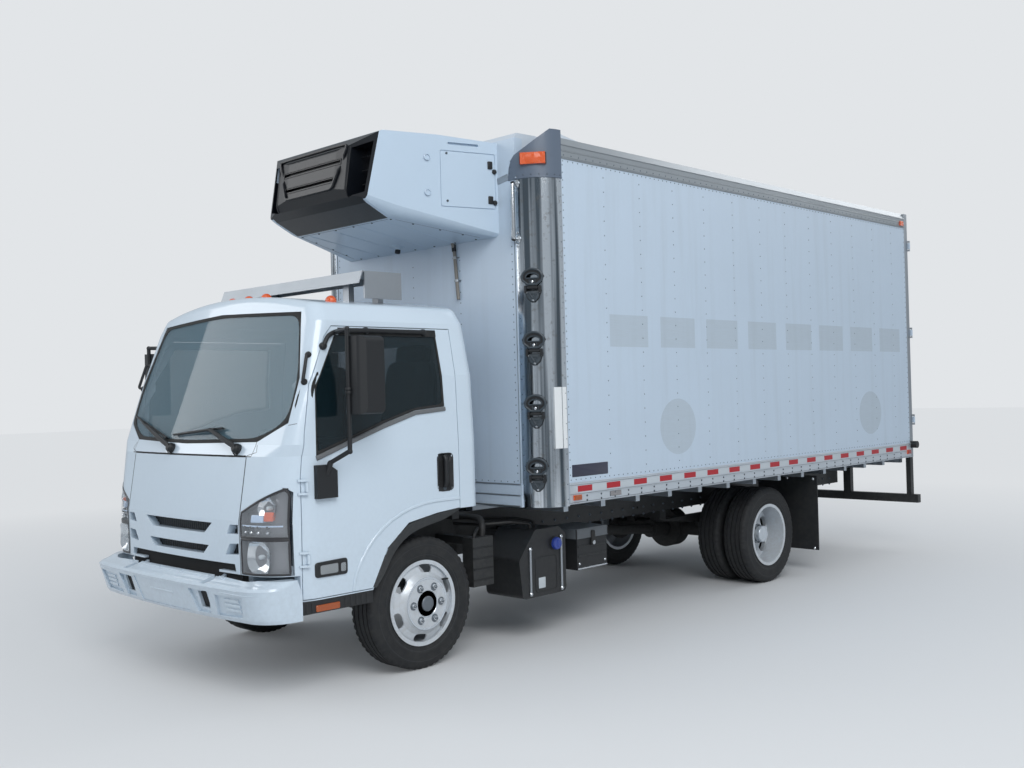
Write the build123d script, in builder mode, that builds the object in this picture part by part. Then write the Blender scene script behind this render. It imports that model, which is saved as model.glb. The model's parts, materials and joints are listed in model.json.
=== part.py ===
from build123d import *
import math
import os

# Refrigerated truck: forward-control cab that tilts, ladder chassis, insulated box with rear doors.
# Millimetres. +Z is up, the truck faces -Y and its left side is +X.
# Lengths along the truck are given as distances behind the front axle, and station() turns them into Y.

os.makedirs("parts", exist_ok=True)

# Overall reach and running gear
FRONT_REACH = 1262.0
REAR_REACH = 6345.0
WHEELBASE = 3810.0
TYRE_R = 405.5
TYRE_W = 225.0
TYRE_BEAD_R = 252.0
REAR_SPRING_HALF = 660.0
REAR_HANGER_BACK = 630.0
FLAP_CLEAR = 246.5
RIM_FLANGE_R = 262.0
FRONT_WHEEL_X = 833.0
REAR_OUTER_X = 953.0
REAR_INNER_X = 693.0
HUB_Z = TYRE_R
KINGPIN_X = 770.0
STEER_ARM = 130.0
KINGPIN_R = 16.0
AXLE_EYE_R = 30.0
TRACK_PIN_R = 9.0
EYE_HALF_H = 60.0
EAR_GAP = 6.0
EAR_T = 30.0
STUB_R = 24.0
HUB_BORE_R = 40.0
STEP_FACE_ANGLE = 31.0
STEP_TOP_Z = 2499.0
STEP_PITCH = 417.0
STEP_COUNT = 4
STEP_PIN_R = 6.0
STEP_PIN_Y = -130.0
STEP_STAND = 26.0
RUNNING_GAP = 6.0
PIN_CLEARANCE = 0.05
SEAT_GAP = 0.3

# Ladder frame
RAIL_OUTER_X = 425.0
RAIL_DEPTH = 214.0
RAIL_FLANGE = 70.0
RAIL_GAUGE = 8.0
RAIL_TOP_Z = 854.0
RAIL_FRONT_S = -1030.0
RAIL_REAR_S = 6240.0
WEB_BOLT_S = 2900.0
WEB_BOLT_Z = 747.0
WEB_BOLT_PITCH = (200.0, 100.0)
WEB_BOLT_R = 9.0

GEARBOX_END_S = 980.0

# Load box
BOX_HALF_W = 1219.0
BOX_FRONT_S = 841.0
BOX_REAR_S = 6325.0
BOX_WALL = 76.0
BOX_FLOOR_Z = 935.0
BOX_DECK_Z = 1068.0
CORNER_R = 219.0
BOTTOM_RAIL_Z = 922.0
TOP_RAIL_Z = 3235.0
TOP_RAIL_H = 146.0
ROOF_T = 76.0
BEARER_COUNT = 14
ROOF_RISE = 20.0
REAR_POST_S = 6255.0
CAP_Z = 3100.0
CAP_TOP_Z = 3425.0
FRONT_WALL_TOP = 3385.0
REAR_POST_W = 88.0
REAR_SILL_TOP = 1120.0
REAR_DOOR_TOP = 3228.0
REAR_DOOR_T = 62.0
REAR_HINGE_X = 1234.0
REAR_HINGE_S = 6336.0
REAR_HINGE_R = 9.0
REAR_PIN_R = 4.0
REAR_STRAP_H = 60.0
REAR_STRAP_Z = (1300.0, 2180.0, 3060.0)

# Cab
CAB_WALL = 50.0
CAB_LOW_Z = 557.0
CAB_NOSE_Z = 702.0
CAB_REAR_SILL_Z = 966.0
CROWN_EDGE_Z = 2180.0
CROWN_TOP_Z = 2312.0
ROOF_EDGE_R = 70.0
DOOR_GAP = 5.0
GLASS_T = 10.0
PANEL_HALF_W = 660.0
TUNNEL_HALF_W = 450.0
TUNNEL_Z = 875.0
HUMP_HALF_W = 345.0
HUMP_Z = 1100.0
CAB_PIVOT_S = -1125.0
CAB_PIVOT_Z = 590.0
CAB_PIVOT_R = 14.0
PANEL_LOW_Z = 715.0
DOOR_HINGE_X = 1005.0
DOOR_HINGE_S = -880.0
DOOR_HINGE_Z = (790.0, 1190.0)
DOOR_EYE_H = 50.0
DOOR_EYE_R = 9.0
DOOR_PIN_R = 4.0
HINGE_PLATE = 12.0
COLUMN_R = 12.0

# Cooling unit
UNIT_HALF_W = 837.0
UNIT_FRONT_S = -112.0

MIDWAY = (REAR_REACH - FRONT_REACH) / 2


def station(s):
    """Y of a point that lies s behind the front axle."""
    return s - MIDWAY


def keep(piece, name):
    """Label a finished piece and write it."""
    piece.part.label = name
    export_step(piece.part, f"parts/{name}.step")


def block(x, s, z, mode=Mode.ADD):
    """Box between two limits on each axis, x and z in place and s behind the front axle."""
    centre = ((x[0] + x[1]) / 2, station((s[0] + s[1]) / 2), (z[0] + z[1]) / 2)
    with Locations(centre):
        Box(abs(x[1] - x[0]), abs(s[1] - s[0]), abs(z[1] - z[0]), mode=mode)


def pair(x, s, z, mode=Mode.ADD):
    """The same box on both sides of the truck."""
    block(x, s, z, mode)
    block((-x[1], -x[0]), s, z, mode)


def rod(start, end, radius, mode=Mode.ADD):
    """Round bar between two points given as (x, s, z)."""
    a = Vector(start[0], station(start[1]), start[2])
    b = Vector(end[0], station(end[1]), end[2])
    with Locations(Plane(origin=(a + b) / 2, z_dir=b - a)):
        Cylinder(radius, (b - a).length, mode=mode)


def side_outline(points, x0, x1, mode=Mode.ADD, radii=None, grow=0.0):
    """Extrude an outline of (s, z) points across from x0 to x1, with a corner radius for each listed point."""
    with BuildSketch(Plane.YZ.offset(x0)) as sketch:
        with BuildLine():
            Polyline([(station(s), z) for s, z in points], close=True)
        make_face()
        for index, radius in (radii or {}).items():
            corner = Vector(station(points[index][0]), points[index][1], 0)
            fillet(sketch.vertices().sort_by_distance(corner)[0], radius)
        if grow:
            offset(amount=grow, kind=Kind.INTERSECTION)
    extrude(sketch.sketch, amount=x1 - x0, mode=mode)


def front_outline(points, s0, s1, mode=Mode.ADD, radii=None):
    """Extrude an outline of (x, z) points along the truck from s0 to s1."""
    with BuildSketch(Plane.XZ.offset(-station(s0))) as sketch:
        with BuildLine():
            Polyline(points, close=True)
        make_face()
        for index, radius in (radii or {}).items():
            corner = Vector(points[index][0], points[index][1], 0)
            fillet(sketch.vertices().sort_by_distance(corner)[0], radius)
    extrude(sketch.sketch, amount=-(s1 - s0), mode=mode)


def plan_outline(points, z0, z1, mode=Mode.ADD, radii=None):
    """Extrude an outline of (x, s) points upwards from z0 to z1."""
    with BuildSketch(Plane.XY.offset(z0)) as sketch:
        with BuildLine():
            Polyline([(x, station(s)) for x, s in points], close=True)
        make_face()
        for index, radius in (radii or {}).items():
            corner = Vector(points[index][0], station(points[index][1]), 0)
            fillet(sketch.vertices().sort_by_distance(corner)[0], radius)
    extrude(sketch.sketch, amount=z1 - z0, mode=mode)


def mirrored(points):
    """Outline of (x, anything) points flipped to the other side."""
    return [(-x, v) for x, v in points]


# Ladder frame and what hangs on it

def build_frame():
    """Two channel rails with cross-members, outriggers for the box and the cab's front hinges."""
    bottom = RAIL_TOP_Z - RAIL_DEPTH
    with BuildPart() as ladder_frame:
        for side in (1, -1):
            outer = side * RAIL_OUTER_X
            web = outer - side * RAIL_GAUGE
            inner = outer - side * RAIL_FLANGE
            channel = [
                (outer, bottom), (outer, RAIL_TOP_Z), (inner, RAIL_TOP_Z), (inner, RAIL_TOP_Z - RAIL_GAUGE),
                (web, RAIL_TOP_Z - RAIL_GAUGE), (web, bottom + RAIL_GAUGE), (inner, bottom + RAIL_GAUGE),
                (inner, bottom),
            ]
            front_outline(channel, RAIL_FRONT_S, RAIL_REAR_S)
        reach = RAIL_OUTER_X - RAIL_GAUGE
        middle = WHEELBASE - REAR_SPRING_HALF + 120
        for s in (-985.0, 1180.0, 1700.0, 2500.0, middle, WHEELBASE + 540, 5200.0, RAIL_REAR_S - 60):
            block((-reach, reach), (s, s + 60), (bottom + RAIL_GAUGE + 12, bottom + RAIL_GAUGE + 112))
        # Hinge brackets that the cab tilts on, with their pins
        bracket = [
            (-1150, 565), (-1150, 615), (-1060, 660), (RAIL_FRONT_S, 720), (RAIL_FRONT_S, bottom), (-1060, 600),
            (-1110, 565),
        ]
        for side in (1, -1):
            side_outline(bracket, *sorted((side * 397, side * 440)))
            rod((side * 397, CAB_PIVOT_S, CAB_PIVOT_Z), (side * 482, CAB_PIVOT_S, CAB_PIVOT_Z), CAB_PIVOT_R)
        # Hangers of the front and rear springs
        rear_front, rear_back = WHEELBASE - REAR_SPRING_HALF, WHEELBASE + REAR_HANGER_BACK
        for s, low in ((-640.0, 465.0), (600.0, 465.0), (rear_front, 560.0), (rear_back, 560.0)):
            pair((RAIL_OUTER_X - RAIL_FLANGE, RAIL_OUTER_X), (s - 40, s + 40), (low, bottom))
        # Free bolt holes in the webs for brackets
        for side in (1, -1):
            for ds in (-WEB_BOLT_PITCH[0] / 2, WEB_BOLT_PITCH[0] / 2):
                for dz in (-WEB_BOLT_PITCH[1] / 2, WEB_BOLT_PITCH[1] / 2):
                    start = (side * (RAIL_OUTER_X - 2 * RAIL_GAUGE), WEB_BOLT_S + ds, WEB_BOLT_Z + dz)
                    end = (side * (RAIL_OUTER_X + RAIL_GAUGE), WEB_BOLT_S + ds, WEB_BOLT_Z + dz)
                    rod(start, end, WEB_BOLT_R, mode=Mode.SUBTRACT)
        # Beam behind the cab with the pads that the cab's back rests on, and the air-cleaner box
        block((-700, 700), (470, 530), (RAIL_TOP_Z, 930))
        pair((560, 700), (385, 480), (880, CAB_REAR_SILL_Z - SEAT_GAP))
        block((760, 860), (500, 685), (416, 736))
        block((RAIL_OUTER_X - 1, 780), (560, 620), (680, 730))
    return ladder_frame


def build_front_axle():
    """Dropped beam with king-pin eyes, and the leaf springs that carry it."""
    with BuildPart() as front_axle:
        beam = [
            (-KINGPIN_X, 375), (-600, 335), (-430, 300), (430, 300), (600, 335), (KINGPIN_X, 375),
            (KINGPIN_X, 435), (600, 400), (430, 365), (-430, 365), (-600, 400), (-KINGPIN_X, 435),
        ]
        front_outline(beam, -38, 38)
        for side in (1, -1):
            with Locations((side * KINGPIN_X, station(0), HUB_Z)):
                Cylinder(AXLE_EYE_R, 2 * (EYE_HALF_H))
                Cylinder(KINGPIN_R, 2 * (EYE_HALF_H + EAR_GAP + EAR_T + 20))
        for side in (1, -1):
            x = side * 390.0
            for i, half in enumerate((660.0, 520.0, 380.0, 240.0)):
                z = 452 - i * 13
                block((x - 35, x + 35), (-half, half), (z, z + 13))
            block((x - 45, x + 45), (-60, 60), (365, 413))
    return front_axle


def build_rear_axle():
    """Banjo housing with its differential, brake drums and the rear springs."""
    with BuildPart() as rear_axle:
        rod((-560, WHEELBASE, HUB_Z), (560, WHEELBASE, HUB_Z), 62)
        with Locations(Location((0, station(WHEELBASE), HUB_Z), (90, 0, 0))):
            Cylinder(176, 150)
        rod((0, WHEELBASE - 90, HUB_Z), (0, WHEELBASE - 300, HUB_Z + 10), 78)
        for side in (1, -1):
            rod((side * 556, WHEELBASE, HUB_Z), (side * 590, WHEELBASE, HUB_Z), 150)
            rod((side * 590, WHEELBASE, HUB_Z), (side * 985, WHEELBASE, HUB_Z), HUB_BORE_R)
            x = side * 390.0
            for i, half in enumerate((670.0, 540.0, 410.0, 280.0, 150.0)):
                z = 545 - i * 15
                block((x - 38, x + 38), (WHEELBASE - half, WHEELBASE + half), (z, z + 15))
            block((x - 45, x + 45), (WHEELBASE - 70, WHEELBASE + 70), (440, 490))
        # Propeller shaft from the gearbox
        rod((0, GEARBOX_END_S, 620), (0, GEARBOX_END_S + 80, 620), 60)
        rod((0, GEARBOX_END_S + 60, 620), (0, WHEELBASE - 250, HUB_Z + 10), 45)
    return rear_axle


def build_engine():
    """Engine and gearbox as one plain block between the rails."""
    with BuildPart() as engine_block:
        block((-285, 285), (-560, 330), (470, 1050))
        block((-180, 180), (330, GEARBOX_END_S), (500, 800))
        block((-40, 40), (-120, 120), (420, 470))
        # Mounting arms that rest on the rails
        block((-(RAIL_OUTER_X - RAIL_GAUGE), RAIL_OUTER_X - RAIL_GAUGE), (-300, -220), (650, 720))
        block((-(RAIL_OUTER_X - RAIL_GAUGE), RAIL_OUTER_X - RAIL_GAUGE), (700, 755), (660, 740))
        # Radiator with its fan shroud, on a cross-strap between the rails
        block((-340, 340), (-900, -820), (560, 850))
        with Locations(Location((0, station(-730), 700), (90, 0, 0))):
            Cylinder(140, 360)
        block((-RAIL_OUTER_X + RAIL_GAUGE, RAIL_OUTER_X - RAIL_GAUGE), (-880, -840), (660, 700))
    return engine_block


# height, front, bow, corner radius
BUMPER_ROWS = [
    (458.0, -1196.0, 60.0, 190.0),
    (480.0, -1211.0, 60.0, 190.0),
    (628.0, -1256.0, 60.0, 190.0),
    (643.0, -FRONT_REACH, 60.0, 190.0),
    (656.0, -1238.0, 60.0, 180.0),
    (664.0, -1205.0, 60.0, 170.0),
    (686.0, -1142.0, 60.0, 150.0),
]
BUMPER_HOLLOW = [(457.0, -1196.0, 60.0, 190.0), (600.0, -1246.0, 60.0, 190.0), (646.0, -1180.0, 60.0, 170.0)]
# outline seen from the front, and how deep it is sunk
FACE_RECESSES = [
    ([(330.0, 616.0), (545.0, 616.0), (500.0, 484.0), (372.0, 484.0)], 16.0),
    ([(590.0, 604.0), (842.0, 610.0), (796.0, 490.0), (566.0, 484.0)], 14.0),
    ([(0.0, 624.0), (322.0, 624.0), (285.0, 476.0), (0.0, 476.0)], 5.0),
]
BUMPER_HALF_W = 1000.0
BUMPER_WALL = 40.0
BUMPER_END_S = -924.0
SHELF_REAR_S = -1131.0


def build_bumper():
    """Front bumper: a bowed shell with wrapped ends, recesses and a top shelf, clear of the tilting cab."""
    with BuildPart() as bumper:
        loft([bumper_section(*row, 0.0, BUMPER_END_S) for row in BUMPER_ROWS], ruled=True)
        loft([bumper_section(*row, BUMPER_WALL, -800.0) for row in BUMPER_HOLLOW], ruled=True, mode=Mode.SUBTRACT)
        shelf = [(-930, SHELF_REAR_S), (930, SHELF_REAR_S), (930, -800), (-930, -800)]
        plan_outline(shelf, 590, 720, mode=Mode.SUBTRACT, radii={0: 200, 1: 200})
        # The ends lean forward above the cab's pivot, inside the sweep of the sill
        lean = [(BUMPER_END_S, CAB_PIVOT_Z + 10), (BUMPER_END_S, 720), (-966, 720)]
        side_outline(lean, -1100, 1100, mode=Mode.SUBTRACT)
        # Slots in the shelf for the cab's hinge arms
        pair((434, 488), (-1230, -1100), (590, 720), mode=Mode.SUBTRACT)
        # Bevelled tow-hook openings, lamp blanks and the plate's recess in the face
        for outline, depth in FACE_RECESSES:
            for shape in (outline, mirrored(outline)):
                with BuildPart(mode=Mode.SUBTRACT):
                    front_outline(shape, -1400, -900)
                    loft([bumper_section(*row, depth, -800.0) for row in BUMPER_ROWS], ruled=True, mode=Mode.SUBTRACT)
        pair((404, 492), (-1400, -1130), (512, 606), mode=Mode.SUBTRACT)
        # Arms back to the ends of the rails
        low = RAIL_TOP_Z - RAIL_DEPTH
        arm = [
            (-1215, 570), (-1215, 640), (-1090, 652), (-1055, 690), (RAIL_FRONT_S, 705), (RAIL_FRONT_S, low),
            (-1100, 600),
        ]
        for side in (1, -1):
            side_outline(arm, *sorted((side * 357, side * 392)))
    return bumper


def bumper_section(z, front, bow, radius, inset, rear):
    """Horizontal slice of the bumper, closed across its open back."""
    half = BUMPER_HALF_W - inset
    nose = front + inset
    with BuildSketch(Plane.XY.offset(z)) as section:
        with BuildLine():
            Line((-half, station(rear)), (-half, station(nose + bow)))
            ThreePointArc((-half, station(nose + bow)), (0, station(nose)), (half, station(nose + bow)))
            Line((half, station(nose + bow)), (half, station(rear)))
            Line((half, station(rear)), (-half, station(rear)))
        make_face()
        fillet(section.vertices().group_by(Axis.Y)[0], radius - inset)
    return section.sketch


# Cab

# height, half width, front, bow, corner radius, back
CAB_ROWS = [
    (557.0, 1000.0, -1118.0, 57.0, 290.0, 450.0),
    (1000.0, 1000.0, -1128.0, 57.0, 290.0, 450.0),
    (1361.0, 1000.0, -1075.0, 70.0, 230.0, 450.0),
    (1425.0, 998.0, -1050.0, 86.0, 110.0, 450.0),
    (1800.0, 984.0, -923.0, 84.0, 90.0, 445.0),
    (2125.0, 926.0, -813.0, 74.0, 90.0, 430.0),
    (2330.0, 800.0, -743.0, 55.0, 90.0, 405.0),
]


def cab_section(z, half_w, front, bow, radius, back, inset):
    """Horizontal slice of the cab: bowed front, rounded corners, straight sides and back."""
    half = half_w - inset
    nose = front + inset
    rear = back - inset
    with BuildSketch(Plane.XY.offset(z)) as section:
        with BuildLine():
            Line((-half, station(rear)), (-half, station(nose + bow)))
            ThreePointArc((-half, station(nose + bow)), (0, station(nose)), (half, station(nose + bow)))
            Line((half, station(nose + bow)), (half, station(rear)))
            Line((half, station(rear)), (-half, station(rear)))
        make_face()
        fillet(section.vertices().group_by(Axis.Y)[0], max(radius - inset, 25.0))
        fillet(section.vertices().group_by(Axis.Y)[-1], max(80.0 - inset, 25.0))
    return section.sketch


def cab_form(inset):
    """Solid inside the cab's skin, set in by an even amount, with the crowned roof."""
    with BuildPart() as form:
        loft([cab_section(*row, inset) for row in CAB_ROWS], ruled=True)
        with BuildSketch(Plane.XZ.offset(-station(900))) as crown:
            with BuildLine():
                Line((-1100, 400), (-1100, CROWN_EDGE_Z - inset))
                ThreePointArc((-1100, CROWN_EDGE_Z - inset), (0, CROWN_TOP_Z - inset), (1100, CROWN_EDGE_Z - inset))
                Line((1100, CROWN_EDGE_Z - inset), (1100, 400))
                Line((1100, 400), (-1100, 400))
            make_face()
        extrude(crown.sketch, amount=2600, mode=Mode.INTERSECT)
        top = form.faces().sort_by(Axis.Z)[-1]
        fillet(top.edges(), max(ROOF_EDGE_R - inset, 20.0))
    return form.part


# Lower edge of the cab seen from the side, front to back: (s, z)
CAB_UNDERSIDE = [
    (-1300.0, CAB_NOSE_Z), (-918.0, CAB_NOSE_Z), (-918.0, CAB_LOW_Z), (-435.0, CAB_LOW_Z), (-317.0, 782.0),
    (-151.0, 913.0), (75.0, 950.0), (270.0, CAB_REAR_SILL_Z), (600.0, CAB_REAR_SILL_Z),
]

DOOR_OUTLINE = [
    (-911.0, 563.0), (-908.0, 1245.0), (-885.0, 1480.0), (-830.0, 1760.0), (-700.0, 2030.0), (-640.0, 2094.0),
    (270.0, 2094.0), (270.0, CAB_REAR_SILL_Z), (75.0, 950.0), (-151.0, 913.0), (-317.0, 782.0), (-435.0, 563.0),
]

DOOR_GLASS = [
    (-812.0, 1357.0), (-326.0, 1517.0), (-76.0, 1588.0), (165.0, 1606.0), (150.0, 2040.0), (-625.0, 2040.0),
    (-800.0, 1745.0),
]

WINDSCREEN = [
    (-705.0, 1440.0), (0.0, 1425.0), (705.0, 1440.0), (920.0, 1545.0), (918.0, 1796.0), (790.0, 2180.0),
    (0.0, 2212.0), (-790.0, 2180.0), (-918.0, 1796.0), (-920.0, 1545.0),
]

HEADLAMP = [(668.0, 706.0), (668.0, 1056.0), (935.0, 1190.0), (962.0, 1165.0), (962.0, 706.0)]

FRONT_PANEL = [
    (-PANEL_HALF_W, PANEL_LOW_Z), (PANEL_HALF_W, PANEL_LOW_Z), (PANEL_HALF_W, 1361.0), (-PANEL_HALF_W, 1361.0),
]


# Short slots beside the headlamps, seen from the front
OUTER_SLOTS = [
    [(572.0, 979.0), (648.0, 981.0), (648.0, 930.0), (541.0, 925.0)],
    [(564.0, 870.0), (648.0, 876.0), (648.0, 815.0), (521.0, 806.0)],
]


def underside(amount, x0, x1, mode):
    """Cut away everything under the cab's lower edge, raised by an amount."""
    low = [(s, z + amount) for s, z in CAB_UNDERSIDE]
    side_outline(low + [(600.0, 300.0), (-1300.0, 300.0)], x0, x1, mode=mode)


def build_cab_shell(outer, inner, inserts):
    """Roof, pillars, back, floor with its engine hump, and the front corners; the doorways are open."""
    with BuildPart() as cavity:
        add(inner)
        underside(CAB_WALL, -1100, 1100, Mode.SUBTRACT)
        block((-TUNNEL_HALF_W - 40, TUNNEL_HALF_W + 40), (-1300, 600), (300, TUNNEL_Z + 40), mode=Mode.SUBTRACT)
        block((-HUMP_HALF_W - 30, HUMP_HALF_W + 30), (-690, 600), (300, HUMP_Z + 30), mode=Mode.SUBTRACT)
    with BuildPart() as cab_shell:
        add(outer)
        underside(0.0, -1100, 1100, Mode.SUBTRACT)
        add(cavity.part, mode=Mode.SUBTRACT)
        block((-TUNNEL_HALF_W, TUNNEL_HALF_W), (-1200, 600), (300, TUNNEL_Z), mode=Mode.SUBTRACT)
        block((-HUMP_HALF_W, HUMP_HALF_W), (-660, 600), (300, HUMP_Z), mode=Mode.SUBTRACT)
        front_outline(WINDSCREEN, -1300, -500, mode=Mode.SUBTRACT)
        for insert in inserts:
            add(insert.part, mode=Mode.SUBTRACT)
        side_outline(DOOR_OUTLINE, 840, 1100, mode=Mode.SUBTRACT)
        side_outline(DOOR_OUTLINE, -1100, -840, mode=Mode.SUBTRACT)
        # Arms that turn on the front hinge pins
        pair((430, 622), (-1080, -1022), (700, 768), mode=Mode.SUBTRACT)
        arm = [
            (-970, CAB_NOSE_Z), (-1050, CAB_NOSE_Z), (-1105, 670), (-1149, 600), (-1140, 568), (-1110, 566),
            (-1020, 640), (-970, 670),
        ]
        for side in (1, -1):
            x0, x1 = sorted((side * 446, side * 476))
            side_outline(arm, x0, x1)
            rod(
                (x0 - 1, CAB_PIVOT_S, CAB_PIVOT_Z), (x1 + 1, CAB_PIVOT_S, CAB_PIVOT_Z),
                CAB_PIVOT_R + PIN_CLEARANCE, mode=Mode.SUBTRACT,
            )
        # Lugs and pins that the doors hang on
        lug = [
            (935, -924.6), (985, -924.6), (1011, -890), (1011, -874), (999, -874), (997, -888), (984, -914.5),
            (935, -914.5),
        ]
        reach = DOOR_EYE_H / 2 + RUNNING_GAP
        for z in DOOR_HINGE_Z:
            for side, outline in ((1, lug), (-1, mirrored(lug))):
                for low in (z - reach - HINGE_PLATE, z + reach):
                    plan_outline(outline, low, low + HINGE_PLATE)
                with Locations((side * DOOR_HINGE_X, station(DOOR_HINGE_S), z)):
                    Cylinder(DOOR_PIN_R, 2 * (reach + HINGE_PLATE))
        # Rear window
        front_outline([(-560, 1560), (560, 1560), (560, 2010), (-560, 2010)], 330, 600, mode=Mode.SUBTRACT)
    return cab_shell


def skin_piece(outer, inner, outline, s0, s1, mirror_too=False):
    """The stretch of the cab's wall that lies inside an outline seen from the front."""
    with BuildPart() as piece:
        front_outline(outline, s0, s1)
        if mirror_too:
            front_outline(mirrored(outline), s0, s1)
        add(outer, mode=Mode.INTERSECT)
        add(inner, mode=Mode.SUBTRACT)
    return piece


def build_front_panel(blank):
    """White panel under the windscreen with its two grille slots and the lower air gap."""
    with BuildPart() as front_panel:
        add(blank.part)
        # slot half widths at the top and bottom, and their heights
        for top_half, low_half, top_z, low_z in (
            (394.0, 312.0, 979.0, 917.0), (353.0, 294.0, 847.0, 796.0), (606.0, 620.0, 757.0, 700.0),
        ):
            slot = [(-low_half, low_z), (low_half, low_z), (top_half, top_z), (-top_half, top_z)]
            front_outline(slot, -1300, -900, mode=Mode.SUBTRACT)
        for slot in OUTER_SLOTS:
            for shape in (slot, mirrored(slot)):
                front_outline(shape, -1300, -900, mode=Mode.SUBTRACT)
    return front_panel


def build_grille(inner_face, deep_face):
    """Dark mesh frame with bars, set behind the slots of the front panel."""
    with BuildPart() as grille:
        front_outline([(-650, PANEL_LOW_Z + 1), (650, PANEL_LOW_Z + 1), (650, 986), (-650, 986)], -1300, -900)
        add(inner_face, mode=Mode.INTERSECT)
        add(deep_face, mode=Mode.SUBTRACT)
    return grille


def build_door(outer, inner, side):
    """Door skin with its wheel-arch cut and window opening."""
    x0, x1 = (600.0, 1100.0) if side > 0 else (-1100.0, -600.0)
    with BuildPart() as door:
        side_outline(DOOR_OUTLINE, x0, x1, grow=-DOOR_GAP)
        add(outer, mode=Mode.INTERSECT)
        add(inner, mode=Mode.SUBTRACT)
        side_outline(DOOR_GLASS, x0, x1, mode=Mode.SUBTRACT)
        block((side * 985.0, side * 1010.0), (92, 204), (1083, 1315), mode=Mode.SUBTRACT)
        for z in DOOR_HINGE_Z:
            band = (z - DOOR_EYE_H / 2, z + DOOR_EYE_H / 2)
            block((side * 970, side * DOOR_HINGE_X), (DOOR_HINGE_S - 8, DOOR_HINGE_S + 8), band)
            with Locations((side * DOOR_HINGE_X, station(DOOR_HINGE_S), z)):
                Cylinder(DOOR_EYE_R, DOOR_EYE_H)
                Cylinder(DOOR_PIN_R + PIN_CLEARANCE, DOOR_EYE_H, mode=Mode.SUBTRACT)
    return door


def build_door_glass(face, back, side):
    """Window pane seated in the door's opening."""
    x0, x1 = (600.0, 1100.0) if side > 0 else (-1100.0, -600.0)
    with BuildPart() as pane:
        side_outline(DOOR_GLASS, x0, x1)
        add(face, mode=Mode.INTERSECT)
        add(back, mode=Mode.SUBTRACT)
    return pane


def build_mirror(outer, side):
    """Mirror head on a tubular arm between the door frame and the lower door bracket."""
    tube = 13.0
    with BuildPart() as mirror_left:
        rod((900, -610, 2050), (1150, -690, 2060), tube)
        rod((1150, -690, 2067), (1150, -690, 1375), tube)
        rod((1150, -690, 1381), (1040, -745, 1316), tube)
        rod((1040, -745, 1316), (1020, -757, 1250), tube + 4)
        for x, s, z in ((1150, -690, 2060), (1150, -690, 1378), (1040, -745, 1316)):
            with Locations((x, station(s), z)):
                Sphere(tube + 2)
        # Housing behind the tube and the lower cover on the door
        with BuildPart():
            front_outline([(1098, 1583), (1262, 1583), (1262, 2020), (1098, 2020)], -720, -480, radii={
                0: 34, 1: 34, 2: 34, 3: 34,
            })
            plan = [(1098, -645), (1128, -684), (1232, -684), (1262, -645), (1262, -520), (1098, -560)]
            plan_outline(plan, 1500, 2100, mode=Mode.INTERSECT, radii={1: 26, 2: 26})
        side_outline([(-829, 1119), (-691, 1119), (-691, 1270), (-745, 1306), (-829, 1306)], 990, 1032)
        add(outer, mode=Mode.SUBTRACT)
    if side > 0:
        return mirror_left
    with BuildPart() as mirror_right:
        add(mirror_left.part.mirror(Plane.YZ))
    return mirror_right


def build_dashboard(inner):
    """Instrument panel across the cab, with the steering column."""
    with BuildPart() as dashboard:
        shape = [(-1200, 1180), (-1200, 1385), (-905, 1395), (-760, 1330), (-720, 1180)]
        side_outline(shape, -880, 880)
        add(inner, mode=Mode.INTERSECT)
        rod((450, -830, 1136), (450, -640, 1322), 34)
        rod((450, -640, 1322), (450, -610, 1351.4), COLUMN_R)
    return dashboard


def build_steering_wheel():
    """Rim, hub and spokes, square to the tilted column."""
    column = Vector(0, 190, 186).normalized()
    centre = Vector(450, station(-640), 1322) + column * 24
    with BuildPart() as steering_wheel:
        with Locations(Plane(origin=centre, z_dir=column)):
            Torus(205, 14)
            Cylinder(52, 36)
            for turn in (0, 120, 240):
                with Locations(Location((0, 0, 0), (0, 0, turn))):
                    with Locations((120, 0, 0)):
                        Box(170, 30, 14)
            Cylinder(COLUMN_R + PIN_CLEARANCE, 36, mode=Mode.SUBTRACT)
    return steering_wheel


def build_seats():
    """Driver's seat and the wide passenger seat, with their bases on the floor."""
    with BuildPart() as seats:
        for x0, x1 in ((300.0, 760.0), (-760.0, -200.0)):
            side_outline(
                [(-340, 1290), (-330, 1400), (140, 1380), (250, 2000), (360, 2000), (300, 1290)], x0, x1,
                radii={1: 40, 3: 40, 4: 40},
            )
        pair((HUMP_HALF_W + 35, 740), (-240, 260), (TUNNEL_Z + 40, 1300))
        underside(CAB_WALL, -1100, 1100, Mode.SUBTRACT)
    return seats


def build_walkway(outer):
    """Tread-plate deck over the cab roof with its sloping front flange and feet."""
    with BuildPart() as roof_walkway:
        deck = [(-295, 2445), (11, 2445), (11, 2400), (5, 2400), (5, 2438), (-290, 2438), (-318, 2368), (-325, 2368)]
        side_outline(deck, -790, 790)
        pair((778, 790), (-278, 11), (2278, 2440))
        for side in (1, -1):
            for s in (-250.0, -20.0):
                block((side * 560, side * 620), (s - 20, s + 20), (2230, 2439))
        add(outer, mode=Mode.SUBTRACT)
    return roof_walkway


def build_roof_lamps(outer):
    """Five amber marker domes on their bases along the roof's front edge."""
    dome = 34.0
    with BuildPart() as roof_lamps:
        for x, s, top in ((0, -589, 2340), (195, -587, 2340), (-195, -587, 2340), (755, -506, 2286), (-755, -506, 2286)):
            block((x - 60, x + 60), (s - 40, s + 40), (top - 100, top - 46))
            rod((x, s, top - 80), (x, s, top - dome), dome)
            with Locations((x, station(s), top - dome)):
                Sphere(dome)
        add(outer, mode=Mode.SUBTRACT)
    return roof_lamps


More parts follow.
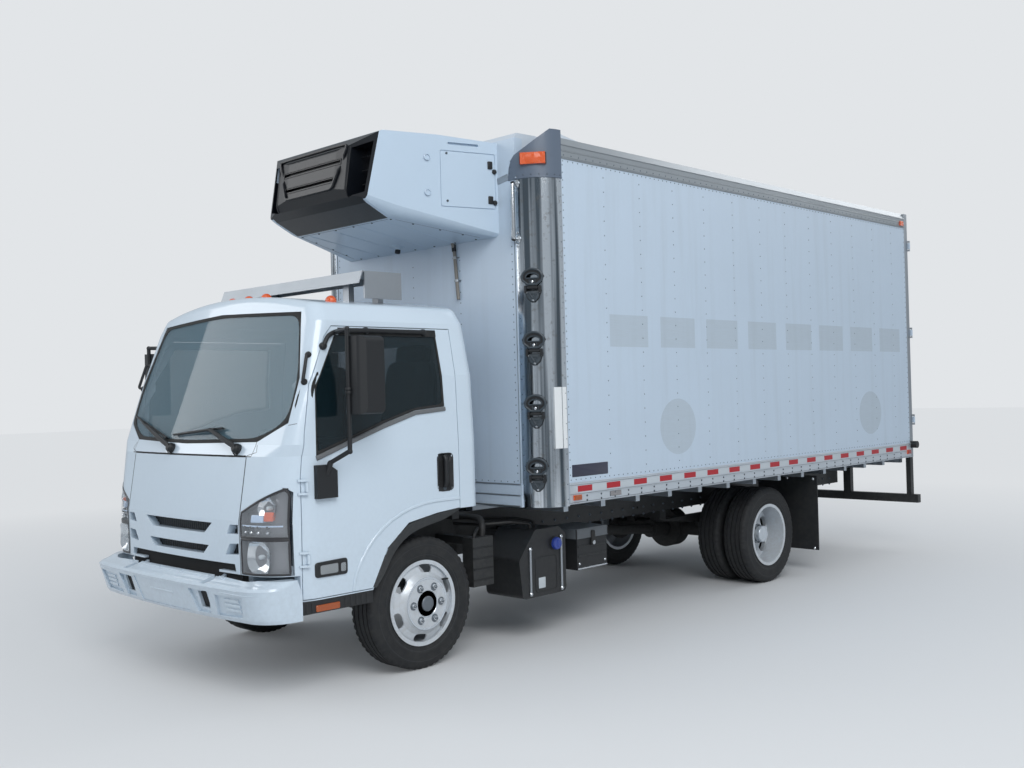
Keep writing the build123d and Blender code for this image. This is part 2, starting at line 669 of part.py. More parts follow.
def build_wipers(outer):
    """Two wiper arms with blades, parked low on the windscreen."""
    with BuildPart() as wipers:
        for pivot, tip in (((560, -1062, 1398), (190, -1086, 1452)), ((-150, -1086, 1396), (-520, -1068, 1460))):
            rod(pivot, (pivot[0], pivot[1] + 60, pivot[2] - 10), 12)
            rod(pivot, tip, 8)
            rod((tip[0] - 250, tip[1] + 10, tip[2] + 6), (tip[0] + 250, tip[1] + 6, tip[2] - 6), 9)
        add(outer, mode=Mode.SUBTRACT)
    return wipers


# Wheels

def tyre(x, s):
    """One tyre as a turned section: flat tread, round shoulders, bulged walls and beads."""
    half = TYRE_W / 2
    with BuildSketch(Plane(origin=(x, station(s), HUB_Z), x_dir=(0, 0, 1), z_dir=(0, 1, 0))) as section:
        with BuildLine():
            Polyline(
                (TYRE_BEAD_R, -92), (TYRE_BEAD_R + 30, -104), (TYRE_R - 62, -half), (TYRE_R - 14, -100),
                (TYRE_R, -82), (TYRE_R, 82), (TYRE_R - 14, 100), (TYRE_R - 62, half), (TYRE_BEAD_R + 30, 104),
                (TYRE_BEAD_R, 92), (TYRE_BEAD_R + 2, 60), (TYRE_BEAD_R + 2, -60), close=True,
            )
        make_face()
    revolve(section.sketch, axis=Axis((x, station(s), HUB_Z), (1, 0, 0)))


# Disc of a wheel as (radius, distance out from the wheel's middle), less the plate's own distance
DISC_FACE = [(158.0, 0.0), (170.0, -14.0), (194.0, -36.0), (224.0, -48.0), (238.7, -56.0)]
DISC_T = 12.0
PLATE_BORE_R = 82.0
HAND_HOLE = (211.0, 100.0, 48.0)


def rim(x, s, outward, plate, hub_in, hub_out):
    """Disc wheel: barrel, flanges, a cone with six oval hand holes, the bolting plate and the hub inside it."""
    seat = TYRE_BEAD_R - SEAT_GAP
    axle = Axis((x, station(s), HUB_Z), (1, 0, 0))
    back = [(radius, reach - DISC_T) for radius, reach in reversed(DISC_FACE)]
    face = [(radius, outward * (plate + reach)) for radius, reach in DISC_FACE + back]
    with BuildSketch(Plane(origin=(x, station(s), HUB_Z), x_dir=(0, 0, 1), z_dir=(0, 1, 0))) as section:
        with BuildLine():
            Polyline(
                (RIM_FLANGE_R, -104), (RIM_FLANGE_R - 2, -97), (seat, -95), (seat, 95), (RIM_FLANGE_R - 2, 97),
                (RIM_FLANGE_R, 104), (seat - 14, 102), (seat - 14, -102), close=True,
            )
        make_face()
        with BuildLine():
            bore = [(PLATE_BORE_R, outward * (plate - DISC_T)), (PLATE_BORE_R, outward * plate)]
            Polyline(*bore, *face, close=True)
        make_face()
    revolve(section.sketch, axis=axle)
    hole_r, length, width = HAND_HOLE
    with BuildSketch(Plane(origin=(x, station(s), HUB_Z), x_dir=(0, 1, 0), z_dir=(1, 0, 0))) as holes:
        with PolarLocations(hole_r, 6, start_angle=22.5):
            SlotOverall(length, width, rotation=90)
    extrude(holes.sketch, amount=plate + 20, both=True, mode=Mode.SUBTRACT)
    rod((x + outward * hub_in, s, HUB_Z), (x + outward * hub_out, s, HUB_Z), PLATE_BORE_R + 10)
    rod((x + outward * hub_out, s, HUB_Z), (x + outward * (hub_out + 18), s, HUB_Z), 42)


def build_front_wheel(side):
    """Front tyre, and its wheel with the hub bored for the stub axle."""
    x = side * FRONT_WHEEL_X
    with BuildPart() as front_tyre:
        tyre(x, 0)
    with BuildPart() as front_rim:
        rim(x, 0, side, 140, 28, 129)
        rod((x + side * 20, 0, HUB_Z), (x + side * 72, 0, HUB_Z), STUB_R + PIN_CLEARANCE, mode=Mode.SUBTRACT)
    return front_tyre, front_rim


def build_rear_wheels(side):
    """Twin tyres, and their two wheels on one hub."""
    with BuildPart() as rear_tyres:
        for x in (REAR_INNER_X, REAR_OUTER_X):
            tyre(side * x, WHEELBASE)
    with BuildPart() as rear_rims:
        middle = (REAR_OUTER_X - REAR_INNER_X) / 2
        rim(side * REAR_OUTER_X, WHEELBASE, -side, middle, middle - 90, middle + 18)
        rim(side * REAR_INNER_X, WHEELBASE, side, middle, middle - 90, middle + 18)
        rod((side * 640, WHEELBASE, HUB_Z), (side * 950, WHEELBASE, HUB_Z), PLATE_BORE_R)
        rod((side * 950, WHEELBASE, HUB_Z), (side * 1000, WHEELBASE, HUB_Z), 64)
        rod((side * 600, WHEELBASE, HUB_Z), (side * 990, WHEELBASE, HUB_Z), HUB_BORE_R + PIN_CLEARANCE, mode=Mode.SUBTRACT)
    return rear_tyres, rear_rims


def build_knuckle(side):
    """Steering knuckle: two ears on the king pin, stub axle and steering arm."""
    x = side * KINGPIN_X
    low = HUB_Z - EYE_HALF_H - EAR_GAP - EAR_T
    high = HUB_Z + EYE_HALF_H + EAR_GAP + EAR_T
    cheek = AXLE_EYE_R + EAR_GAP
    with BuildPart() as knuckle:
        for z in (low, high - EAR_T):
            with Locations((x, station(0), z + EAR_T / 2)):
                Cylinder(AXLE_EYE_R + 4, EAR_T)
            block((x, x + side * (cheek + 20)), (-32, 32), (z, z + EAR_T))
        block((x + side * cheek, x + side * (cheek + 20)), (-40, 40), (low, high))
        rod((x + side * (cheek + 10), 0, HUB_Z), (x + side * 130, 0, HUB_Z), STUB_R)
        block((x - side * 18, x + side * 18), (20, STEER_ARM), (low, low + 22))
        with Locations((x, station(STEER_ARM), low + 11)):
            Cylinder(22, 22)
            Cylinder(TRACK_PIN_R + PIN_CLEARANCE, 22, mode=Mode.SUBTRACT)
        with Locations((x, station(0), HUB_Z)):
            Cylinder(KINGPIN_R + PIN_CLEARANCE, 2 * (high - HUB_Z) + 2, mode=Mode.SUBTRACT)
    return knuckle


def build_tie_rod():
    """Track rod between the two steering arms, which are parallel."""
    arm_low = HUB_Z - EYE_HALF_H - EAR_GAP - EAR_T
    z = arm_low - 5 - 13
    with BuildPart() as tie_rod:
        rod((-KINGPIN_X, STEER_ARM, z), (KINGPIN_X, STEER_ARM, z), 12)
        for side in (1, -1):
            with Locations((side * KINGPIN_X, station(STEER_ARM), z)):
                Cylinder(19, 26)
            with Locations((side * KINGPIN_X, station(STEER_ARM), z + 26)):
                Cylinder(TRACK_PIN_R, 30)
    return tie_rod


# Chassis equipment

def build_fluid_tank():
    """Exhaust-fluid tank with its cap, hung outside the left rail."""
    with BuildPart() as fluid_tank:
        side_outline(
            [(830, 298), (1265, 298), (1265, 700), (1200, 752), (960, 752), (800, 560)], 640, 985,
            radii={0: 40, 1: 40, 3: 30, 4: 30, 5: 40},
        )
        rod((960, 1153, 640), (1018, 1153, 640), 38)
        block((RAIL_OUTER_X, 640), (960, 1010), (660, 720))
        block((RAIL_OUTER_X, 640), (1150, 1200), (660, 720))
    return fluid_tank


def build_battery_box():
    """Battery box with its lid on the left rail."""
    with BuildPart() as battery_box:
        block((700, 1000), (1369, 1693), (423, 640))
        block((690, 1006), (1360, 1702), (640, 709))
        block((RAIL_OUTER_X, 700), (1420, 1470), (600, 660))
        block((RAIL_OUTER_X, 700), (1590, 1640), (600, 660))
    return battery_box


def build_fuel_tank():
    """Fuel tank between the rails behind the cab on the right."""
    with BuildPart() as fuel_tank:
        side_outline(
            [(1400, 380), (2300, 380), (2300, 780), (1400, 780)], -960, -480,
            radii={0: 70, 1: 70, 2: 70, 3: 70},
        )
        block((-480, -RAIL_OUTER_X), (1560, 1620), (640, 760))
        block((-480, -RAIL_OUTER_X), (2080, 2140), (640, 760))
    return fuel_tank


def build_exhaust():
    """Exhaust canister and pipe on the right rail."""
    with BuildPart() as exhaust:
        rod((-640, 560, 560), (-640, 1260, 560), 150)
        rod((-640, 1260, 560), (-640, 1340, 560), 50)
        block((-640, -RAIL_OUTER_X), (700, 740), (650, 700))
        block((-640, -RAIL_OUTER_X), (1080, 1120), (650, 700))
    return exhaust


def build_mud_flaps():
    """Rubber flaps behind the rear wheels, each on its hanger from the rail."""
    with BuildPart() as mud_flaps:
        s = WHEELBASE + TYRE_R + FLAP_CLEAR
        pair((560, 1160), (s, s + 12), (200, 865))
        pair((RAIL_OUTER_X, 1160), (s + 12, s + 48), (800, 840))
    return mud_flaps


def build_rear_guard():
    """Underride guard with its four posts below the rear sill."""
    with BuildPart() as rear_guard:
        block((-1283, 1283), (6262, 6325), (465, 547))
        pair((1167, 1215), (6262, 6325), (547, 922))
        pair((480, 560), (6262, 6325), (547, 922))
        # Dock rollers at the ends of the sill
        for side in (1, -1):
            rod((side * 1222, 6290, 1050), (side * 1283, 6290, 1050), 35)
    return rear_guard


# Load box

def build_box_floor():
    """Insulated floor between the side walls, on its runners and cross-bearers."""
    inner = BOX_HALF_W - BOX_WALL
    reach = REAR_POST_S - BOX_FRONT_S - CORNER_R
    with BuildPart() as box_floor:
        block((-inner, inner), (BOX_FRONT_S + CORNER_R, REAR_POST_S), (BOX_FLOOR_Z, BOX_DECK_Z))
        front = BOX_HALF_W - CORNER_R
        block((-front, front), (BOX_FRONT_S + BOX_WALL, BOX_FRONT_S + CORNER_R), (BOX_FLOOR_Z, BOX_DECK_Z))
        runner = (BOX_FRONT_S + BOX_WALL + SEAT_GAP, REAR_POST_S)
        pair((RAIL_OUTER_X - RAIL_FLANGE, RAIL_OUTER_X), runner, (RAIL_TOP_Z, BOX_FLOOR_Z))
        for index in range(BEARER_COUNT):
            s = BOX_FRONT_S + CORNER_R + 20 + index * (reach - 90) / (BEARER_COUNT - 1)
            block((-inner, inner), (s, s + 46), (870, BOX_FLOOR_Z))
    return box_floor


def build_front_wall():
    """Flat front wall between the rounded corners, with the kick plate at its foot."""
    half = BOX_HALF_W - CORNER_R
    with BuildPart() as box_front_wall:
        block((-half, half), (BOX_FRONT_S, BOX_FRONT_S + BOX_WALL), (915, FRONT_WALL_TOP))
        block((-half, half), (BOX_FRONT_S - 12, BOX_FRONT_S), (915, 990))
        block((-half, half), (BOX_FRONT_S - 6, BOX_FRONT_S), (990, 1066))
    return box_front_wall


def build_side_walls():
    """Flat insulated side walls between the rails."""
    with BuildPart() as box_side_walls:
        pair((BOX_HALF_W - BOX_WALL, BOX_HALF_W), (BOX_FRONT_S + CORNER_R, REAR_POST_S), (BOX_DECK_Z, TOP_RAIL_Z))
    return box_side_walls


def build_rails():
    """Aluminium rails along the foot and the head of each side wall."""
    inner = BOX_HALF_W - BOX_WALL
    foot = [
        (inner, BOTTOM_RAIL_Z), (BOX_HALF_W - 4, BOTTOM_RAIL_Z), (BOX_HALF_W + 6, BOTTOM_RAIL_Z + 12),
        (BOX_HALF_W + 6, BOX_DECK_Z), (inner, BOX_DECK_Z),
    ]
    head = [
        (inner, TOP_RAIL_Z), (BOX_HALF_W + 4, TOP_RAIL_Z), (BOX_HALF_W + 4, TOP_RAIL_Z + 95),
        (BOX_HALF_W - 22, TOP_RAIL_Z + TOP_RAIL_H), (inner, TOP_RAIL_Z + TOP_RAIL_H),
    ]
    with BuildPart() as box_rails:
        for section in (foot, head):
            front_outline(section, BOX_FRONT_S + CORNER_R, REAR_POST_S)
            front_outline(mirrored(section), BOX_FRONT_S + CORNER_R, REAR_POST_S)
    return box_rails


def build_roof():
    """Roof panel with a slight crown, between the top rails."""
    inner = BOX_HALF_W - BOX_WALL
    low = TOP_RAIL_Z + TOP_RAIL_H - ROOF_T
    top = TOP_RAIL_Z + TOP_RAIL_H
    with BuildPart() as box_roof:
        with BuildSketch(Plane.XZ.offset(-station(BOX_FRONT_S + BOX_WALL))) as section:
            with BuildLine():
                Line((-inner, low), (inner, low))
                Line((inner, low), (inner, top))
                ThreePointArc((inner, top), (0, top + ROOF_RISE), (-inner, top))
                Line((-inner, top), (-inner, low))
            make_face()
        extrude(section.sketch, amount=-(REAR_POST_S - BOX_FRONT_S - BOX_WALL))
        front = BOX_HALF_W - CORNER_R
        pair((front, inner + 5), (BOX_FRONT_S, BOX_FRONT_S + CORNER_R), (low - 5, top + 60), mode=Mode.SUBTRACT)
        # Raised lip over the front wall, between the caps
        lip = [
            (BOX_FRONT_S, FRONT_WALL_TOP), (BOX_FRONT_S + 30, CAP_TOP_Z - 5), (BOX_FRONT_S + CORNER_R, CAP_TOP_Z),
            (BOX_FRONT_S + CORNER_R, top), (BOX_FRONT_S + BOX_WALL, top), (BOX_FRONT_S + BOX_WALL, FRONT_WALL_TOP),
        ]
        side_outline(lip, -front + 4, front - 4)
        # The roof sheet sweeps up behind the caps
        s = BOX_FRONT_S + CORNER_R
        sweep = [(s, top + SEAT_GAP), (s, CAP_TOP_Z - 6), (s + 50, 3402), (s + 210, top + SEAT_GAP)]
        side_outline(sweep, -1196, 1196)
    return box_roof


def corner_column(side, wall, z0, z1, outer_extra=0.0):
    """Quarter-round corner between the front wall and a side wall."""
    outer = CORNER_R + outer_extra
    inner = CORNER_R - wall
    centre = (side * (BOX_HALF_W - CORNER_R), station(BOX_FRONT_S + CORNER_R))
    start, end = (270, 90) if side > 0 else (180, 90)
    with BuildSketch(Plane.XY.offset(z0)) as section:
        with BuildLine():
            a = CenterArc(centre, outer, start, end)
            b = CenterArc(centre, inner, start, end)
            Line(a @ 0, b @ 0)
            Line(a @ 1, b @ 1)
        make_face()
    extrude(section.sketch, amount=z1 - z0)


def build_corner_posts():
    """Polished corner posts."""
    with BuildPart() as corner_posts:
        for side in (1, -1):
            corner_column(side, BOX_WALL, 915, CAP_Z)
    return corner_posts


CAP_LIP = 4.0
# The slope that cuts each cap's top: a point on it as (x, s, z), and its normal for the left cap
CAP_SLOPE = (1024.0, 838.0, 3276.0)
CAP_NORMAL = (-0.384, -0.607, 1.0)
CAP_LAMP_ANGLE = 36.0


def build_corner_caps():
    """Moulded caps on the corner posts: a round foot with a flat ear, and a top that slopes up to the roof."""
    with BuildPart() as corner_caps:
        for side in (1, -1):
            corner_column(side, CORNER_R - 1, CAP_Z, CAP_TOP_Z, CAP_LIP)
            origin = (side * CAP_SLOPE[0], station(CAP_SLOPE[1]), CAP_SLOPE[2])
            normal = (side * CAP_NORMAL[0], CAP_NORMAL[1], CAP_NORMAL[2])
            with Locations(Plane(origin=origin, z_dir=normal)):
                Box(1200, 1200, 500, align=(Align.CENTER, Align.CENTER, Align.MIN), mode=Mode.SUBTRACT)
            inner = BOX_HALF_W - CORNER_R + 1
            ear = [(938, CAP_Z), (inner, CAP_Z), (inner, 3268), (972, 3240), (948, 3185)]
            front_outline(ear if side > 0 else mirrored(ear), BOX_FRONT_S - CAP_LIP, BOX_FRONT_S - SEAT_GAP)
    return corner_caps


def build_box_lamps():
    """Amber and red marker lamps on the box, and the wide amber ones on the caps."""
    with BuildPart() as box_lamps:
        for side in (1, -1):
            x = side * (BOX_HALF_W + 6)
            block((x, x + side * 12), (1090, 1165), (950, 985))
            block((x, x + side * 12), (6170, 6240), (960, 1000))
            y0 = side * (BOX_HALF_W + 4)
            block((y0, y0 + side * 12), (6150, 6220), (3255, 3300))
            angle = math.radians(CAP_LAMP_ANGLE)
            out = Vector(side * math.sin(angle), -math.cos(angle), 0)
            centre = Vector(side * (BOX_HALF_W - CORNER_R), station(BOX_FRONT_S + CORNER_R), 3228)
            with Locations(Plane(origin=centre + out * CORNER_R, x_dir=(0, 0, 1), z_dir=out)):
                Box(76, 168, 40)
            with Locations(centre):
                Cylinder(CORNER_R + CAP_LIP, 100, mode=Mode.SUBTRACT)
    return box_lamps


def build_rear_frame():
    """Steel portal round the rear doors: posts, header and sill."""
    inner = BOX_HALF_W - REAR_POST_W
    with BuildPart() as rear_frame:
        block((-BOX_HALF_W, BOX_HALF_W), (REAR_POST_S, BOX_REAR_S), (BOTTOM_RAIL_Z, TOP_RAIL_Z + TOP_RAIL_H))
        block((-inner, inner), (REAR_POST_S - 5, BOX_REAR_S + 5), (REAR_SILL_TOP, REAR_DOOR_TOP), mode=Mode.SUBTRACT)
        for side in (1, -1):
            x0, x1 = sorted((side * 1190, side * (REAR_HINGE_X + 5)))
            for z in REAR_STRAP_Z:
                reach = REAR_STRAP_H / 2 + RUNNING_GAP
                for low in (z - reach - 16, z + reach):
                    block((x0, x1), (BOX_REAR_S, REAR_HINGE_S + 6), (low, low + 16))
                with Locations((side * REAR_HINGE_X, station(REAR_HINGE_S), z)):
                    Cylinder(REAR_PIN_R, 2 * reach + 20)
    return rear_frame


def build_rear_door(side):
    """One leaf of the rear doors with its hinge straps and lock rod."""
    inner = BOX_HALF_W - REAR_POST_W
    with BuildPart() as rear_door:
        x0, x1 = sorted((side * RUNNING_GAP / 2, side * (inner - RUNNING_GAP)))
        low, high = REAR_SILL_TOP + RUNNING_GAP, REAR_DOOR_TOP - RUNNING_GAP
        block((x0, x1), (BOX_REAR_S - REAR_DOOR_T, BOX_REAR_S), (low, high))
        for z in REAR_STRAP_Z:
            band = (z - REAR_STRAP_H / 2, z + REAR_STRAP_H / 2)
            block((side * 900, side * (inner - RUNNING_GAP)), (BOX_REAR_S, REAR_HINGE_S), band)
            block((side * (inner - RUNNING_GAP), side * REAR_HINGE_X), (REAR_HINGE_S - 5, REAR_HINGE_S + 1), band)
            with Locations((side * REAR_HINGE_X, station(REAR_HINGE_S), z)):
                Cylinder(REAR_HINGE_R, REAR_STRAP_H)
                Cylinder(REAR_PIN_R + PIN_CLEARANCE, REAR_STRAP_H, mode=Mode.SUBTRACT)
        # Lock rod in its guides, with a folded handle
        rod_x = side * 170
        rod_s = BOX_REAR_S + 11
        rod((rod_x, rod_s, low), (rod_x, rod_s, high), 9)
        for z in (1160.0, 1700.0, 2300.0, 2900.0, 3180.0):
            block((rod_x - 22, rod_x + 22), (BOX_REAR_S, BOX_REAR_S + 19), (z - 18, z + 18))
        block((rod_x, rod_x + side * 260), (rod_s - 4, rod_s + 6), (1440, 1466))
        block((rod_x + side * 225, rod_x + side * 265), (BOX_REAR_S, BOX_REAR_S + 18), (1425, 1480))
    return rear_door


def build_evaporator():
    """Cooling coil housing under the roof inside the box."""
    with BuildPart() as evaporator:
        s0 = BOX_FRONT_S + BOX_WALL
        side_outline([(s0, 2800), (s0 + 330, 2900), (s0 + 330, 3200), (s0, 3200)], -600, 600)
    return evaporator


# Cooling unit: side profile as (s, z), half of its plan at two heights, and its lower side edge
UNIT_PROFILE = [
    (BOX_FRONT_S, 2738.0), (138.0, 2845.0), (-30.0, 2925.0), (-86.0, 2969.0), (UNIT_FRONT_S, 3039.0), (-75.0, 3300.0),
    (46.0, 3392.0), (420.0, 3394.0), (BOX_FRONT_S, 3372.0),
]
UNIT_PLANS = [
    (2700.0, [(UNIT_HALF_W, BOX_FRONT_S), (534.0, -110.0), (380.0, -150.0), (0.0, -180.0)]),
    (3420.0, [(UNIT_HALF_W, BOX_FRONT_S), (581.0, 41.0), (380.0, -48.0), (0.0, -84.0)]),
]
# s, side plane x, lower end of the side, belly's edge x, belly height
UNIT_EDGE = [
    (870.0, 847.3, 2754.0, 742.0, 2733.0),
    (138.0, 613.4, 2914.0, 505.0, 2844.0),
    (-200.0, 505.4, 3010.0, 398.0, 2960.0),
]
UNIT_SPLIT = [(-300.0, 3500.0), (59.0, 3500.0), (-57.0, 2942.0), (-300.0, 2942.0)]
UNIT_SLOPE = [(-300.0, 2960.0), (-40.0, 2960.0), (150.0, 2866.0), (139.0, 2500.0), (-300.0, 2500.0)]
UNIT_SLOPE_HALF_W = 510.0
UNIT_INTAKE = [(404.0, 3292.0), (552.0, 3322.0), (530.0, 2990.0), (398.0, 2968.0)]


def unit_form():
    """Outer form of the cooling unit: side profile crossed with its leaning plan, rounded under its sides."""
    with BuildPart() as form:
        sections = []
        for z, half in UNIT_PLANS:
            with BuildSketch(Plane.XY.offset(z)) as plan:
                with BuildLine():
                    points = half + [(-x, s) for x, s in reversed(half[:-1])]
                    Polyline([(x, station(s)) for x, s in points], close=True)
                make_face()
            sections.append(plan.sketch)
        loft(sections, ruled=True)
        with BuildPart(mode=Mode.INTERSECT):
            side_outline(UNIT_PROFILE, -900, 900, radii={5: 45, 6: 60})
        for side in (1, -1):
            with BuildPart(mode=Mode.SUBTRACT):
                wedges = []
                for s, x, low, belly_x, belly_z in UNIT_EDGE:
                    middle = ((x + belly_x) / 2 + 14, (low + belly_z) / 2 - 16)
                    with BuildSketch(Plane.XZ.offset(-station(s))) as wedge:
                        with BuildLine():
                            ThreePointArc((side * x, low), (side * middle[0], middle[1]), (side * belly_x, belly_z))
                            Polyline(
                                (side * belly_x, belly_z), (side * belly_x, belly_z - 90), (side * (x + 90), belly_z - 90),
                                (side * (x + 90), low), (side * x, low),
                            )
                        make_face()
                    wedges.append(wedge.sketch)
                loft(wedges, ruled=True)
    return form.part


def unit_side_plane(s, z):
    """Plane on the left flank of the cooling unit at a place, level x towards the rear, y up."""
    flank = Vector(UNIT_HALF_W - 575.0, BOX_FRONT_S - 21.0, 0)
    x = 575.0 + (s - 21.0) * flank.X / flank.Y
    along = flank.normalized()
    return Plane(origin=(x, station(s), z), x_dir=along, z_dir=(along.Y, -along.X, 0))


def flank_details(mode):
    """Service panel's groove, two round holes and the grip slot, on the left flank."""
    depth = -6.0
    with BuildSketch(unit_side_plane(630.0, 3108.0).offset(depth)) as groove:
        RectangleRounded(410, 376, 14)
        RectangleRounded(398, 364, 10, mode=Mode.SUBTRACT)
    extrude(groove.sketch, amount=60, mode=mode)
    for z in (3239.0, 3008.0):
        with BuildSketch(unit_side_plane(343.0, z).offset(5 * depth)) as hole:
            Circle(17)
        extrude(hole.sketch, amount=80, mode=mode)
    with BuildSketch(unit_side_plane(600.0, 3344.0).offset(3 * depth)) as grip:
        SlotOverall(225, 16)
    extrude(grip.sketch, amount=60, mode=mode)


def build_unit():
    """White housing of the cooling unit and its near-black nose with two intakes and a ribbed middle."""
    form = unit_form()
    with BuildPart() as nose:
        side_outline(UNIT_SPLIT, -700, 700)
        side_outline(UNIT_SLOPE, -UNIT_SLOPE_HALF_W, UNIT_SLOPE_HALF_W)
        block((-545, 545), (-60, 110), (2975, 3325))
    with BuildPart() as unit_housing:
        add(form)
        add(nose.part, mode=Mode.SUBTRACT)
        flank_details(Mode.SUBTRACT)
    with BuildPart() as unit_grille:
        add(form)
        add(nose.part, mode=Mode.INTERSECT)
        for outline in (UNIT_INTAKE, mirrored(UNIT_INTAKE)):
            front_outline(outline, -300, 70, mode=Mode.SUBTRACT)
        # Long slots across the raised middle
        for z, half in ((3214.0, 325.0), (3102.0, 285.0)):
            block((-half, half), (-300, -60), (z - 10, z + 10), mode=Mode.SUBTRACT)
    return unit_housing, unit_grille


def build_drain():
    """Drain pipe down the front wall from the cooling unit."""
    with BuildPart() as drain_pipe:
        rod((400, BOX_FRONT_S - 12, 2720), (430, BOX_FRONT_S - 12, 2345), 12)
    return drain_pipe


def step_plane(top_z):
    """Plane that touches the left corner post where the steps are, x level, y up, looking outwards."""
    angle = math.radians(STEP_FACE_ANGLE)
    outward = Vector(math.sin(angle), -math.cos(angle), 0)
    centre = Vector(BOX_HALF_W - CORNER_R, station(BOX_FRONT_S + CORNER_R), top_z)
    return Plane(origin=centre + outward * CORNER_R, x_dir=(math.cos(angle), math.sin(angle), 0), z_dir=outward)


def build_step(index):
    """One fold-down step: a D-shaped tread ring on two lugs, stowed upright against its bracket."""
    face = step_plane(STEP_TOP_Z - index * STEP_PITCH)
    with BuildPart() as folding_step:
        with BuildSketch(face.offset(STEP_STAND - 9)) as ring:
            with BuildLine():
                Line((-34, -116), (34, -116))
                Line((34, -116), (80, -58))
                ThreePointArc((80, -58), (0, 0), (-80, -58))
                Line((-80, -58), (-34, -116))
            make_face()
            with BuildLine():
                Line((-50, -66), (50, -66))
                ThreePointArc((50, -66), (0, -27), (-50, -66))
            make_face(mode=Mode.SUBTRACT)
        extrude(ring.sketch, amount=18)
        with Locations(face * Location((0, STEP_PIN_Y, STEP_STAND), (0, 90, 0))):
            Cylinder(11, 70)
        with Locations(face * Location((0, (STEP_PIN_Y - 110) / 2, STEP_STAND))):
            Box(60, abs(-110 - STEP_PIN_Y), 16)
        with Locations(face * Location((0, STEP_PIN_Y, STEP_STAND), (0, 90, 0))):
            Cylinder(STEP_PIN_R + PIN_CLEARANCE, 80, mode=Mode.SUBTRACT)
    return folding_step


def build_step_brackets():
    """Triangular hinge brackets of the four steps with their pins, and the grab rail above them."""
    with BuildPart() as step_brackets:
        for index in range(STEP_COUNT):
            face = step_plane(STEP_TOP_Z - index * STEP_PITCH)
            with BuildSketch(face.offset(SEAT_GAP)) as foot:
                with BuildLine():
                    Polyline((-58, -145), (58, -145), (40, -200), (12, -226), (-12, -226), (-40, -200), close=True)
                make_face()
            extrude(foot.sketch, amount=12)
            for x in (-48, 48):
                with Locations(face * Location((x, STEP_PIN_Y - 10, (STEP_STAND + 12) / 2))):
                    Box(14, 48, STEP_STAND + 6)
            with Locations(face * Location((0, STEP_PIN_Y, STEP_STAND), (0, 90, 0))):
                Cylinder(STEP_PIN_R, 108)
        # Grab rail beside the steps
        s = BOX_FRONT_S - 38
        rod((1010, s, 2690), (1010, s, 3080), 12)
        for z in (2700, 3070):
            rod((1010, s, z), (1010, BOX_FRONT_S, z), 14)
    return step_brackets


def build_cab_steps():
    """Black steps under the doors."""
    with BuildPart() as cab_steps:
        pair((850, 1000), (-918, -438), (486, CAB_LOW_Z - SEAT_GAP))
    return cab_steps


def main():
    """Build every piece and write it."""
    keep(build_frame(), "ladder_frame")
    keep(build_front_axle(), "front_axle")
    keep(build_rear_axle(), "rear_axle")
    keep(build_engine(), "engine_block")
    keep(build_bumper(), "front_bumper")
    keep(build_fluid_tank(), "fluid_tank")
    keep(build_battery_box(), "battery_box")
    keep(build_fuel_tank(), "fuel_tank")
    keep(build_exhaust(), "exhaust_canister")
    keep(build_mud_flaps(), "mud_flaps")
    keep(build_rear_guard(), "rear_guard")

    keep(build_box_floor(), "box_floor")
    keep(build_front_wall(), "box_front_wall")
    keep(build_side_walls(), "box_side_walls")
    keep(build_rails(), "box_rails")
    keep(build_roof(), "box_roof")
    keep(build_corner_posts(), "corner_posts")
    keep(build_corner_caps(), "corner_caps")
    keep(build_box_lamps(), "box_lamps")
    keep(build_rear_frame(), "rear_frame")
    keep(build_rear_door(1), "rear_door_left")
    keep(build_rear_door(-1), "rear_door_right")
    keep(build_evaporator(), "evaporator")
    housing, grille = build_unit()
    keep(housing, "unit_housing")
    keep(grille, "unit_grille")
    keep(build_drain(), "drain_pipe")
    keep(build_step_brackets(), "step_brackets")
    for index in range(STEP_COUNT):
        keep(build_step(index), f"folding_step_{index + 1}")

    outer = cab_form(0.0)
    inner = cab_form(CAB_WALL)
    face = cab_form(8.0)
    back = cab_form(8.0 + GLASS_T)
    deep = cab_form(CAB_WALL + 14.0)
    blank = skin_piece(outer, inner, FRONT_PANEL, -1300, -900)
    headlamps = skin_piece(outer, inner, HEADLAMP, -1300, -925, mirror_too=True)
    grille = build_grille(inner, deep)
    keep(build_cab_shell(outer, inner, (blank, headlamps, grille)), "cab_shell")
    keep(build_front_panel(blank), "front_panel")
    keep(headlamps, "headlamps")
    keep(grille, "grille")
    keep(skin_piece(face, back, WINDSCREEN, -1300, -500), "windscreen")
    keep(build_dashboard(inner), "dashboard")
    keep(build_steering_wheel(), "steering_wheel")
    keep(build_seats(), "seats")
    keep(build_walkway(outer), "roof_walkway")
    keep(build_roof_lamps(outer), "roof_lamps")
    keep(build_wipers(outer), "wipers")
    keep(build_cab_steps(), "cab_steps")
    for side, word in ((1, "left"), (-1, "right")):
        keep(build_door(outer, inner, side), f"door_{word}")
        keep(build_door_glass(face, back, side), f"door_glass_{word}")
        keep(build_mirror(outer, side), f"mirror_{word}")
        keep(build_knuckle(side), f"knuckle_{word}")
        tyre_piece, rim_piece = build_front_wheel(side)
        keep(tyre_piece, f"front_tyre_{word}")
        keep(rim_piece, f"front_rim_{word}")
        tyres, rims = build_rear_wheels(side)
        keep(tyres, f"rear_tyres_{word}")
        keep(rims, f"rear_rims_{word}")
    keep(build_tie_rod(), "tie_rod")


if __name__ == "__main__":
    main()
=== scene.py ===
"""Looks of a forward-control refrigerated truck.

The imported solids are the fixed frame. Finishes are procedural and read object coordinates in metres.
Places are written in millimetres as across, distance behind the front axle, and height.
"""

from __future__ import annotations

import json
import logging
import math
from dataclasses import dataclass, field
from enum import Enum
from functools import reduce
from typing import Callable, Optional, Sequence, Union

import bmesh
import bpy
from mathutils import Matrix, Vector
from mathutils.bvhtree import BVHTree

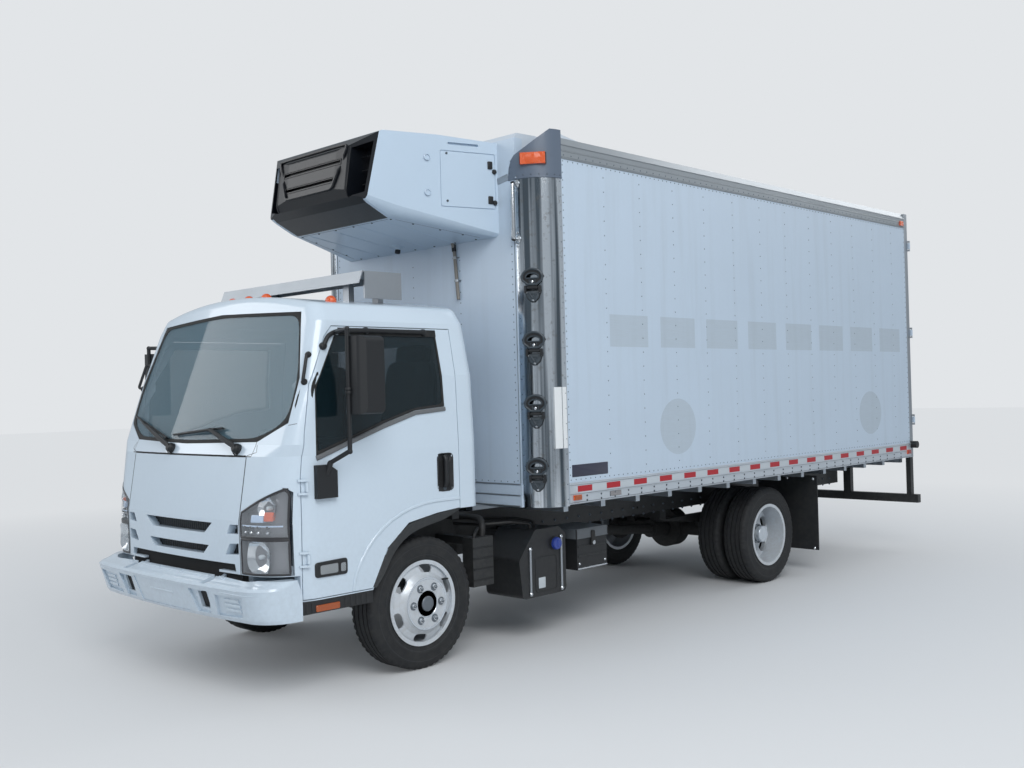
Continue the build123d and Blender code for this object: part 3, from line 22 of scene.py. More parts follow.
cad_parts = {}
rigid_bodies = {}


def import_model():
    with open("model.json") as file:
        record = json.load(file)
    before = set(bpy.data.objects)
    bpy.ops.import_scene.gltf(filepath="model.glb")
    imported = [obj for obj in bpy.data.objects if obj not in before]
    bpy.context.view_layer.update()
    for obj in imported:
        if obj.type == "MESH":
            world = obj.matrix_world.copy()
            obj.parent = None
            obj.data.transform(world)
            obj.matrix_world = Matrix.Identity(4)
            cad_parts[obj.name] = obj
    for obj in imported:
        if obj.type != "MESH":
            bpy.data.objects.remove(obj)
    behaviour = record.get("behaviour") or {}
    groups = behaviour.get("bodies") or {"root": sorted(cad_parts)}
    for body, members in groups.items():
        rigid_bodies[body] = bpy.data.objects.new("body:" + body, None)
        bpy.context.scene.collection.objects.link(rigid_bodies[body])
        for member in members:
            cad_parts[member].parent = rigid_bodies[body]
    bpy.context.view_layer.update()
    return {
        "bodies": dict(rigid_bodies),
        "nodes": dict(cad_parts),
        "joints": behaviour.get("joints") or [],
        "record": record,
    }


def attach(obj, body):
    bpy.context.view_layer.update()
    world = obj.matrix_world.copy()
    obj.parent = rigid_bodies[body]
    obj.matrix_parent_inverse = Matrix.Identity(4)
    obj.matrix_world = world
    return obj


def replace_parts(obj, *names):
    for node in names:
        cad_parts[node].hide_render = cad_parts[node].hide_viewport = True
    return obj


LOG = logging.getLogger("truck")

# Metres in a millimetre, and how far behind the front axle the origin lies, in millimetres
MM = 0.001
MIDWAY = 2541.5

Pair = tuple[float, float]
Triple = tuple[float, float, float]
Colour = Triple
Outline = Sequence[Pair]
Place = tuple[Vector, Vector]

UP = Vector((0.0, 0.0, 1.0))
AHEAD = Vector((0.0, -1.0, 0.0))
BACK = Vector((0.0, 1.0, 0.0))

# Where the outer parts of the truck stand, in millimetres
HUB_HEIGHT = 405.5
REAR_AXLE = 3810.0
POST_MIDDLE = (1000.0, 1060.0)


def at(x: float, s: float, z: float) -> Vector:
    """Point in metres from millimetres across, behind the front axle and up."""
    return Vector((x * MM, (s - MIDWAY) * MM, z * MM))


def rgb(red: int, green: int, blue: int) -> Colour:
    """Linear colour from the 0 to 255 values that a screen shows."""

    def linear(value: int) -> float:
        """One channel, undone from the screen curve."""
        v = value / 255.0
        return v / 12.92 if v <= 0.04045 else ((v + 0.055) / 1.055) ** 2.4

    return (linear(red), linear(green), linear(blue))


class Side(Enum):
    """Which side of the truck a piece is on."""

    LEFT = 1
    RIGHT = -1

    @property
    def word(self) -> str:
        """The side's name in lower case, as node names end."""
        return self.name.lower()

    @property
    def out(self) -> Vector:
        """Direction away from the truck on this side."""
        return Vector((self.value, 0.0, 0.0))


class Axis(Enum):
    """Direction that a look-up ray follows."""

    X = (1.0, 0.0, 0.0)
    Y = (0.0, 1.0, 0.0)


# Shader maths


class Term:
    """A shader value that can stand in a Python expression."""

    def __init__(self, graph: "Graph", socket: bpy.types.NodeSocket) -> None:
        """Wrap one output socket of a graph."""
        self.graph = graph
        self.socket = socket

    def __add__(self, other: "Value") -> "Term":
        """Sum."""
        return self.graph.math("ADD", self, other)

    __radd__ = __add__

    def __mul__(self, other: "Value") -> "Term":
        """Product."""
        return self.graph.math("MULTIPLY", self, other)

    __rmul__ = __mul__

    def __sub__(self, other: "Value") -> "Term":
        """Difference."""
        return self.graph.math("SUBTRACT", self, other)

    def __rsub__(self, other: "Value") -> "Term":
        """Difference the other way round."""
        return self.graph.math("SUBTRACT", other, self)

    def __truediv__(self, other: "Value") -> "Term":
        """Quotient."""
        return self.graph.math("DIVIDE", self, other)

    def __abs__(self) -> "Term":
        """Size without sign."""
        return self.graph.math("ABSOLUTE", self)

    def __mod__(self, other: "Value") -> "Term":
        """Distance past the last whole multiple."""
        return self.graph.math("FLOORED_MODULO", self, other)

    def most(self, other: "Value") -> "Term":
        """The larger of two values."""
        return self.graph.math("MAXIMUM", self, other)

    def rise(self, edge: float, soft: float = 0.0006) -> "Term":
        """Mask that turns on where the value passes an edge.

        Args:
            edge: Value at which the mask is half on.
            soft: Width over which it turns on.

        Returns:
            Mask from 0 to 1.
        """
        return self.graph.math("MULTIPLY_ADD", self, 1.0 / soft, 0.5 - edge / soft, clamp=True)

    def band(self, low: float, high: float, soft: float = 0.0006) -> "Term":
        """Mask that is on between two limits."""
        middle, half = (low + high) / 2, (high - low) / 2
        return 1.0 - abs(self - middle).rise(half, soft)


Value = Union[Term, int, float]


def any_of(masks: Sequence[Term]) -> Term:
    """Mask that is on wherever one of several is."""
    return reduce(Term.most, masks)


class Graph:
    """Node tree of one finish, built from expressions."""

    def __init__(self, name: str) -> None:
        """Start a material with only its output.

        Args:
            name: Plain name of the finish.
        """
        self.material = bpy.data.materials.new(name)
        self.material.use_nodes = True
        self.tree = self.material.node_tree
        self.tree.nodes.clear()
        self.output = self.tree.nodes.new("ShaderNodeOutputMaterial")
        self._place: Optional[bpy.types.NodeSocket] = None
        self._axes: Optional[tuple[Term, Term, Term]] = None

    def node(
        self, kind: str, settings: Optional[dict] = None, sockets: Optional[dict] = None
    ) -> bpy.types.Node:
        """Add a node, set it up and feed it.

        Args:
            kind: Node type.
            settings: Attributes of the node, such as its operation.
            sockets: Values or links by socket name or index.

        Returns:
            The new node.
        """
        made = self.tree.nodes.new(kind)
        for key, value in (settings or {}).items():
            setattr(made, key, value)
        for key, value in (sockets or {}).items():
            self.feed(made.inputs[key], value)
        return made

    def feed(self, target: bpy.types.NodeSocket, value: object) -> None:
        """Link or set one input."""
        if isinstance(value, Term):
            self.tree.links.new(value.socket, target)
        elif isinstance(value, bpy.types.NodeSocket):
            self.tree.links.new(value, target)
        elif isinstance(value, (tuple, list, Vector)) and len(value) == 3 and target.type == "RGBA":
            target.default_value = (*value, 1.0)
        else:
            target.default_value = value

    def math(self, operation: str, *values: Value, clamp: bool = False) -> Term:
        """One Math node on values or numbers."""
        made = self.node(
            "ShaderNodeMath", {"operation": operation, "use_clamp": clamp}, dict(enumerate(values))
        )
        return Term(self, made.outputs[0])

    @property
    def place(self) -> bpy.types.NodeSocket:
        """Object coordinates, in metres."""
        if self._place is None:
            self._place = self.node("ShaderNodeTexCoord").outputs["Object"]
        return self._place

    @property
    def axes(self) -> tuple[Term, Term, Term]:
        """Object coordinates as three values."""
        if self._axes is None:
            parts = self.node("ShaderNodeSeparateXYZ", None, {0: self.place})
            self._axes = tuple(Term(self, parts.outputs[i]) for i in range(3))
        return self._axes

    def scaled(self, stretch: Triple) -> bpy.types.NodeSocket:
        """Object coordinates stretched along each axis."""
        return self.node(
            "ShaderNodeVectorMath", {"operation": "MULTIPLY"}, {0: self.place, 1: Vector(stretch)}
        ).outputs[0]

    def noise(
        self, scale: float, detail: float = 3.0, rough: float = 0.55, stretch: Triple = (1, 1, 1)
    ) -> Term:
        """Cloudy noise from 0 to 1.

        Args:
            scale: Features for each metre.
            detail: Octaves.
            rough: Strength of the finer octaves.
            stretch: Factor on each axis.

        Returns:
            The noise value.
        """
        vector = self.place if stretch == (1, 1, 1) else self.scaled(stretch)
        made = self.node(
            "ShaderNodeTexNoise", None,
            {"Vector": vector, "Scale": scale, "Detail": detail, "Roughness": rough}
        )
        return Term(self, made.outputs[0])

    def mix(self, factor: Value, first: object, second: object) -> bpy.types.NodeSocket:
        """Colour mixed from one to the other by a factor."""
        made = self.node("ShaderNodeMix", {"data_type": "RGBA"}, {0: factor, 6: first, 7: second})
        return made.outputs[2]

    def bump(
        self, height: Value, distance: float, strength: float = 1.0, under: object = None
    ) -> bpy.types.NodeSocket:
        """Normal from a height, laid over another normal if given."""
        sockets = {"Height": height, "Distance": distance, "Strength": strength}
        if under is not None:
            sockets["Normal"] = under
        return self.node("ShaderNodeBump", None, sockets).outputs[0]

    def surface(self, **sockets: object) -> bpy.types.Material:
        """Close the graph with a Principled surface.

        Args:
            sockets: Inputs by name, with an underscore for each space.

        Returns:
            The finished material.
        """
        named = {key.replace("_", " "): value for key, value in sockets.items()}
        shader = self.node("ShaderNodeBsdfPrincipled", None, named)
        self.tree.links.new(shader.outputs[0], self.output.inputs[0])
        return self.material


# Finishes


@dataclass(frozen=True)
class Gloss:
    """Painted or moulded surface with faint mottling, dust low down and a fine skin.

    Attributes:
        name: Plain name.
        colour: Clean colour.
        rough: Roughness where clean.
        coat: Weight of the clear layer.
        dirt: How much road dust settles low down.
        grain: Height of the fine skin, in metres.
        grain_scale: Grains for each metre.
        metal: Metallic share.
        variation: Depth of the cloudy mottling.
        dust: Colour of the dust.
    """

    name: str
    colour: Colour
    rough: float = 0.35
    coat: float = 0.0
    dirt: float = 0.25
    grain: float = 0.00002
    grain_scale: float = 420.0
    metal: float = 0.0
    variation: float = 0.06
    dust: Colour = rgb(104, 103, 100)

    def shade(self, graph: Graph) -> tuple[object, Term, Term]:
        """Colour, roughness and dust mask, before marks of its own."""
        _, _, z = graph.axes
        clouds = graph.noise(1.7, 4.0)
        fine = graph.noise(38.0, 5.0, 0.62)
        dark = tuple(c * (1.0 - self.variation) for c in self.colour)
        tone = graph.mix(clouds, dark, self.colour)
        dust = ((1.0 - z.rise(0.75, 0.9)) * 0.75 + 0.12) * (fine * 1.5 - 0.25) * self.dirt
        dust = dust.most(0.0)
        rough = fine * 0.10 + (self.rough - 0.05) + dust * 0.35
        return graph.mix(dust, tone, self.dust), rough, dust

    def build(self) -> bpy.types.Material:
        """Make the material."""
        graph = Graph(self.name)
        tone, rough, _ = self.shade(graph)
        return self.close(graph, tone, rough, 0.06)

    def close(self, graph: Graph, tone: object, rough: Value, coat_rough: float) -> bpy.types.Material:
        """Add the fine skin and the clear layer, and close the graph."""
        skin = graph.bump(graph.noise(self.grain_scale, 2.0), self.grain, 0.6)
        return graph.surface(
            Base_Color=tone, Roughness=rough, Metallic=self.metal, Coat_Weight=self.coat,
            Coat_Roughness=coat_rough, Normal=skin,
        )


@dataclass(frozen=True)
class SeamedPaint(Gloss):
    """Cab paint with the panel lines drawn as fine dark grooves.

    Attributes:
        seams: Boxes in millimetres, as (x limits, s limits, z limits); x limits hold for both sides.
    """

    seams: tuple[tuple[Pair, Pair, Pair], ...] = ()

    def build(self) -> bpy.types.Material:
        """Make the material."""
        graph = Graph(self.name)
        tone, rough, _ = self.shade(graph)
        x, y, z = graph.axes
        soft = 1.2 * MM
        grooves = []
        for xs, ss, zs in self.seams:
            here = abs(x).band(xs[0] * MM, xs[1] * MM, soft) * z.band(zs[0] * MM, zs[1] * MM, soft)
            grooves.append(here * y.band((ss[0] - MIDWAY) * MM, (ss[1] - MIDWAY) * MM, soft))
        tone = graph.mix(any_of(grooves) * 0.85, tone, rgb(40, 46, 54))
        return self.close(graph, tone, rough, 0.05)


@dataclass(frozen=True)
class Brushed:
    """Bare metal with fine lines along one axis.

    Attributes:
        name: Plain name.
        colour: Metal colour.
        rough: Mean roughness.
        stretch: Factor on each axis; the small one is along the lines.
        stain: Depth of the darker stains.
        metal: Metallic share.
    """

    name: str
    colour: Colour
    rough: float = 0.34
    stretch: Triple = (1.0, 0.03, 1.0)
    stain: float = 0.25
    metal: float = 0.85

    def shade(self, graph: Graph) -> tuple[object, Term]:
        """Colour and roughness before marks of its own."""
        lines = graph.noise(260.0, 3.0, 0.6, self.stretch)
        stains = graph.noise(3.2, 5.0, 0.6)
        dark = tuple(c * (1.0 - self.stain) for c in self.colour)
        tone = graph.mix(stains * 0.6 + lines * 0.4, dark, self.colour)
        return tone, lines * 0.16 + (self.rough - 0.08)

    def build(self) -> bpy.types.Material:
        """Make the material."""
        graph = Graph(self.name)
        tone, rough = self.shade(graph)
        normal = graph.bump(graph.noise(260.0, 3.0, 0.6, self.stretch), 0.00004, 0.5)
        return graph.surface(Base_Color=tone, Roughness=rough, Metallic=self.metal, Normal=normal)


@dataclass(frozen=True)
class RailMetal(Brushed):
    """Side rail extrusion with painted shade in its grooves, and the red and white reflective strip.

    Attributes:
        strip: Heights of the strip's lower and upper edge, in millimetres.
        first: Where the first red block starts.
        pitch: Distance between red blocks.
        length: Length of a red block.
        last: Where the strip ends.
        grooves: Heights of the extrusion's grooves.
        head: Height over which the greyer head rail lies.
    """

    strip: Pair = (1003.0, 1043.0)
    first: float = 1180.0
    pitch: float = 300.0
    length: float = 150.0
    last: float = 6180.0
    grooves: tuple[float, ...] = (934.0, 990.0, 1052.0, 3247.0, 3292.0, 3328.0)
    head: float = 3200.0

    def build(self) -> bpy.types.Material:
        """Make the material."""
        graph = Graph(self.name)
        tone, rough = self.shade(graph)
        _, y, z = graph.axes
        along = y + (MIDWAY - self.first) * MM
        low, high = (height * MM for height in self.strip)
        on_strip = z.band(low, high) * along.band(-0.03, (self.last - self.first) * MM)
        red = on_strip * (1.0 - (along % (self.pitch * MM)).rise(self.length * MM, 0.001))
        hatch = graph.noise(900.0, 1.0)
        tone = graph.mix(on_strip * 0.9, tone, rgb(186, 194, 200))
        tone = graph.mix(red, tone, graph.mix(hatch, rgb(150, 22, 34), rgb(186, 34, 46)))
        # Painted shade: the extrusion's grooves are darkened.
        groove = any_of([z.band((height - 1.6) * MM, (height + 1.6) * MM, 0.0015) for height in self.grooves])
        tone = graph.mix(groove * 0.6, tone, rgb(58, 64, 70))
        # Greyer above the head height.
        above_head = z.rise(self.head * MM, 0.004)
        tone = graph.mix(above_head * 0.55, tone, rgb(92, 98, 100))
        normal = graph.bump(1.0 - groove, 0.002, 0.7)
        metal = self.metal - on_strip * self.metal * 0.9
        return graph.surface(Base_Color=tone, Roughness=rough, Metallic=metal, Normal=normal)


@dataclass(frozen=True)
class Panel(Gloss):
    """Load-box skin with faded patches, sheet joints and soft buckling.

    Attributes:
        patches: Left edges of the faded rectangles, in millimetres behind the front axle.
        patch_width: Their width.
        patch_height: Heights of their lower and upper edge.
        ovals: Faded ellipses as (place, height, width, tall).
    """

    patches: tuple[float, ...] = (1529.0, 2117.0, 2709.0, 3304.0, 3896.0, 4472.0, 5057.0, 5650.0)
    patch_width: float = 435.0
    patch_height: Pair = (1984.0, 2210.0)
    ovals: tuple[tuple[float, float, float, float], ...] = (
        (2307.0, 1396.0, 450.0, 415.0), (5417.0, 1400.0, 445.0, 405.0),
    )

    def build(self) -> bpy.types.Material:
        """Make the material."""
        graph = Graph(self.name)
        tone, rough, _ = self.shade(graph)
        x, y, z = graph.axes
        on_side = abs(x).rise(1.2, 0.002)
        high = z.band(self.patch_height[0] * MM, self.patch_height[1] * MM, 0.004)
        marks = [
            y.band((start - MIDWAY) * MM, (start + self.patch_width - MIDWAY) * MM, 0.004) * high
            for start in self.patches
        ]
        for place, height, width, tall in self.ovals:
            across = (y - (place - MIDWAY) * MM) / (width * MM / 2)
            up = (z - height * MM) / (tall * MM / 2)
            marks.append(1.0 - (across * across + up * up).rise(1.0, 0.03))
        weave = graph.noise(180.0, 2.0, 0.5, (1.0, 0.05, 1.0))
        faded = any_of(marks) * on_side * (weave * 0.5 + 0.55)
        tone = graph.mix(faded * 0.42, tone, rgb(150, 158, 160))
        streaks = graph.noise(9.0, 4.0, 0.6, (1.0, 1.0, 0.06))
        tone = graph.mix(streaks.rise(0.62, 0.25) * 0.12, tone, rgb(140, 148, 152))
        buckle = graph.noise(1.1, 2.0, 0.4, (1.0, 1.0, 0.6))
        normal = graph.bump(buckle, 0.018, 0.35)
        normal = graph.bump(graph.noise(90.0, 3.0), 0.00003, 0.4, normal)
        return graph.surface(
            Base_Color=tone, Roughness=rough + faded * 0.2, Coat_Weight=0.15, Coat_Roughness=0.2,
            Normal=normal
        )


@dataclass(frozen=True)
class Polished:
    """Mirror-polished steel with painted reflections as upright light and dark bands.

    Attributes:
        name: Plain name.
        light: Colour of the bright bands of painted reflection.
        dark: Colour of the dull bands of painted reflection.
        rough: Mean roughness.
    """

    name: str
    light: Colour = rgb(214, 220, 226)
    dark: Colour = rgb(96, 106, 114)
    rough: float = 0.10

    def build(self) -> bpy.types.Material:
        """Make the material."""
        graph = Graph(self.name)
        reflection_bands = graph.noise(17.0, 2.0, 0.5, (1.0, 1.0, 0.02))
        fine = graph.noise(150.0, 3.0, 0.5, (1.0, 1.0, 0.012))
        marks = graph.noise(24.0, 5.0, 0.7)
        # Painted reflection: light and dark upright bands stand in for the surroundings mirrored in the post.
        tone = graph.mix(reflection_bands.rise(0.49, 0.16), self.dark, self.light)
        tone = graph.mix(marks.rise(0.60, 0.1) * 0.35, tone, rgb(122, 116, 106))
        normal = graph.bump(reflection_bands * 0.8 + fine * 0.2, 0.004, 0.35)
        return graph.surface(
            Base_Color=tone, Roughness=marks * 0.12 + (self.rough - 0.05), Metallic=1.0, Normal=normal
        )


@dataclass(frozen=True)
class Pane:
    """Tinted glass that lets the inside show.

    Attributes:
        name: Plain name.
        tint: Colour of the glass.
        alpha: Share that isn't seen through.
    """

    name: str
    tint: Colour
    alpha: float

    def build(self) -> bpy.types.Material:
        """Make the material."""
        graph = Graph(self.name)
        smear = graph.noise(4.0, 3.0, 0.5, (1.0, 1.0, 0.3))
        tone = graph.mix(smear, tuple(c * 0.9 for c in self.tint), self.tint)
        material = graph.surface(
            Base_Color=tone, Roughness=smear * 0.03 + 0.01, IOR=1.5, Alpha=smear * 0.06 + (self.alpha - 0.03)
        )
        material.surface_render_method = "BLENDED"
        return material


@dataclass(frozen=True)
class Lens(Pane):
    """Moulded lamp lens with fine ribs.

    Attributes:
        ribs: Ribs for each metre.
        glow: How strongly the colour lights up by itself.
    """

    ribs: float = 160.0
    glow: float = 0.0

    def build(self) -> bpy.types.Material:
        """Make the material."""
        graph = Graph(self.name)
        x, y, z = graph.axes
        turns = self.ribs * math.tau
        wave = graph.math("SINE", (x + y) * turns) * graph.math("SINE", z * turns)
        deep = tuple(c * 0.55 for c in self.tint)
        tone = graph.mix(wave * 0.5 + 0.5, deep, self.tint)
        normal = graph.bump(wave, 0.0012, 0.5)
        return graph.surface(
            Base_Color=tone, Roughness=0.12, Coat_Weight=0.6, Coat_Roughness=0.03, Alpha=self.alpha,
            Normal=normal, Emission_Color=self.tint, Emission_Strength=self.glow
        )


@dataclass(frozen=True)
class Rubber:
    """Tyre and seal rubber, dusty in its lows.

    Attributes:
        name: Plain name.
        colour: Rubber colour.
        rings: Whether fine rings run round the wheel.
        centre: Wheel centre behind the front axle and up, in millimetres, where rings run.
        wall: Radii between which the fine rings run, in metres.
        pitch: Distance between the fine rings.
        ridges: Inner and outer radius of each raised ridge.
    """

    name: str
    colour: Colour = rgb(26, 28, 30)
    rings: bool = False
    centre: Pair = (0.0, HUB_HEIGHT)
    wall: Pair = (0.275, 0.372)
    pitch: float = 0.0042
    ridges: tuple[Pair, Pair] = ((0.291, 0.2945), (0.352, 0.355))

    def build(self) -> bpy.types.Material:
        """Make the material."""
        graph = Graph(self.name)
        _, y, z = graph.axes
        dusty = graph.noise(22.0, 5.0, 0.65)
        height: Value = graph.noise(700.0, 2.0)
        tone = graph.mix(dusty.rise(0.55, 0.3) * 0.14, self.colour, rgb(92, 90, 86))
        if self.rings:
            dy = y - (self.centre[0] - MIDWAY) * MM
            dz = z - self.centre[1] * MM
            radius = graph.math("SQRT", dy * dy + dz * dz)
            fine = graph.math("SINE", radius * (math.tau / self.pitch))
            wall = radius.band(*self.wall, 0.01)
            height = height * 0.25 + fine * wall * 0.35
            ridge = any_of([radius.band(*limits, 0.001) for limits in self.ridges])
            height = height + ridge * 2.0
            tone = graph.mix(ridge * 0.25, tone, rgb(70, 74, 78))
        normal = graph.bump(height, 0.0009, 0.6)
        return graph.surface(Base_Color=tone, Roughness=dusty * 0.2 + 0.62, Normal=normal)


@dataclass(frozen=True)
class Cloth:
    """Woven seat cloth.

    Attributes:
        name: Plain name.
        colour: Yarn colour.
    """

    name: str
    colour: Colour

    def build(self) -> bpy.types.Material:
        """Make the material."""
        graph = Graph(self.name)
        x, y, z = graph.axes
        count = 420.0 * math.tau
        warp = graph.math("SINE", (x + y * 0.3) * count) * graph.math("SINE", (y * 0.7 + z) * count)
        tone = graph.mix(
            warp * 0.5 + 0.5, tuple(c * 0.6 for c in self.colour), tuple(c * 1.3 for c in self.colour)
        )
        return graph.surface(
            Base_Color=tone, Roughness=0.9, Sheen_Weight=0.3, Normal=graph.bump(warp, 0.0006, 0.7)
        )


@dataclass(frozen=True)
class Floor:
    """Pale studio floor that takes on the colour of the surroundings where the camera sees it far off.

    Attributes:
        name: Plain name.
        colour: Floor colour.
        sky: Colour of the surroundings, which the floor takes on far off.
        fade: Distance where that change starts, and how long it takes.
    """

    name: str = "studio_floor"
    colour: Colour = rgb(214, 216, 218)
    sky: Colour = rgb(215, 218, 221)
    fade: Pair = (6.5, 9.0)

    def build(self) -> bpy.types.Material:
        """Make the material."""
        graph = Graph(self.name)
        x, y, _ = graph.axes
        reach = graph.math("SQRT", x * x + y * y)
        seen = Term(graph, graph.node("ShaderNodeLightPath").outputs["Is Camera Ray"])
        far = reach.rise(*self.fade) * seen
        return graph.surface(
            Base_Color=graph.mix(far, self.colour, (0.0, 0.0, 0.0)), Roughness=far * 0.3 + 0.7,
            Emission_Color=graph.mix(far, (0.0, 0.0, 0.0), self.sky), Emission_Strength=1.0,
        )


class Finishes:
    """Every finish by name, made once when it is first asked for."""

    WHITE = rgb(202, 217, 230)

    def __init__(self) -> None:
        """Lay out the recipes."""
        self._made: dict[str, bpy.types.Material] = {}
        seams = (
            ((655.0, 663.0), (-1400.0, -900.0), (700.0, 1361.0)),
            ((0.0, 700.0), (-1400.0, -900.0), (1357.0, 1364.0)),
            ((700.0, 705.0), (-1400.0, -900.0), (1361.0, 1440.0)),
        )
        recipes = (
            SeamedPaint("cab_paint", self.WHITE, 0.30, 0.7, 0.22, seams=seams),
            Gloss("plain_paint", self.WHITE, 0.30, 0.7, 0.30),
            Panel("box_skin", rgb(190, 206, 222), 0.42, 0.0, 0.25),
            Gloss("roof_skin", rgb(196, 206, 216), 0.45, 0.0, 0.2),
            Gloss("unit_white", rgb(186, 204, 221), 0.34, 0.35, 0.15, 0.00006),
            Gloss("unit_black", rgb(7, 11, 18), 0.34, 0.0, 0.03, 0.00004, 300.0, dust=rgb(50, 54, 58)),
            Gloss("cap_plastic", rgb(92, 104, 120), 0.42, 0.2, 0.12, 0.00005),
            Gloss("black_plastic", rgb(20, 23, 27), 0.52, 0.0, 0.18, 0.0001, 700.0),
            # Near-black: painted shade in the bumper's hook recesses and filler, the door handle recesses and
            # the unit's flank holes; own colour of the cab seams, the front hub recesses and the dial faces.
            Gloss("dark_recess", rgb(9, 11, 14), 0.75, 0.0, 0.10, 0.0001),
            Gloss("interior_plastic", rgb(70, 76, 82), 0.62, 0.0, 0.05, 0.00015, 800.0),
            Gloss("chassis_paint", rgb(22, 25, 28), 0.5, 0.1, 0.35, 0.0001),
            Gloss("cast_parts", rgb(28, 30, 32), 0.7, 0.0, 0.45, 0.0006, 260.0),
            Gloss(
                "wheel_paint", rgb(206, 214, 222), 0.32, 0.3, 0.45, 0.00004, 300.0, 0.25,
                dust=rgb(150, 138, 120)
            ),
            Gloss("tank_plastic", rgb(19, 22, 26), 0.42, 0.0, 0.22, 0.0001, 600.0),
            Gloss("grey_pipe", rgb(128, 124, 118), 0.6, 0.0, 0.3),
            Gloss("lamp_bezel", rgb(118, 118, 124), 0.35, 0.4, 0.1, metal=0.35),
            Gloss("blank_plate", rgb(196, 204, 210), 0.45, 0.0, 0.2),
            Gloss("blue_cap", rgb(36, 62, 150), 0.35, 0.3, 0.15),
            Gloss("seam_grey", rgb(120, 132, 144), 0.5, 0.0, 0.2),
            Gloss("rivet_grey", rgb(92, 106, 118), 0.45, 0.0, 0.2, metal=0.4),
            Gloss("step_black", rgb(52, 62, 70), 0.45, 0.1, 0.2, 0.0001, 500.0),
            Gloss("grille_rib", rgb(58, 64, 70), 0.5, 0.1, 0.1),
            Gloss("sticker_navy", rgb(44, 46, 66), 0.4, 0.2, 0.05),
            Gloss("paper_white", rgb(222, 226, 228), 0.55, 0.0, 0.0),
            Gloss("washer_grey", rgb(120, 128, 136), 0.4, 0.0, 0.3, metal=0.7),
            Gloss("wheel_bright", rgb(206, 214, 222), 0.22, 0.2, 0.2, metal=0.5),
            Gloss("lid_grey", rgb(92, 98, 104), 0.5, 0.0, 0.4),
            Gloss("hose_rubber", rgb(14, 15, 17), 0.6, 0.0, 0.3),
            Gloss("interior_trim", rgb(52, 56, 60), 0.6, 0.0, 0.05, 0.00012, 700.0),
            Gloss("seat_piping", rgb(42, 46, 50), 0.85, 0.0, 0.0),
            Gloss("lamp_trim", rgb(44, 44, 48), 0.4, 0.3, 0.1),
            Gloss("clear_block", rgb(186, 206, 232), 0.12, 0.8, 0.0),
            Gloss("belt_grey", rgb(104, 107, 110), 0.45, 0.1, 0.1),
            Gloss("arch_rubber", rgb(30, 34, 38), 0.55, 0.05, 0.5, 0.0002, 500.0),
            Gloss("mirror_glass", rgb(150, 160, 170), 0.03, 0.0, 0.0, metal=1.0),
            Lens("corner_glass", rgb(150, 156, 160), 1.0, 70.0),
            Brushed("box_aluminium", rgb(196, 204, 212)),
            RailMetal(
                "rail_aluminium", rgb(204, 212, 220), metal=0.45, first=1136.0, pitch=304.8, length=150.0
            ),
            Brushed("galvanised", rgb(176, 182, 188), 0.38, (1.0, 1.0, 0.03)),
            Brushed("kick_steel", rgb(86, 96, 106), 0.30, (0.03, 1.0, 1.0), 0.35, 0.7),
            Brushed("tread_plate", rgb(178, 184, 190), 0.42, (1.0, 1.0, 1.0), 0.35, 0.8),
            Brushed("bright_steel", rgb(208, 212, 216), 0.2, (1.0, 1.0, 1.0), 0.15, 1.0),
            Brushed("fastener", rgb(92, 100, 108), 0.4, (1.0, 1.0, 1.0), 0.3, 0.8),
            Brushed("reflector", rgb(224, 228, 232), 0.10, (1.0, 1.0, 1.0), 0.12, 1.0),
            Polished("post_steel"),
            # Tinted glass; its milky teal colour and opacity partly stand in for a painted sky reflection.
            Pane("screen_glass", rgb(104, 134, 148), 0.46),
            Pane("side_glass", rgb(20, 36, 42), 0.62),
            Pane("clear_lens", rgb(214, 222, 228), 0.20),
            Lens("amber_lens", rgb(232, 92, 24), 1.0, glow=0.08),
            Lens("amber_marker", rgb(178, 84, 26), 1.0, glow=0.02),
            Lens("red_lens", rgb(176, 20, 24), 1.0),
            Lens("grey_reflector", rgb(150, 148, 150), 1.0, 240.0),
            Rubber("flap_rubber", rgb(26, 29, 32)),
            Rubber("seal_rubber", rgb(20, 22, 24)),
            Rubber("front_tyre_rubber", rgb(24, 26, 29), True),
            Rubber("rear_tyre_rubber", rgb(24, 26, 29), True, (REAR_AXLE, HUB_HEIGHT)),
            Cloth("seat_cloth", rgb(70, 76, 82)),
            Floor()
        )
        self._recipes = {recipe.name: recipe for recipe in recipes}

    def __getitem__(self, name: str) -> bpy.types.Material:
        """The finish of that name."""
        if name not in self._made:
            self._made[name] = self._recipes[name].build()
        return self._made[name]


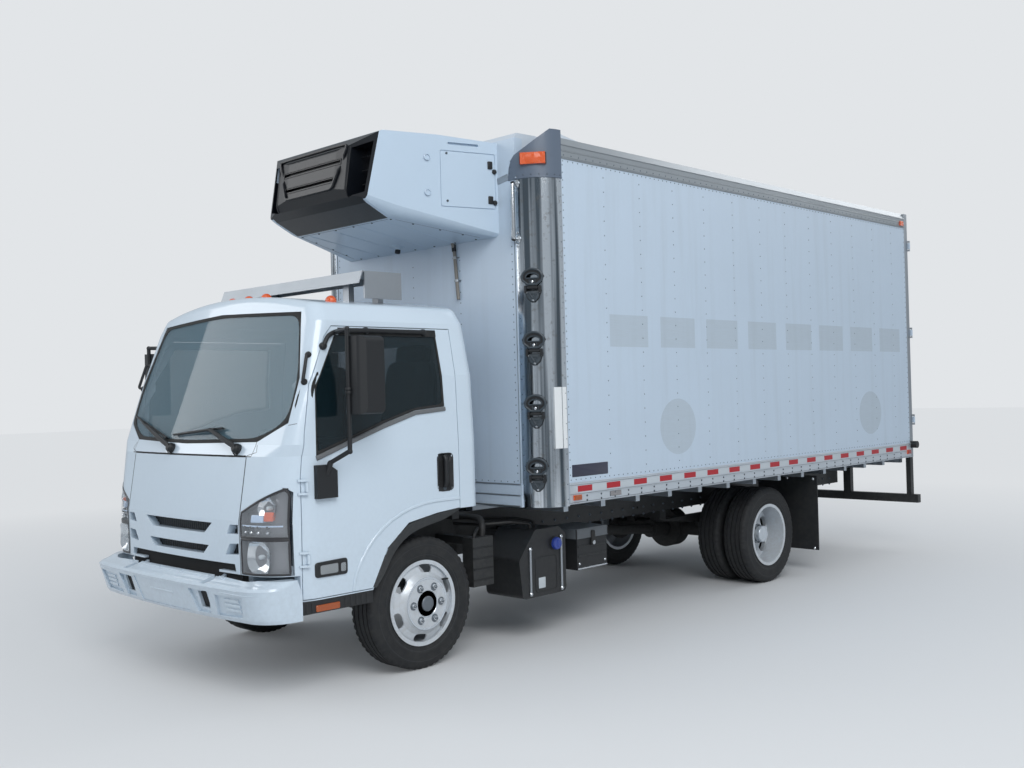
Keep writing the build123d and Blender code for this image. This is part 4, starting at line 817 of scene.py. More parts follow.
@dataclass
class Dressing:
    """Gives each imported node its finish.

    Attributes:
        finishes: The finishes to choose from.
        table: Finish name for each node, or for the stem of a left and right pair.
    """

    finishes: Finishes
    table: dict[str, str] = field(
        default_factory=lambda: {
            "cab_shell": "cab_paint", "front_panel": "cab_paint", "door": "cab_paint",
            "front_bumper": "plain_paint", "headlamps": "lamp_bezel", "grille": "black_plastic",
            "windscreen": "screen_glass", "door_glass": "side_glass", "dashboard": "interior_plastic",
            "steering_wheel": "interior_plastic", "seats": "seat_cloth", "roof_walkway": "tread_plate",
            "roof_lamps": "amber_lens", "wipers": "black_plastic", "cab_steps": "black_plastic",
            "mirror": "black_plastic", "knuckle": "cast_parts", "tie_rod": "cast_parts",
            "front_tyre": "front_tyre_rubber", "rear_tyres": "rear_tyre_rubber", "front_rim": "wheel_paint",
            "rear_rims": "wheel_paint", "ladder_frame": "chassis_paint", "front_axle": "cast_parts",
            "rear_axle": "cast_parts", "engine_block": "cast_parts", "fluid_tank": "tank_plastic",
            "battery_box": "black_plastic", "fuel_tank": "chassis_paint", "exhaust_canister": "galvanised",
            "mud_flaps": "flap_rubber", "rear_guard": "chassis_paint", "box_floor": "box_aluminium",
            "box_front_wall": "box_skin", "box_side_walls": "box_skin", "box_rails": "rail_aluminium",
            "box_roof": "roof_skin", "corner_posts": "post_steel", "corner_caps": "cap_plastic",
            "box_lamps": "amber_lens", "rear_frame": "galvanised", "rear_door": "box_skin",
            "evaporator": "unit_white", "unit_housing": "unit_white", "unit_grille": "unit_black",
            "drain_pipe": "grey_pipe", "step_brackets": "black_plastic", "folding_step": "black_plastic"
        }
    )

    def stem(self, node: str) -> str:
        """Name without its side or number."""
        if node in self.table:
            return node
        return node.rsplit("_", 1)[0]

    def apply(self, nodes: dict[str, bpy.types.Object]) -> None:
        """Put the finish on every node.

        Args:
            nodes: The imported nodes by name.
        """
        for name, node in nodes.items():
            finish = self.table[self.stem(name)]
            node.data.materials.clear()
            node.data.materials.append(self.finishes[finish])
            LOG.info("node %s wears %s", name, finish)


# Forms


def placed(name: str, data: bpy.types.ID) -> bpy.types.Object:
    """New object in the scene, from its mesh, lamp or camera."""
    item = bpy.data.objects.new(name, data)
    bpy.context.scene.collection.objects.link(item)
    return item


class Form:
    """Mesh of one fitting, in the truck's frame, with a finish for each face."""

    def __init__(self, name: str, finishes: Finishes) -> None:
        """Start an empty form.

        Args:
            name: Plain name of the fitting.
            finishes: The finishes to choose from.
        """
        self.name = name
        self.finishes = finishes
        self.mesh = bmesh.new()
        self.order: list[str] = []

    def index(self, finish: str) -> int:
        """Material index of a finish in this form."""
        if finish not in self.order:
            self.order.append(finish)
        return self.order.index(finish)

    def face(self, corners: Sequence[bmesh.types.BMVert], finish: str) -> Optional[bmesh.types.BMFace]:
        """One face, left out where two corners fall together."""
        kept = [v for i, v in enumerate(corners) if v is not corners[i - 1]]
        if len(kept) < 3:
            return None
        made = self.mesh.faces.new(kept)
        made.material_index = self.index(finish)
        made.smooth = True
        return made

    def loops(
        self, rings: Sequence[Sequence[Vector]], finish: str, closed: bool = True, caps: bool = True
    ) -> None:
        """Skin over a row of rings of points.

        Args:
            rings: Rings with the same number of points.
            finish: Finish of the skin.
            closed: Whether each ring closes on itself.
            caps: Whether the first and last ring are filled.
        """
        rows = [[self.mesh.verts.new(p) for p in ring] for ring in rings]
        count = len(rows[0])
        for a, b in zip(rows, rows[1:]):
            for i in range(count if closed else count - 1):
                j = (i + 1) % count
                self.face((a[i], a[j], b[j], b[i]), finish)
        if caps and closed:
            self.face(rows[0][::-1], finish)
            self.face(rows[-1], finish)

    def turned(
        self, profile: Outline, centre: Vector, along: Vector, finish: str, count: int = 32
    ) -> None:
        """Turned form.

        Args:
            profile: Pairs of radius and distance along the axis, in millimetres.
            centre: Zero of the axis, in metres.
            along: Direction of the axis.
            finish: Finish of the skin.
            count: Points round each ring.
        """
        axis = along.normalized()
        side = axis.orthogonal().normalized()
        other = axis.cross(side)
        rings = []
        for radius, reach in profile:
            ring = []
            for i in range(count):
                turn = math.tau * i / count
                arm = side * math.cos(turn) + other * math.sin(turn)
                ring.append(centre + axis * (reach * MM) + arm * (max(radius, 0.01) * MM))
            rings.append(ring)
        self.loops(rings, finish)

    def button(
        self, radius: float, side: Pair, top: Pair, centre: Vector, along: Vector, finish: str, count: int
    ) -> None:
        """Turned head with a straight side and a flat top.

        Args:
            radius: Radius of the side, in millimetres.
            side: Where the side starts and ends along the axis.
            top: Radius and place of the top.
            centre: Zero of the axis, in metres.
            along: Direction of the axis.
            finish: Finish of the head.
            count: Points round the head.
        """
        profile = ((radius, side[0]), (radius, side[1]), top, (0.2, top[1]))
        self.turned(profile, centre, along, finish, count)

    def bar(
        self, points: Sequence[Vector], radius: float, finish: str, count: int = 12, round_off: bool = True
    ) -> None:
        """Round bar along a run of points, with eased bends.

        Args:
            points: Corners of the run, in metres.
            radius: Radius in millimetres.
            finish: Finish of the bar.
            count: Points round the bar.
            round_off: Whether inner corners are eased.
        """
        run = self.eased(points, radius * 2.2 * MM) if round_off and len(points) > 2 else list(points)
        turns = [math.tau * k / count for k in range(count)]
        side: Optional[Vector] = None
        rings = []
        for i, p in enumerate(run):
            ahead = (run[min(i + 1, len(run) - 1)] - run[max(i - 1, 0)]).normalized()
            side = (ahead.orthogonal() if side is None else side - ahead * side.dot(ahead)).normalized()
            other = ahead.cross(side)
            rings.append([p + (side * math.cos(a) + other * math.sin(a)) * radius * MM for a in turns])
        self.loops(rings, finish)

    @staticmethod
    def eased(points: Sequence[Vector], reach: float) -> list[Vector]:
        """Run of points with each inner corner turned into a short curve."""
        out = [points[0]]
        for before, here, after in zip(points, points[1:], points[2:]):
            room = min((before - here).length, (after - here).length) * 0.45
            step = min(reach, room)
            a = here + (before - here).normalized() * step
            b = here + (after - here).normalized() * step
            for k in range(5):
                t = k / 4
                out.append(a * (1 - t) ** 2 + here * (2 * t * (1 - t)) + b * t ** 2)
        out.append(points[-1])
        return out

    def slab(
        self, outline: Sequence[Vector], push: Vector, finish: str, soft: float, rows: int = 2
    ) -> None:
        """Plate from an outline and a thickness, its front edge rounded.

        Args:
            outline: Corners of the back face, in order.
            push: From the back face to the front face.
            finish: Finish of the plate.
            soft: How far the front edge is rounded, in millimetres.
            rows: Steps of the rounding.
        """
        middle = sum(outline, Vector()) / len(outline)
        rings = [list(outline)]
        depth, out = push.length, push.normalized()
        ease = min(soft * MM, depth)
        for k in range(rows + 1):
            turn = math.pi / 2 * k / rows
            inward = ease * (1 - math.cos(turn))
            height = depth - ease * (1 - math.sin(turn))
            ring = []
            for p in outline:
                away = p - middle
                away -= out * away.dot(out)
                ring.append(p - away.normalized() * min(inward, away.length * 0.5) + out * height)
            rings.append(ring)
        self.loops(rings, finish)

    def mirror(self) -> "Form":
        """Add the same again on the other side of the truck."""
        made = bmesh.ops.duplicate(self.mesh, geom=list(self.mesh.verts) + list(self.mesh.faces))
        verts = [g for g in made["geom"] if isinstance(g, bmesh.types.BMVert)]
        bmesh.ops.scale(self.mesh, vec=(-1.0, 1.0, 1.0), verts=verts)
        return self

    def to_data(self) -> bpy.types.Mesh:
        """Hand the form over as mesh data."""
        data = bpy.data.meshes.new(self.name)
        self.mesh.to_mesh(data)
        self.mesh.free()
        return data

    def finish(self, body: str, slot: str, smooth: float = 35.0) -> bpy.types.Object:
        """Turn the form into a piece that rides on a body.

        Args:
            body: Body that carries it.
            slot: The record's material slot; not used.
            smooth: Edges sharper than this stay crisp, in degrees.

        Returns:
            The new piece.
        """
        bmesh.ops.recalc_face_normals(self.mesh, faces=self.mesh.faces)
        limit = math.radians(smooth)
        for edge in self.mesh.edges:
            edge.smooth = not (edge.is_manifold and edge.calc_face_angle(0.0) > limit)
        data = self.to_data()
        for name in self.order:
            data.materials.append(self.finishes[name])
        item = placed(self.name, data)
        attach(item, body)
        LOG.info("%s: %d faces on %s", self.name, len(data.polygons), body)
        return item


class Skin:
    """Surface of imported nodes, for laying thin things on it."""

    def __init__(self, nodes: dict[str, bpy.types.Object], *names: str) -> None:
        """Collect the triangles of the named nodes.

        Args:
            nodes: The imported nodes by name.
            names: Which of them make up the surface.
        """
        gathered = bmesh.new()
        for name in names:
            gathered.from_mesh(nodes[name].data)
        self.tree = BVHTree.FromBMesh(gathered)
        gathered.free()

    def hit(self, start: Vector, aim: Vector) -> Place:
        """Place and outward direction where a ray first meets the surface.

        Args:
            start: Where the ray begins, in metres.
            aim: Its direction.

        Returns:
            The place and the normal; the start and the reverse of the aim where nothing is met.
        """
        place, normal, _, _ = self.tree.ray_cast(start, aim.normalized())
        if place is None:
            return start.copy(), -aim.normalized()
        return place, normal if normal.dot(aim) < 0 else -normal

    def front(self, x: float, z: float) -> Place:
        """Where the surface is met from straight ahead, at millimetres across and up."""
        return self.hit(at(x, -1600.0, z), BACK)

    def flank(self, s: float, z: float, side: Side = Side.LEFT) -> Place:
        """Where the surface is met from the side, at millimetres along and up."""
        return self.hit(at(side.value * 1700.0, s, z), Vector((-side.value, 0, 0)))

    def above(self, x: float, s: float) -> Place:
        """Where the surface is met from above."""
        return self.hit(at(x, s, 4200.0), Vector((0, 0, -1)))


def spread(points: Sequence[Sequence[float]], step: float, closed: bool = False) -> list[tuple[float, ...]]:
    """Points along straight runs, no further apart than a step.

    Args:
        points: Corners, in any number of dimensions.
        step: Largest distance between neighbours.
        closed: Whether the last run goes back to the first corner.

    Returns:
        The denser run.
    """
    out: list[tuple[float, ...]] = []
    ends = list(points[1:]) + ([points[0]] if closed else [])
    for a, b in zip(points, ends):
        count = max(1, math.ceil(math.dist(a, b) / step))
        for k in range(count):
            t = k / count
            out.append(tuple(p + (q - p) * t for p, q in zip(a, b)))
    if not closed:
        out.append(tuple(points[-1]))
    return out


def rounded(points: Outline, radius: float, steps: int = 4) -> list[Pair]:
    """Closed flat outline with its corners rounded.

    Args:
        points: Corners in order.
        radius: How far from each corner the curve starts.
        steps: Points on each curve, less one.

    Returns:
        The rounded outline.
    """
    out: list[Pair] = []
    for i, here in enumerate(points):
        before, after = Vector(points[i - 1]), Vector(points[(i + 1) % len(points)])
        corner = Vector(here)
        reach = min(radius, (before - corner).length * 0.48, (after - corner).length * 0.48)
        a = corner + (before - corner).normalized() * reach
        b = corner + (after - corner).normalized() * reach
        for k in range(steps + 1):
            t = k / steps
            p = a * (1 - t) ** 2 + corner * (2 * t * (1 - t)) + b * t ** 2
            out.append((p[0], p[1]))
    return out


def oblong(u0: float, u1: float, v0: float, v1: float, radius: float) -> list[Pair]:
    """Rectangle between two limits each way, its corners rounded."""
    return rounded(((u0, v0), (u1, v0), (u1, v1), (u0, v1)), radius)


def along_edge(
    find: Callable[[float, float], Place], outline: Outline, inset: float, view: Axis
) -> list[Place]:
    """Places on the rim of a surface, found a little inside it so that no ray falls into the gap beside it.

    Args:
        find: Finds the surface from two flat coordinates.
        outline: Closed outline of the rim.
        inset: How far inside the surface is looked up, in millimetres.
        view: Direction of the look-up rays.

    Returns:
        Places with their outward directions.
    """
    middle = (sum(p[0] for p in outline) / len(outline), sum(p[1] for p in outline) / len(outline))
    sight = Vector(view.value)
    run = []
    for i, (u, v) in enumerate(outline):
        ahead = Vector(outline[(i + 1) % len(outline)]) - Vector(outline[i - 1])
        inward = Vector((-ahead[1], ahead[0])).normalized()
        if inward.dot(Vector((middle[0] - u, middle[1] - v))) < 0:
            inward = -inward
        place, out = find(u + inward[0] * inset, v + inward[1] * inset)
        u_back, v_back = -inward[0], -inward[1]
        back = Vector((0.0, u_back, v_back) if view is Axis.X else (u_back, 0.0, v_back)) * inset * MM
        run.append((place + back - sight * (out.dot(back) / out.dot(sight)), out))
    return run


def strip(
    form: Form, run: Sequence[Place], width: float, height: float, finish: str, closed: bool = False,
    sink: float = 2.0,
) -> None:
    """Low crowned strip laid along a surface.

    Args:
        form: Form to add to.
        run: Places on the surface with their outward directions.
        width: Width in millimetres.
        height: Height in millimetres.
        finish: Finish of the strip.
        closed: Whether the run closes.
        sink: How deep the strip's edges sit in the surface.
    """
    half, rise, low = width / 2 * MM, height * MM, sink * MM
    count = len(run)
    rings = []
    for i, (place, out) in enumerate(run):
        before = run[i - 1][0] if closed or i else place
        after = run[(i + 1) % count][0] if closed or i < count - 1 else place
        ahead = (after - before).normalized()
        across = ahead.cross(out).normalized()
        rings.append([
            place - across * half - out * low, place - across * half * 0.92 + out * rise * 0.6,
            place - across * half * 0.55 + out * rise, place + across * half * 0.55 + out * rise,
            place + across * half * 0.92 + out * rise * 0.6, place + across * half - out * low,
        ])
    if closed:
        form.loops(rings + [rings[0]], finish, caps=False)
        bmesh.ops.remove_doubles(form.mesh, verts=form.mesh.verts, dist=0.00001)
    else:
        form.loops(rings, finish)


def sheet_on(
    form: Form, skin: Callable[[float, float], Place], outline: Outline, height: float, finish: str,
    rim: Optional[str] = None, inset: float = 4.0, sink: float = 3.0, crown: float = 0.0
) -> None:
    """Thin plate that follows a surface inside an outline.

    Args:
        form: Form to add to.
        skin: Finds the surface from two flat coordinates.
        outline: Outline in those coordinates.
        height: How far the plate stands proud, in millimetres.
        finish: Finish of the plate.
        rim: Finish of its edge, if another.
        inset: Width of the rounded edge.
        sink: How deep the foot sits.
        crown: Extra height in the middle.
    """
    middle = (sum(p[0] for p in outline) / len(outline), sum(p[1] for p in outline) / len(outline))
    reach = max(math.dist(p, middle) for p in outline)

    def ring(share: float, drop: float) -> list[Vector]:
        """Outline shrunk towards its middle, at a height over the surface."""
        out = []
        for p in outline:
            place, away = skin(middle[0] + (p[0] - middle[0]) * share, middle[1] + (p[1] - middle[1]) * share)
            out.append(place + away * drop * MM)
        return out

    ease = 1.0 - inset / reach
    form.loops([ring(1.0, -sink), ring(1.0, height * 0.6), ring(ease, height)], rim or finish, caps=False)
    shares = (ease, ease * 0.66, ease * 0.33, 0.02)
    form.loops([ring(s, height + crown * (1 - s * s)) for s in shares], finish, caps=False)
    bmesh.ops.remove_doubles(form.mesh, verts=form.mesh.verts, dist=0.00001)


def instancer(paint: bpy.types.Material) -> bpy.types.NodeTree:
    """Node group that sets a painted copy on each point, turned to the point's facing."""
    tree = bpy.data.node_groups.new("repeat", "GeometryNodeTree")
    for name, way, kind in (
        ("Geometry", "INPUT", "Geometry"), ("Copy", "INPUT", "Object"), ("Geometry", "OUTPUT", "Geometry")
    ):
        tree.interface.new_socket(name, in_out=way, socket_type="NodeSocket" + kind)
    source, target, info, facing, turn, places, real, colour = (tree.nodes.new(kind) for kind in (
        "NodeGroupInput", "NodeGroupOutput", "GeometryNodeObjectInfo", "GeometryNodeInputNamedAttribute",
        "FunctionNodeAlignRotationToVector", "GeometryNodeInstanceOnPoints", "GeometryNodeRealizeInstances",
        "GeometryNodeSetMaterial",
    ))
    facing.data_type = "FLOAT_VECTOR"
    facing.inputs["Name"].default_value = "facing"
    turn.axis = "Z"
    colour.inputs["Material"].default_value = paint
    for start, output, end, entry in (
        (source, "Copy", info, "Object"), (source, "Geometry", places, "Points"),
        (info, "Geometry", places, "Instance"), (facing, "Attribute", turn, "Vector"),
        (turn, "Rotation", places, "Rotation"), (places, "Instances", real, "Geometry"),
        (real, "Geometry", colour, "Geometry"), (colour, "Geometry", target, "Geometry")
    ):
        tree.links.new(start.outputs[output], end.inputs[entry])
    return tree


# Sub-assemblies


@dataclass
class Assembly:
    """What every sub-assembly works with.

    Attributes:
        finishes: The finishes to choose from.
        nodes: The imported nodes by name.
    """

    finishes: Finishes
    nodes: dict[str, bpy.types.Object]

    def form(self, name: str) -> Form:
        """Start a form of that name."""
        return Form(name, self.finishes)

    def skin(self, *names: str) -> Skin:
        """Surface of the named nodes."""
        return Skin(self.nodes, *names)

    def repeat(
        self, name: str, profile: Outline, spots: Sequence[Place], finish: str, body: str, slot: str,
        count: int = 10
    ) -> bpy.types.Object:
        """Set a small turned form on every spot with Geometry Nodes, and keep the result as a plain mesh.

        Args:
            name: Plain name of the result.
            profile: Pairs of radius and height in millimetres.
            spots: Places and outward directions.
            finish: Finish of the copies.
            body: Body that carries them.
            slot: The record's material slot; not used.
            count: Points round each copy.

        Returns:
            The new piece.
        """
        one = self.form(name + "_one")
        one.turned(profile, Vector(), UP, finish, count)
        bmesh.ops.recalc_face_normals(one.mesh, faces=one.mesh.faces)
        seed = placed(one.name, one.to_data())
        points = bpy.data.meshes.new(name + "_points")
        points.from_pydata([p for p, _ in spots], [], [])
        facing = points.attributes.new("facing", "FLOAT_VECTOR", "POINT")
        facing.data.foreach_set("vector", [c for _, out in spots for c in out])
        carrier = placed(points.name, points)
        modifier = carrier.modifiers.new("repeat", "NODES")
        modifier.node_group = instancer(self.finishes[finish])
        for socket in modifier.node_group.interface.items_tree:
            if socket.name == "Copy":
                modifier[socket.identifier] = seed
        bpy.context.view_layer.update()
        baked = bpy.data.meshes.new_from_object(carrier.evaluated_get(bpy.context.evaluated_depsgraph_get()))
        baked.name = name
        for item in (carrier, seed):
            bpy.data.objects.remove(item, do_unlink=True)
        piece = placed(name, baked)
        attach(piece, body)
        LOG.info("%s: %d copies on %s", name, len(spots), body)
        return piece


def lifted(place: Place, height: float) -> Vector:
    """Point at a height in millimetres over a surface place."""
    return place[0] + place[1] * height * MM


def round_post(sign: int, turn: float, reach: float, z: float) -> Place:
    """Place and outward direction round a corner post.

    Args:
        sign: 1 for the left post, -1 for the right one.
        turn: Angle from straight ahead, in degrees.
        reach: Distance from the post's middle, in millimetres.
        z: Height in millimetres.

    Returns:
        The place and its outward direction.
    """
    a = math.radians(turn)
    facing = Vector((sign * math.sin(a), -math.cos(a), 0.0))
    return at(sign * POST_MIDDLE[0], POST_MIDDLE[1], z) + facing * (reach * MM), facing


def spoke(turn: float, radius: float) -> Vector:
    """Step from a wheel's middle, at an angle from straight up and a radius in millimetres."""
    return Vector((0.0, radius * MM * math.sin(turn), radius * MM * math.cos(turn)))


RIVET = ((4.6, -1.0), (4.4, 0.9), (3.0, 2.0), (0.2, 2.4))
SCREW = ((7.5, -1.0), (7.5, 2.0), (6.0, 3.4), (3.0, 3.6), (2.8, 2.2), (0.2, 2.2))
BOLT = ((11.0, -1.0), (11.0, 2.0), (8.5, 2.2), (8.5, 8.0), (7.0, 9.5), (0.2, 9.5))


@dataclass
class CabFront(Assembly):
    """Windscreen seal, seams, wipers, headlamps, pillar grips and bumper details.

    Attributes:
        screen_edge: Corners of the windscreen, across and up.
        seal_width: Width of the black windscreen seal.
        lamp_inner: Inner limit of the headlamp across.
        lamp_edge: Outer limit across.
        lamp_low: Foot of the headlamp.
        lamp_split: Height of the line between its two halves.
        lamp_high: Head of the headlamp.
        lamp_depth: Depth of the panel behind its lens.
    """

    screen_edge: tuple[Pair, ...] = (
        (-705.0, 1440.0), (0.0, 1425.0), (705.0, 1440.0), (920.0, 1545.0), (918.0, 1796.0), (790.0, 2180.0),
        (0.0, 2212.0), (-790.0, 2180.0), (-918.0, 1796.0), (-920.0, 1545.0),
    )
    seal_width: float = 46.0
    lamp_inner: float = 674.0
    lamp_edge: float = 950.0
    lamp_low: float = 712.0
    lamp_split: float = 908.0
    lamp_high: float = 1186.0
    lamp_depth: float = 46.0

    def seal(self) -> None:
        """Black seal along the edge of the windscreen."""
        skin = self.skin("windscreen")
        outline = spread(rounded(self.screen_edge, 100.0), 30.0, closed=True)
        form = self.form("windscreen_seal")
        run = along_edge(skin.front, outline, 14.0, Axis.Y)
        strip(form, run, self.seal_width, 5.0, "seal_rubber", closed=True)
        form.finish("cab", "black_plastic")

    def seams(self) -> None:
        """Dark line over the bonnet and the fine seams that run from it."""
        skin = self.skin("cab_shell", "front_panel", "headlamps")
        form = self.form("cab_seams")
        wide = [skin.front(x, z) for x, z in spread(((-652.0, 1361.0), (652.0, 1361.0)), 40.0)]
        strip(form, wide, 11.0, 0.8, "dark_recess")
        for side in (1, -1):
            rise = spread(((side * 652.0, 1362.0), (side * 733.0, 1384.0), (side * 714.0, 1424.0)), 20.0)
            strip(form, [skin.front(x, z) for x, z in rise], 3.4, 0.5, "dark_recess")
            drop = spread(((side * 660.0, 1354.0), (side * 660.0, 1062.0)), 30.0)
            strip(form, [skin.front(x, z) for x, z in drop], 3.4, 0.5, "dark_recess")
            pillar = spread(((-938.0, 1533.0), (-922.0, 1538.0), (-908.0, 1541.0)), 8.0)
            strip(form, [skin.flank(s, z, Side(side)) for s, z in pillar], 3.0, 0.5, "dark_recess")
        form.finish("cab", "black_plastic")

    def wiper(
        self, form: Form, skin: Skin, pivot: Pair, joint: Pair, blade: tuple[Pair, Pair]
    ) -> None:
        """One wiper: pivot cap with its hose loop, arm, yoke and blade.

        Args:
            form: Form to add to.
            skin: Windscreen and cab surface.
            pivot: Pivot across and up.
            joint: Where the arm meets the blade.
            blade: Ends of the blade.
        """
        base, out = skin.front(*pivot)
        cap = ((30, -12), (31, 6), (29, 20), (26, 30), (20, 37), (8, 40), (0.2, 40))
        form.turned(cap, base, out, "black_plastic", 28)
        start = base + out * 0.030
        mid = skin.front(pivot[0] * 0.62 + joint[0] * 0.38, pivot[1] * 0.62 + joint[1] * 0.38)
        end = lifted(skin.front(*joint), 34.0)
        for offset, radius in ((0.0, 11.0), (0.010, 9.0)):
            shift = Vector((offset, 0.0, offset))
            arm = [start + shift, lifted(mid, 42.0) + shift, end + shift * 0.3]
            form.bar(arm, radius, "black_plastic", 10)
        ends = [lifted(skin.front(*p), 20.0) for p in blade]
        yoke = [ends[0].lerp(ends[1], t) for t in (0.16, 0.5, 0.84)]
        ahead = (ends[1] - ends[0]).normalized()
        form.bar([yoke[0], end - ahead * 0.06, end + ahead * 0.06, yoke[2]], 7.0, "black_plastic", 8)
        form.bar(ends, 6.5, "black_plastic", 8, round_off=False)
        rubber = []
        for t in (0.0, 0.25, 0.5, 0.75, 1.0):
            place = skin.front(*(a + (b - a) * t for a, b in zip(*blade)))
            low, high = lifted(place, 1.0), lifted(place, 20.0)
            rubber.append([low, high, high + Vector((0, 0, 0.005)), low + Vector((0, 0, 0.003))])
        form.loops(rubber, "seal_rubber")
        turns = [i * math.pi / 8 - math.pi * 0.75 for i in range(13)]
        loop = [Vector((math.sin(a) * 0.036, 0.0, -math.cos(a) * 0.034 - 0.006)) for a in turns]
        form.bar([base + out * 0.02 + step for step in loop], 2.6, "black_plastic", 8, round_off=False)

    def wipers(self) -> None:
        """Both wipers, parked low on the windscreen."""
        skin = self.skin("windscreen", "cab_shell", "front_panel")
        form = self.form("windscreen_wipers")
        self.wiper(form, skin, (560.0, 1398.0), (262.0, 1500.0), ((-165.0, 1470.0), (372.0, 1512.0)))
        self.wiper(form, skin, (-150.0, 1394.0), (-560.0, 1517.0), ((-850.0, 1583.0), (-248.0, 1452.0)))
        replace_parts(form.finish("cab", "black_plastic"), "wipers")

    def lamp_limits(self, z: float) -> Pair:
        """Limits of a headlamp across at a height."""
        inner = self.lamp_inner + max(0.0, z - 1050.0) * 2.0
        return inner, self.lamp_edge - max(0.0, z - 1160.0) * 0.9

    def lamp_outline(self, low: float, high: float) -> list[Pair]:
        """Closed outline of a stretch of the headlamp, across and up."""
        steps = [low + (high - low) * k / 12 for k in range(13)]
        inner = [(self.lamp_limits(z)[0], z) for z in steps]
        outer = [(self.lamp_limits(z)[1], z) for z in reversed(steps)]
        return inner + outer

    def lamp_grid(self, form: Form, skin: Skin, low: float, high: float, depth: float, finish: str) -> None:
        """Sheet behind or over the face of a headlamp.

        Args:
            form: Form to add to.
            skin: Headlamp surface.
            low: Lower limit.
            high: Upper limit.
            depth: How deep it lies, in millimetres.
            finish: Finish of the sheet.
        """
        rows = []
        for k in range(17):
            z = low + (high - low) * k / 16
            inner, outer = self.lamp_limits(z)
            row = []
            for i in range(19):
                t = i / 18
                place, out = skin.front(inner + (outer - inner) * (1 - (1 - t) ** 1.3), z)
                row.append(place - out * depth * MM)
            rows.append(row)
        form.loops(rows, finish, closed=False)

    def bowl(self, form: Form, skin: Skin, centre: Pair, size: Pair, square: float) -> None:
        """Faceted reflector bowl with its bulb, behind the lens.

        Args:
            form: Form to add to.
            skin: Headlamp surface.
            centre: Centre across and up.
            size: Half width and half height.
            square: How square the rim is, 1 for round.
        """
        place, out = skin.front(*centre)
        out = (out + Vector((0.0, -1.2, 0.0))).normalized()
        side = out.cross(UP).normalized() * -1.0
        up = side.cross(out) * -1.0
        rings = []
        for share, depth in ((1.0, 12.0), (0.86, 30.0), (0.62, 44.0), (0.34, 52.0), (0.12, 54.0)):
            ring = []
            for i in range(40):
                turn = math.tau * i / 40
                c, s = math.cos(turn), math.sin(turn)
                u = math.copysign(abs(c) ** square, c) * size[0] * share
                v = math.copysign(abs(s) ** square, s) * size[1] * share
                facet = 3.0 * math.sin(5 * turn + share * 7)
                ring.append(place + (side * u + up * v - out * (depth + facet * share)) * MM)
            rings.append(ring)
        form.loops(rings, "reflector", caps=False)
        form.face([form.mesh.verts.new(p) for p in rings[-1]], "reflector")
        form.turned(((12, -54), (13, -30), (11, -20), (5, -15), (0.2, -14)), place, out, "blank_plate", 20)

    def headlamps(self) -> None:
        """Both headlamps with their bezels, bowls, marker strip and lenses."""
        skin = self.skin("headlamps", "cab_shell")
        form = self.form("headlamp_units")
        halves = ((self.lamp_low, self.lamp_split), (self.lamp_split, self.lamp_high))
        panels = ((self.lamp_low, self.lamp_split - 6.0), (self.lamp_split + 6.0, self.lamp_high))
        for low, high in panels:
            self.lamp_grid(form, skin, low, high, self.lamp_depth, "lamp_bezel")
        for low, high in panels:
            ring = self.lamp_outline(low, high)
            rims = [[lifted(skin.front(x, z), h) for x, z in ring] for h in (0.5, -self.lamp_depth)]
            form.loops(rims, "lamp_bezel", caps=False)
            frame = spread(ring, 30.0, closed=True)
            strip(form, [skin.front(x, z) for x, z in frame], 13.0, 3.0, "lamp_trim", closed=True)
        self.bowl(form, skin, (850.0, 1078.0), (66.0, 66.0), 1.0)
        self.bowl(form, skin, (800.0, 806.0), (92.0, 92.0), 0.62)
        # Clear block with its amber neighbour, and the bright line with its studs
        for x0, x1, z0, z1, finish in (
            (752.0, 838.0, 1000.0, 1042.0, "clear_block"), (842.0, 892.0, 1008.0, 1058.0, "amber_lens"),
        ):
            rings = []
            for depth, ease in ((40.0, 0.0), (10.0, 0.0), (8.0, 4.0)):
                face = oblong(x0 + ease, x1 - ease, z0 + ease, z1 - ease, 8.0)
                rings.append([lifted(skin.front(x, z), -depth) for x, z in face])
            form.loops(rings, finish)
        line = [skin.front(x, 979.0) for x in (684.0, 720.0, 760.0, 800.0, 840.0, 880.0, 915.0, 932.0)]
        strip(form, [(lifted(p, -8.0), p[1]) for p in line], 9.0, 3.0, "clear_block")
        for x in (705.0, 755.0, 806.0, 862.0):
            for z, finish in ((973.0, "lamp_trim"), (943.0, "reflector")):
                place, out = skin.front(x, z)
                form.turned(((9, -30), (9, -8), (6, -4), (0.2, -3)), place, out, finish, 14)
        for low, high in halves:
            self.lamp_grid(form, skin, low, high, 0.0, "clear_lens")
        form.mirror()
        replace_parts(form.finish("cab", "lamp_clear", 28.0), "headlamps")

    def grips(self) -> None:
        """Black grips on the windscreen pillars."""
        form = self.form("pillar_grips")
        out = Vector((0.58, -0.76, 0.28))
        top, foot = at(926.0, -796.0, 1925.0), at(949.0, -843.0, 1772.0)
        grip = [top - out * 0.004, top + out * 0.026, foot + out * 0.026, foot - out * 0.004]
        form.bar(grip, 9.5, "black_plastic", 14)
        for place in (top, foot):
            form.turned(((19, -6), (19, 3), (14, 8), (0.2, 9)), place, out, "black_plastic", 20)
        form.mirror().finish("cab", "black_plastic")

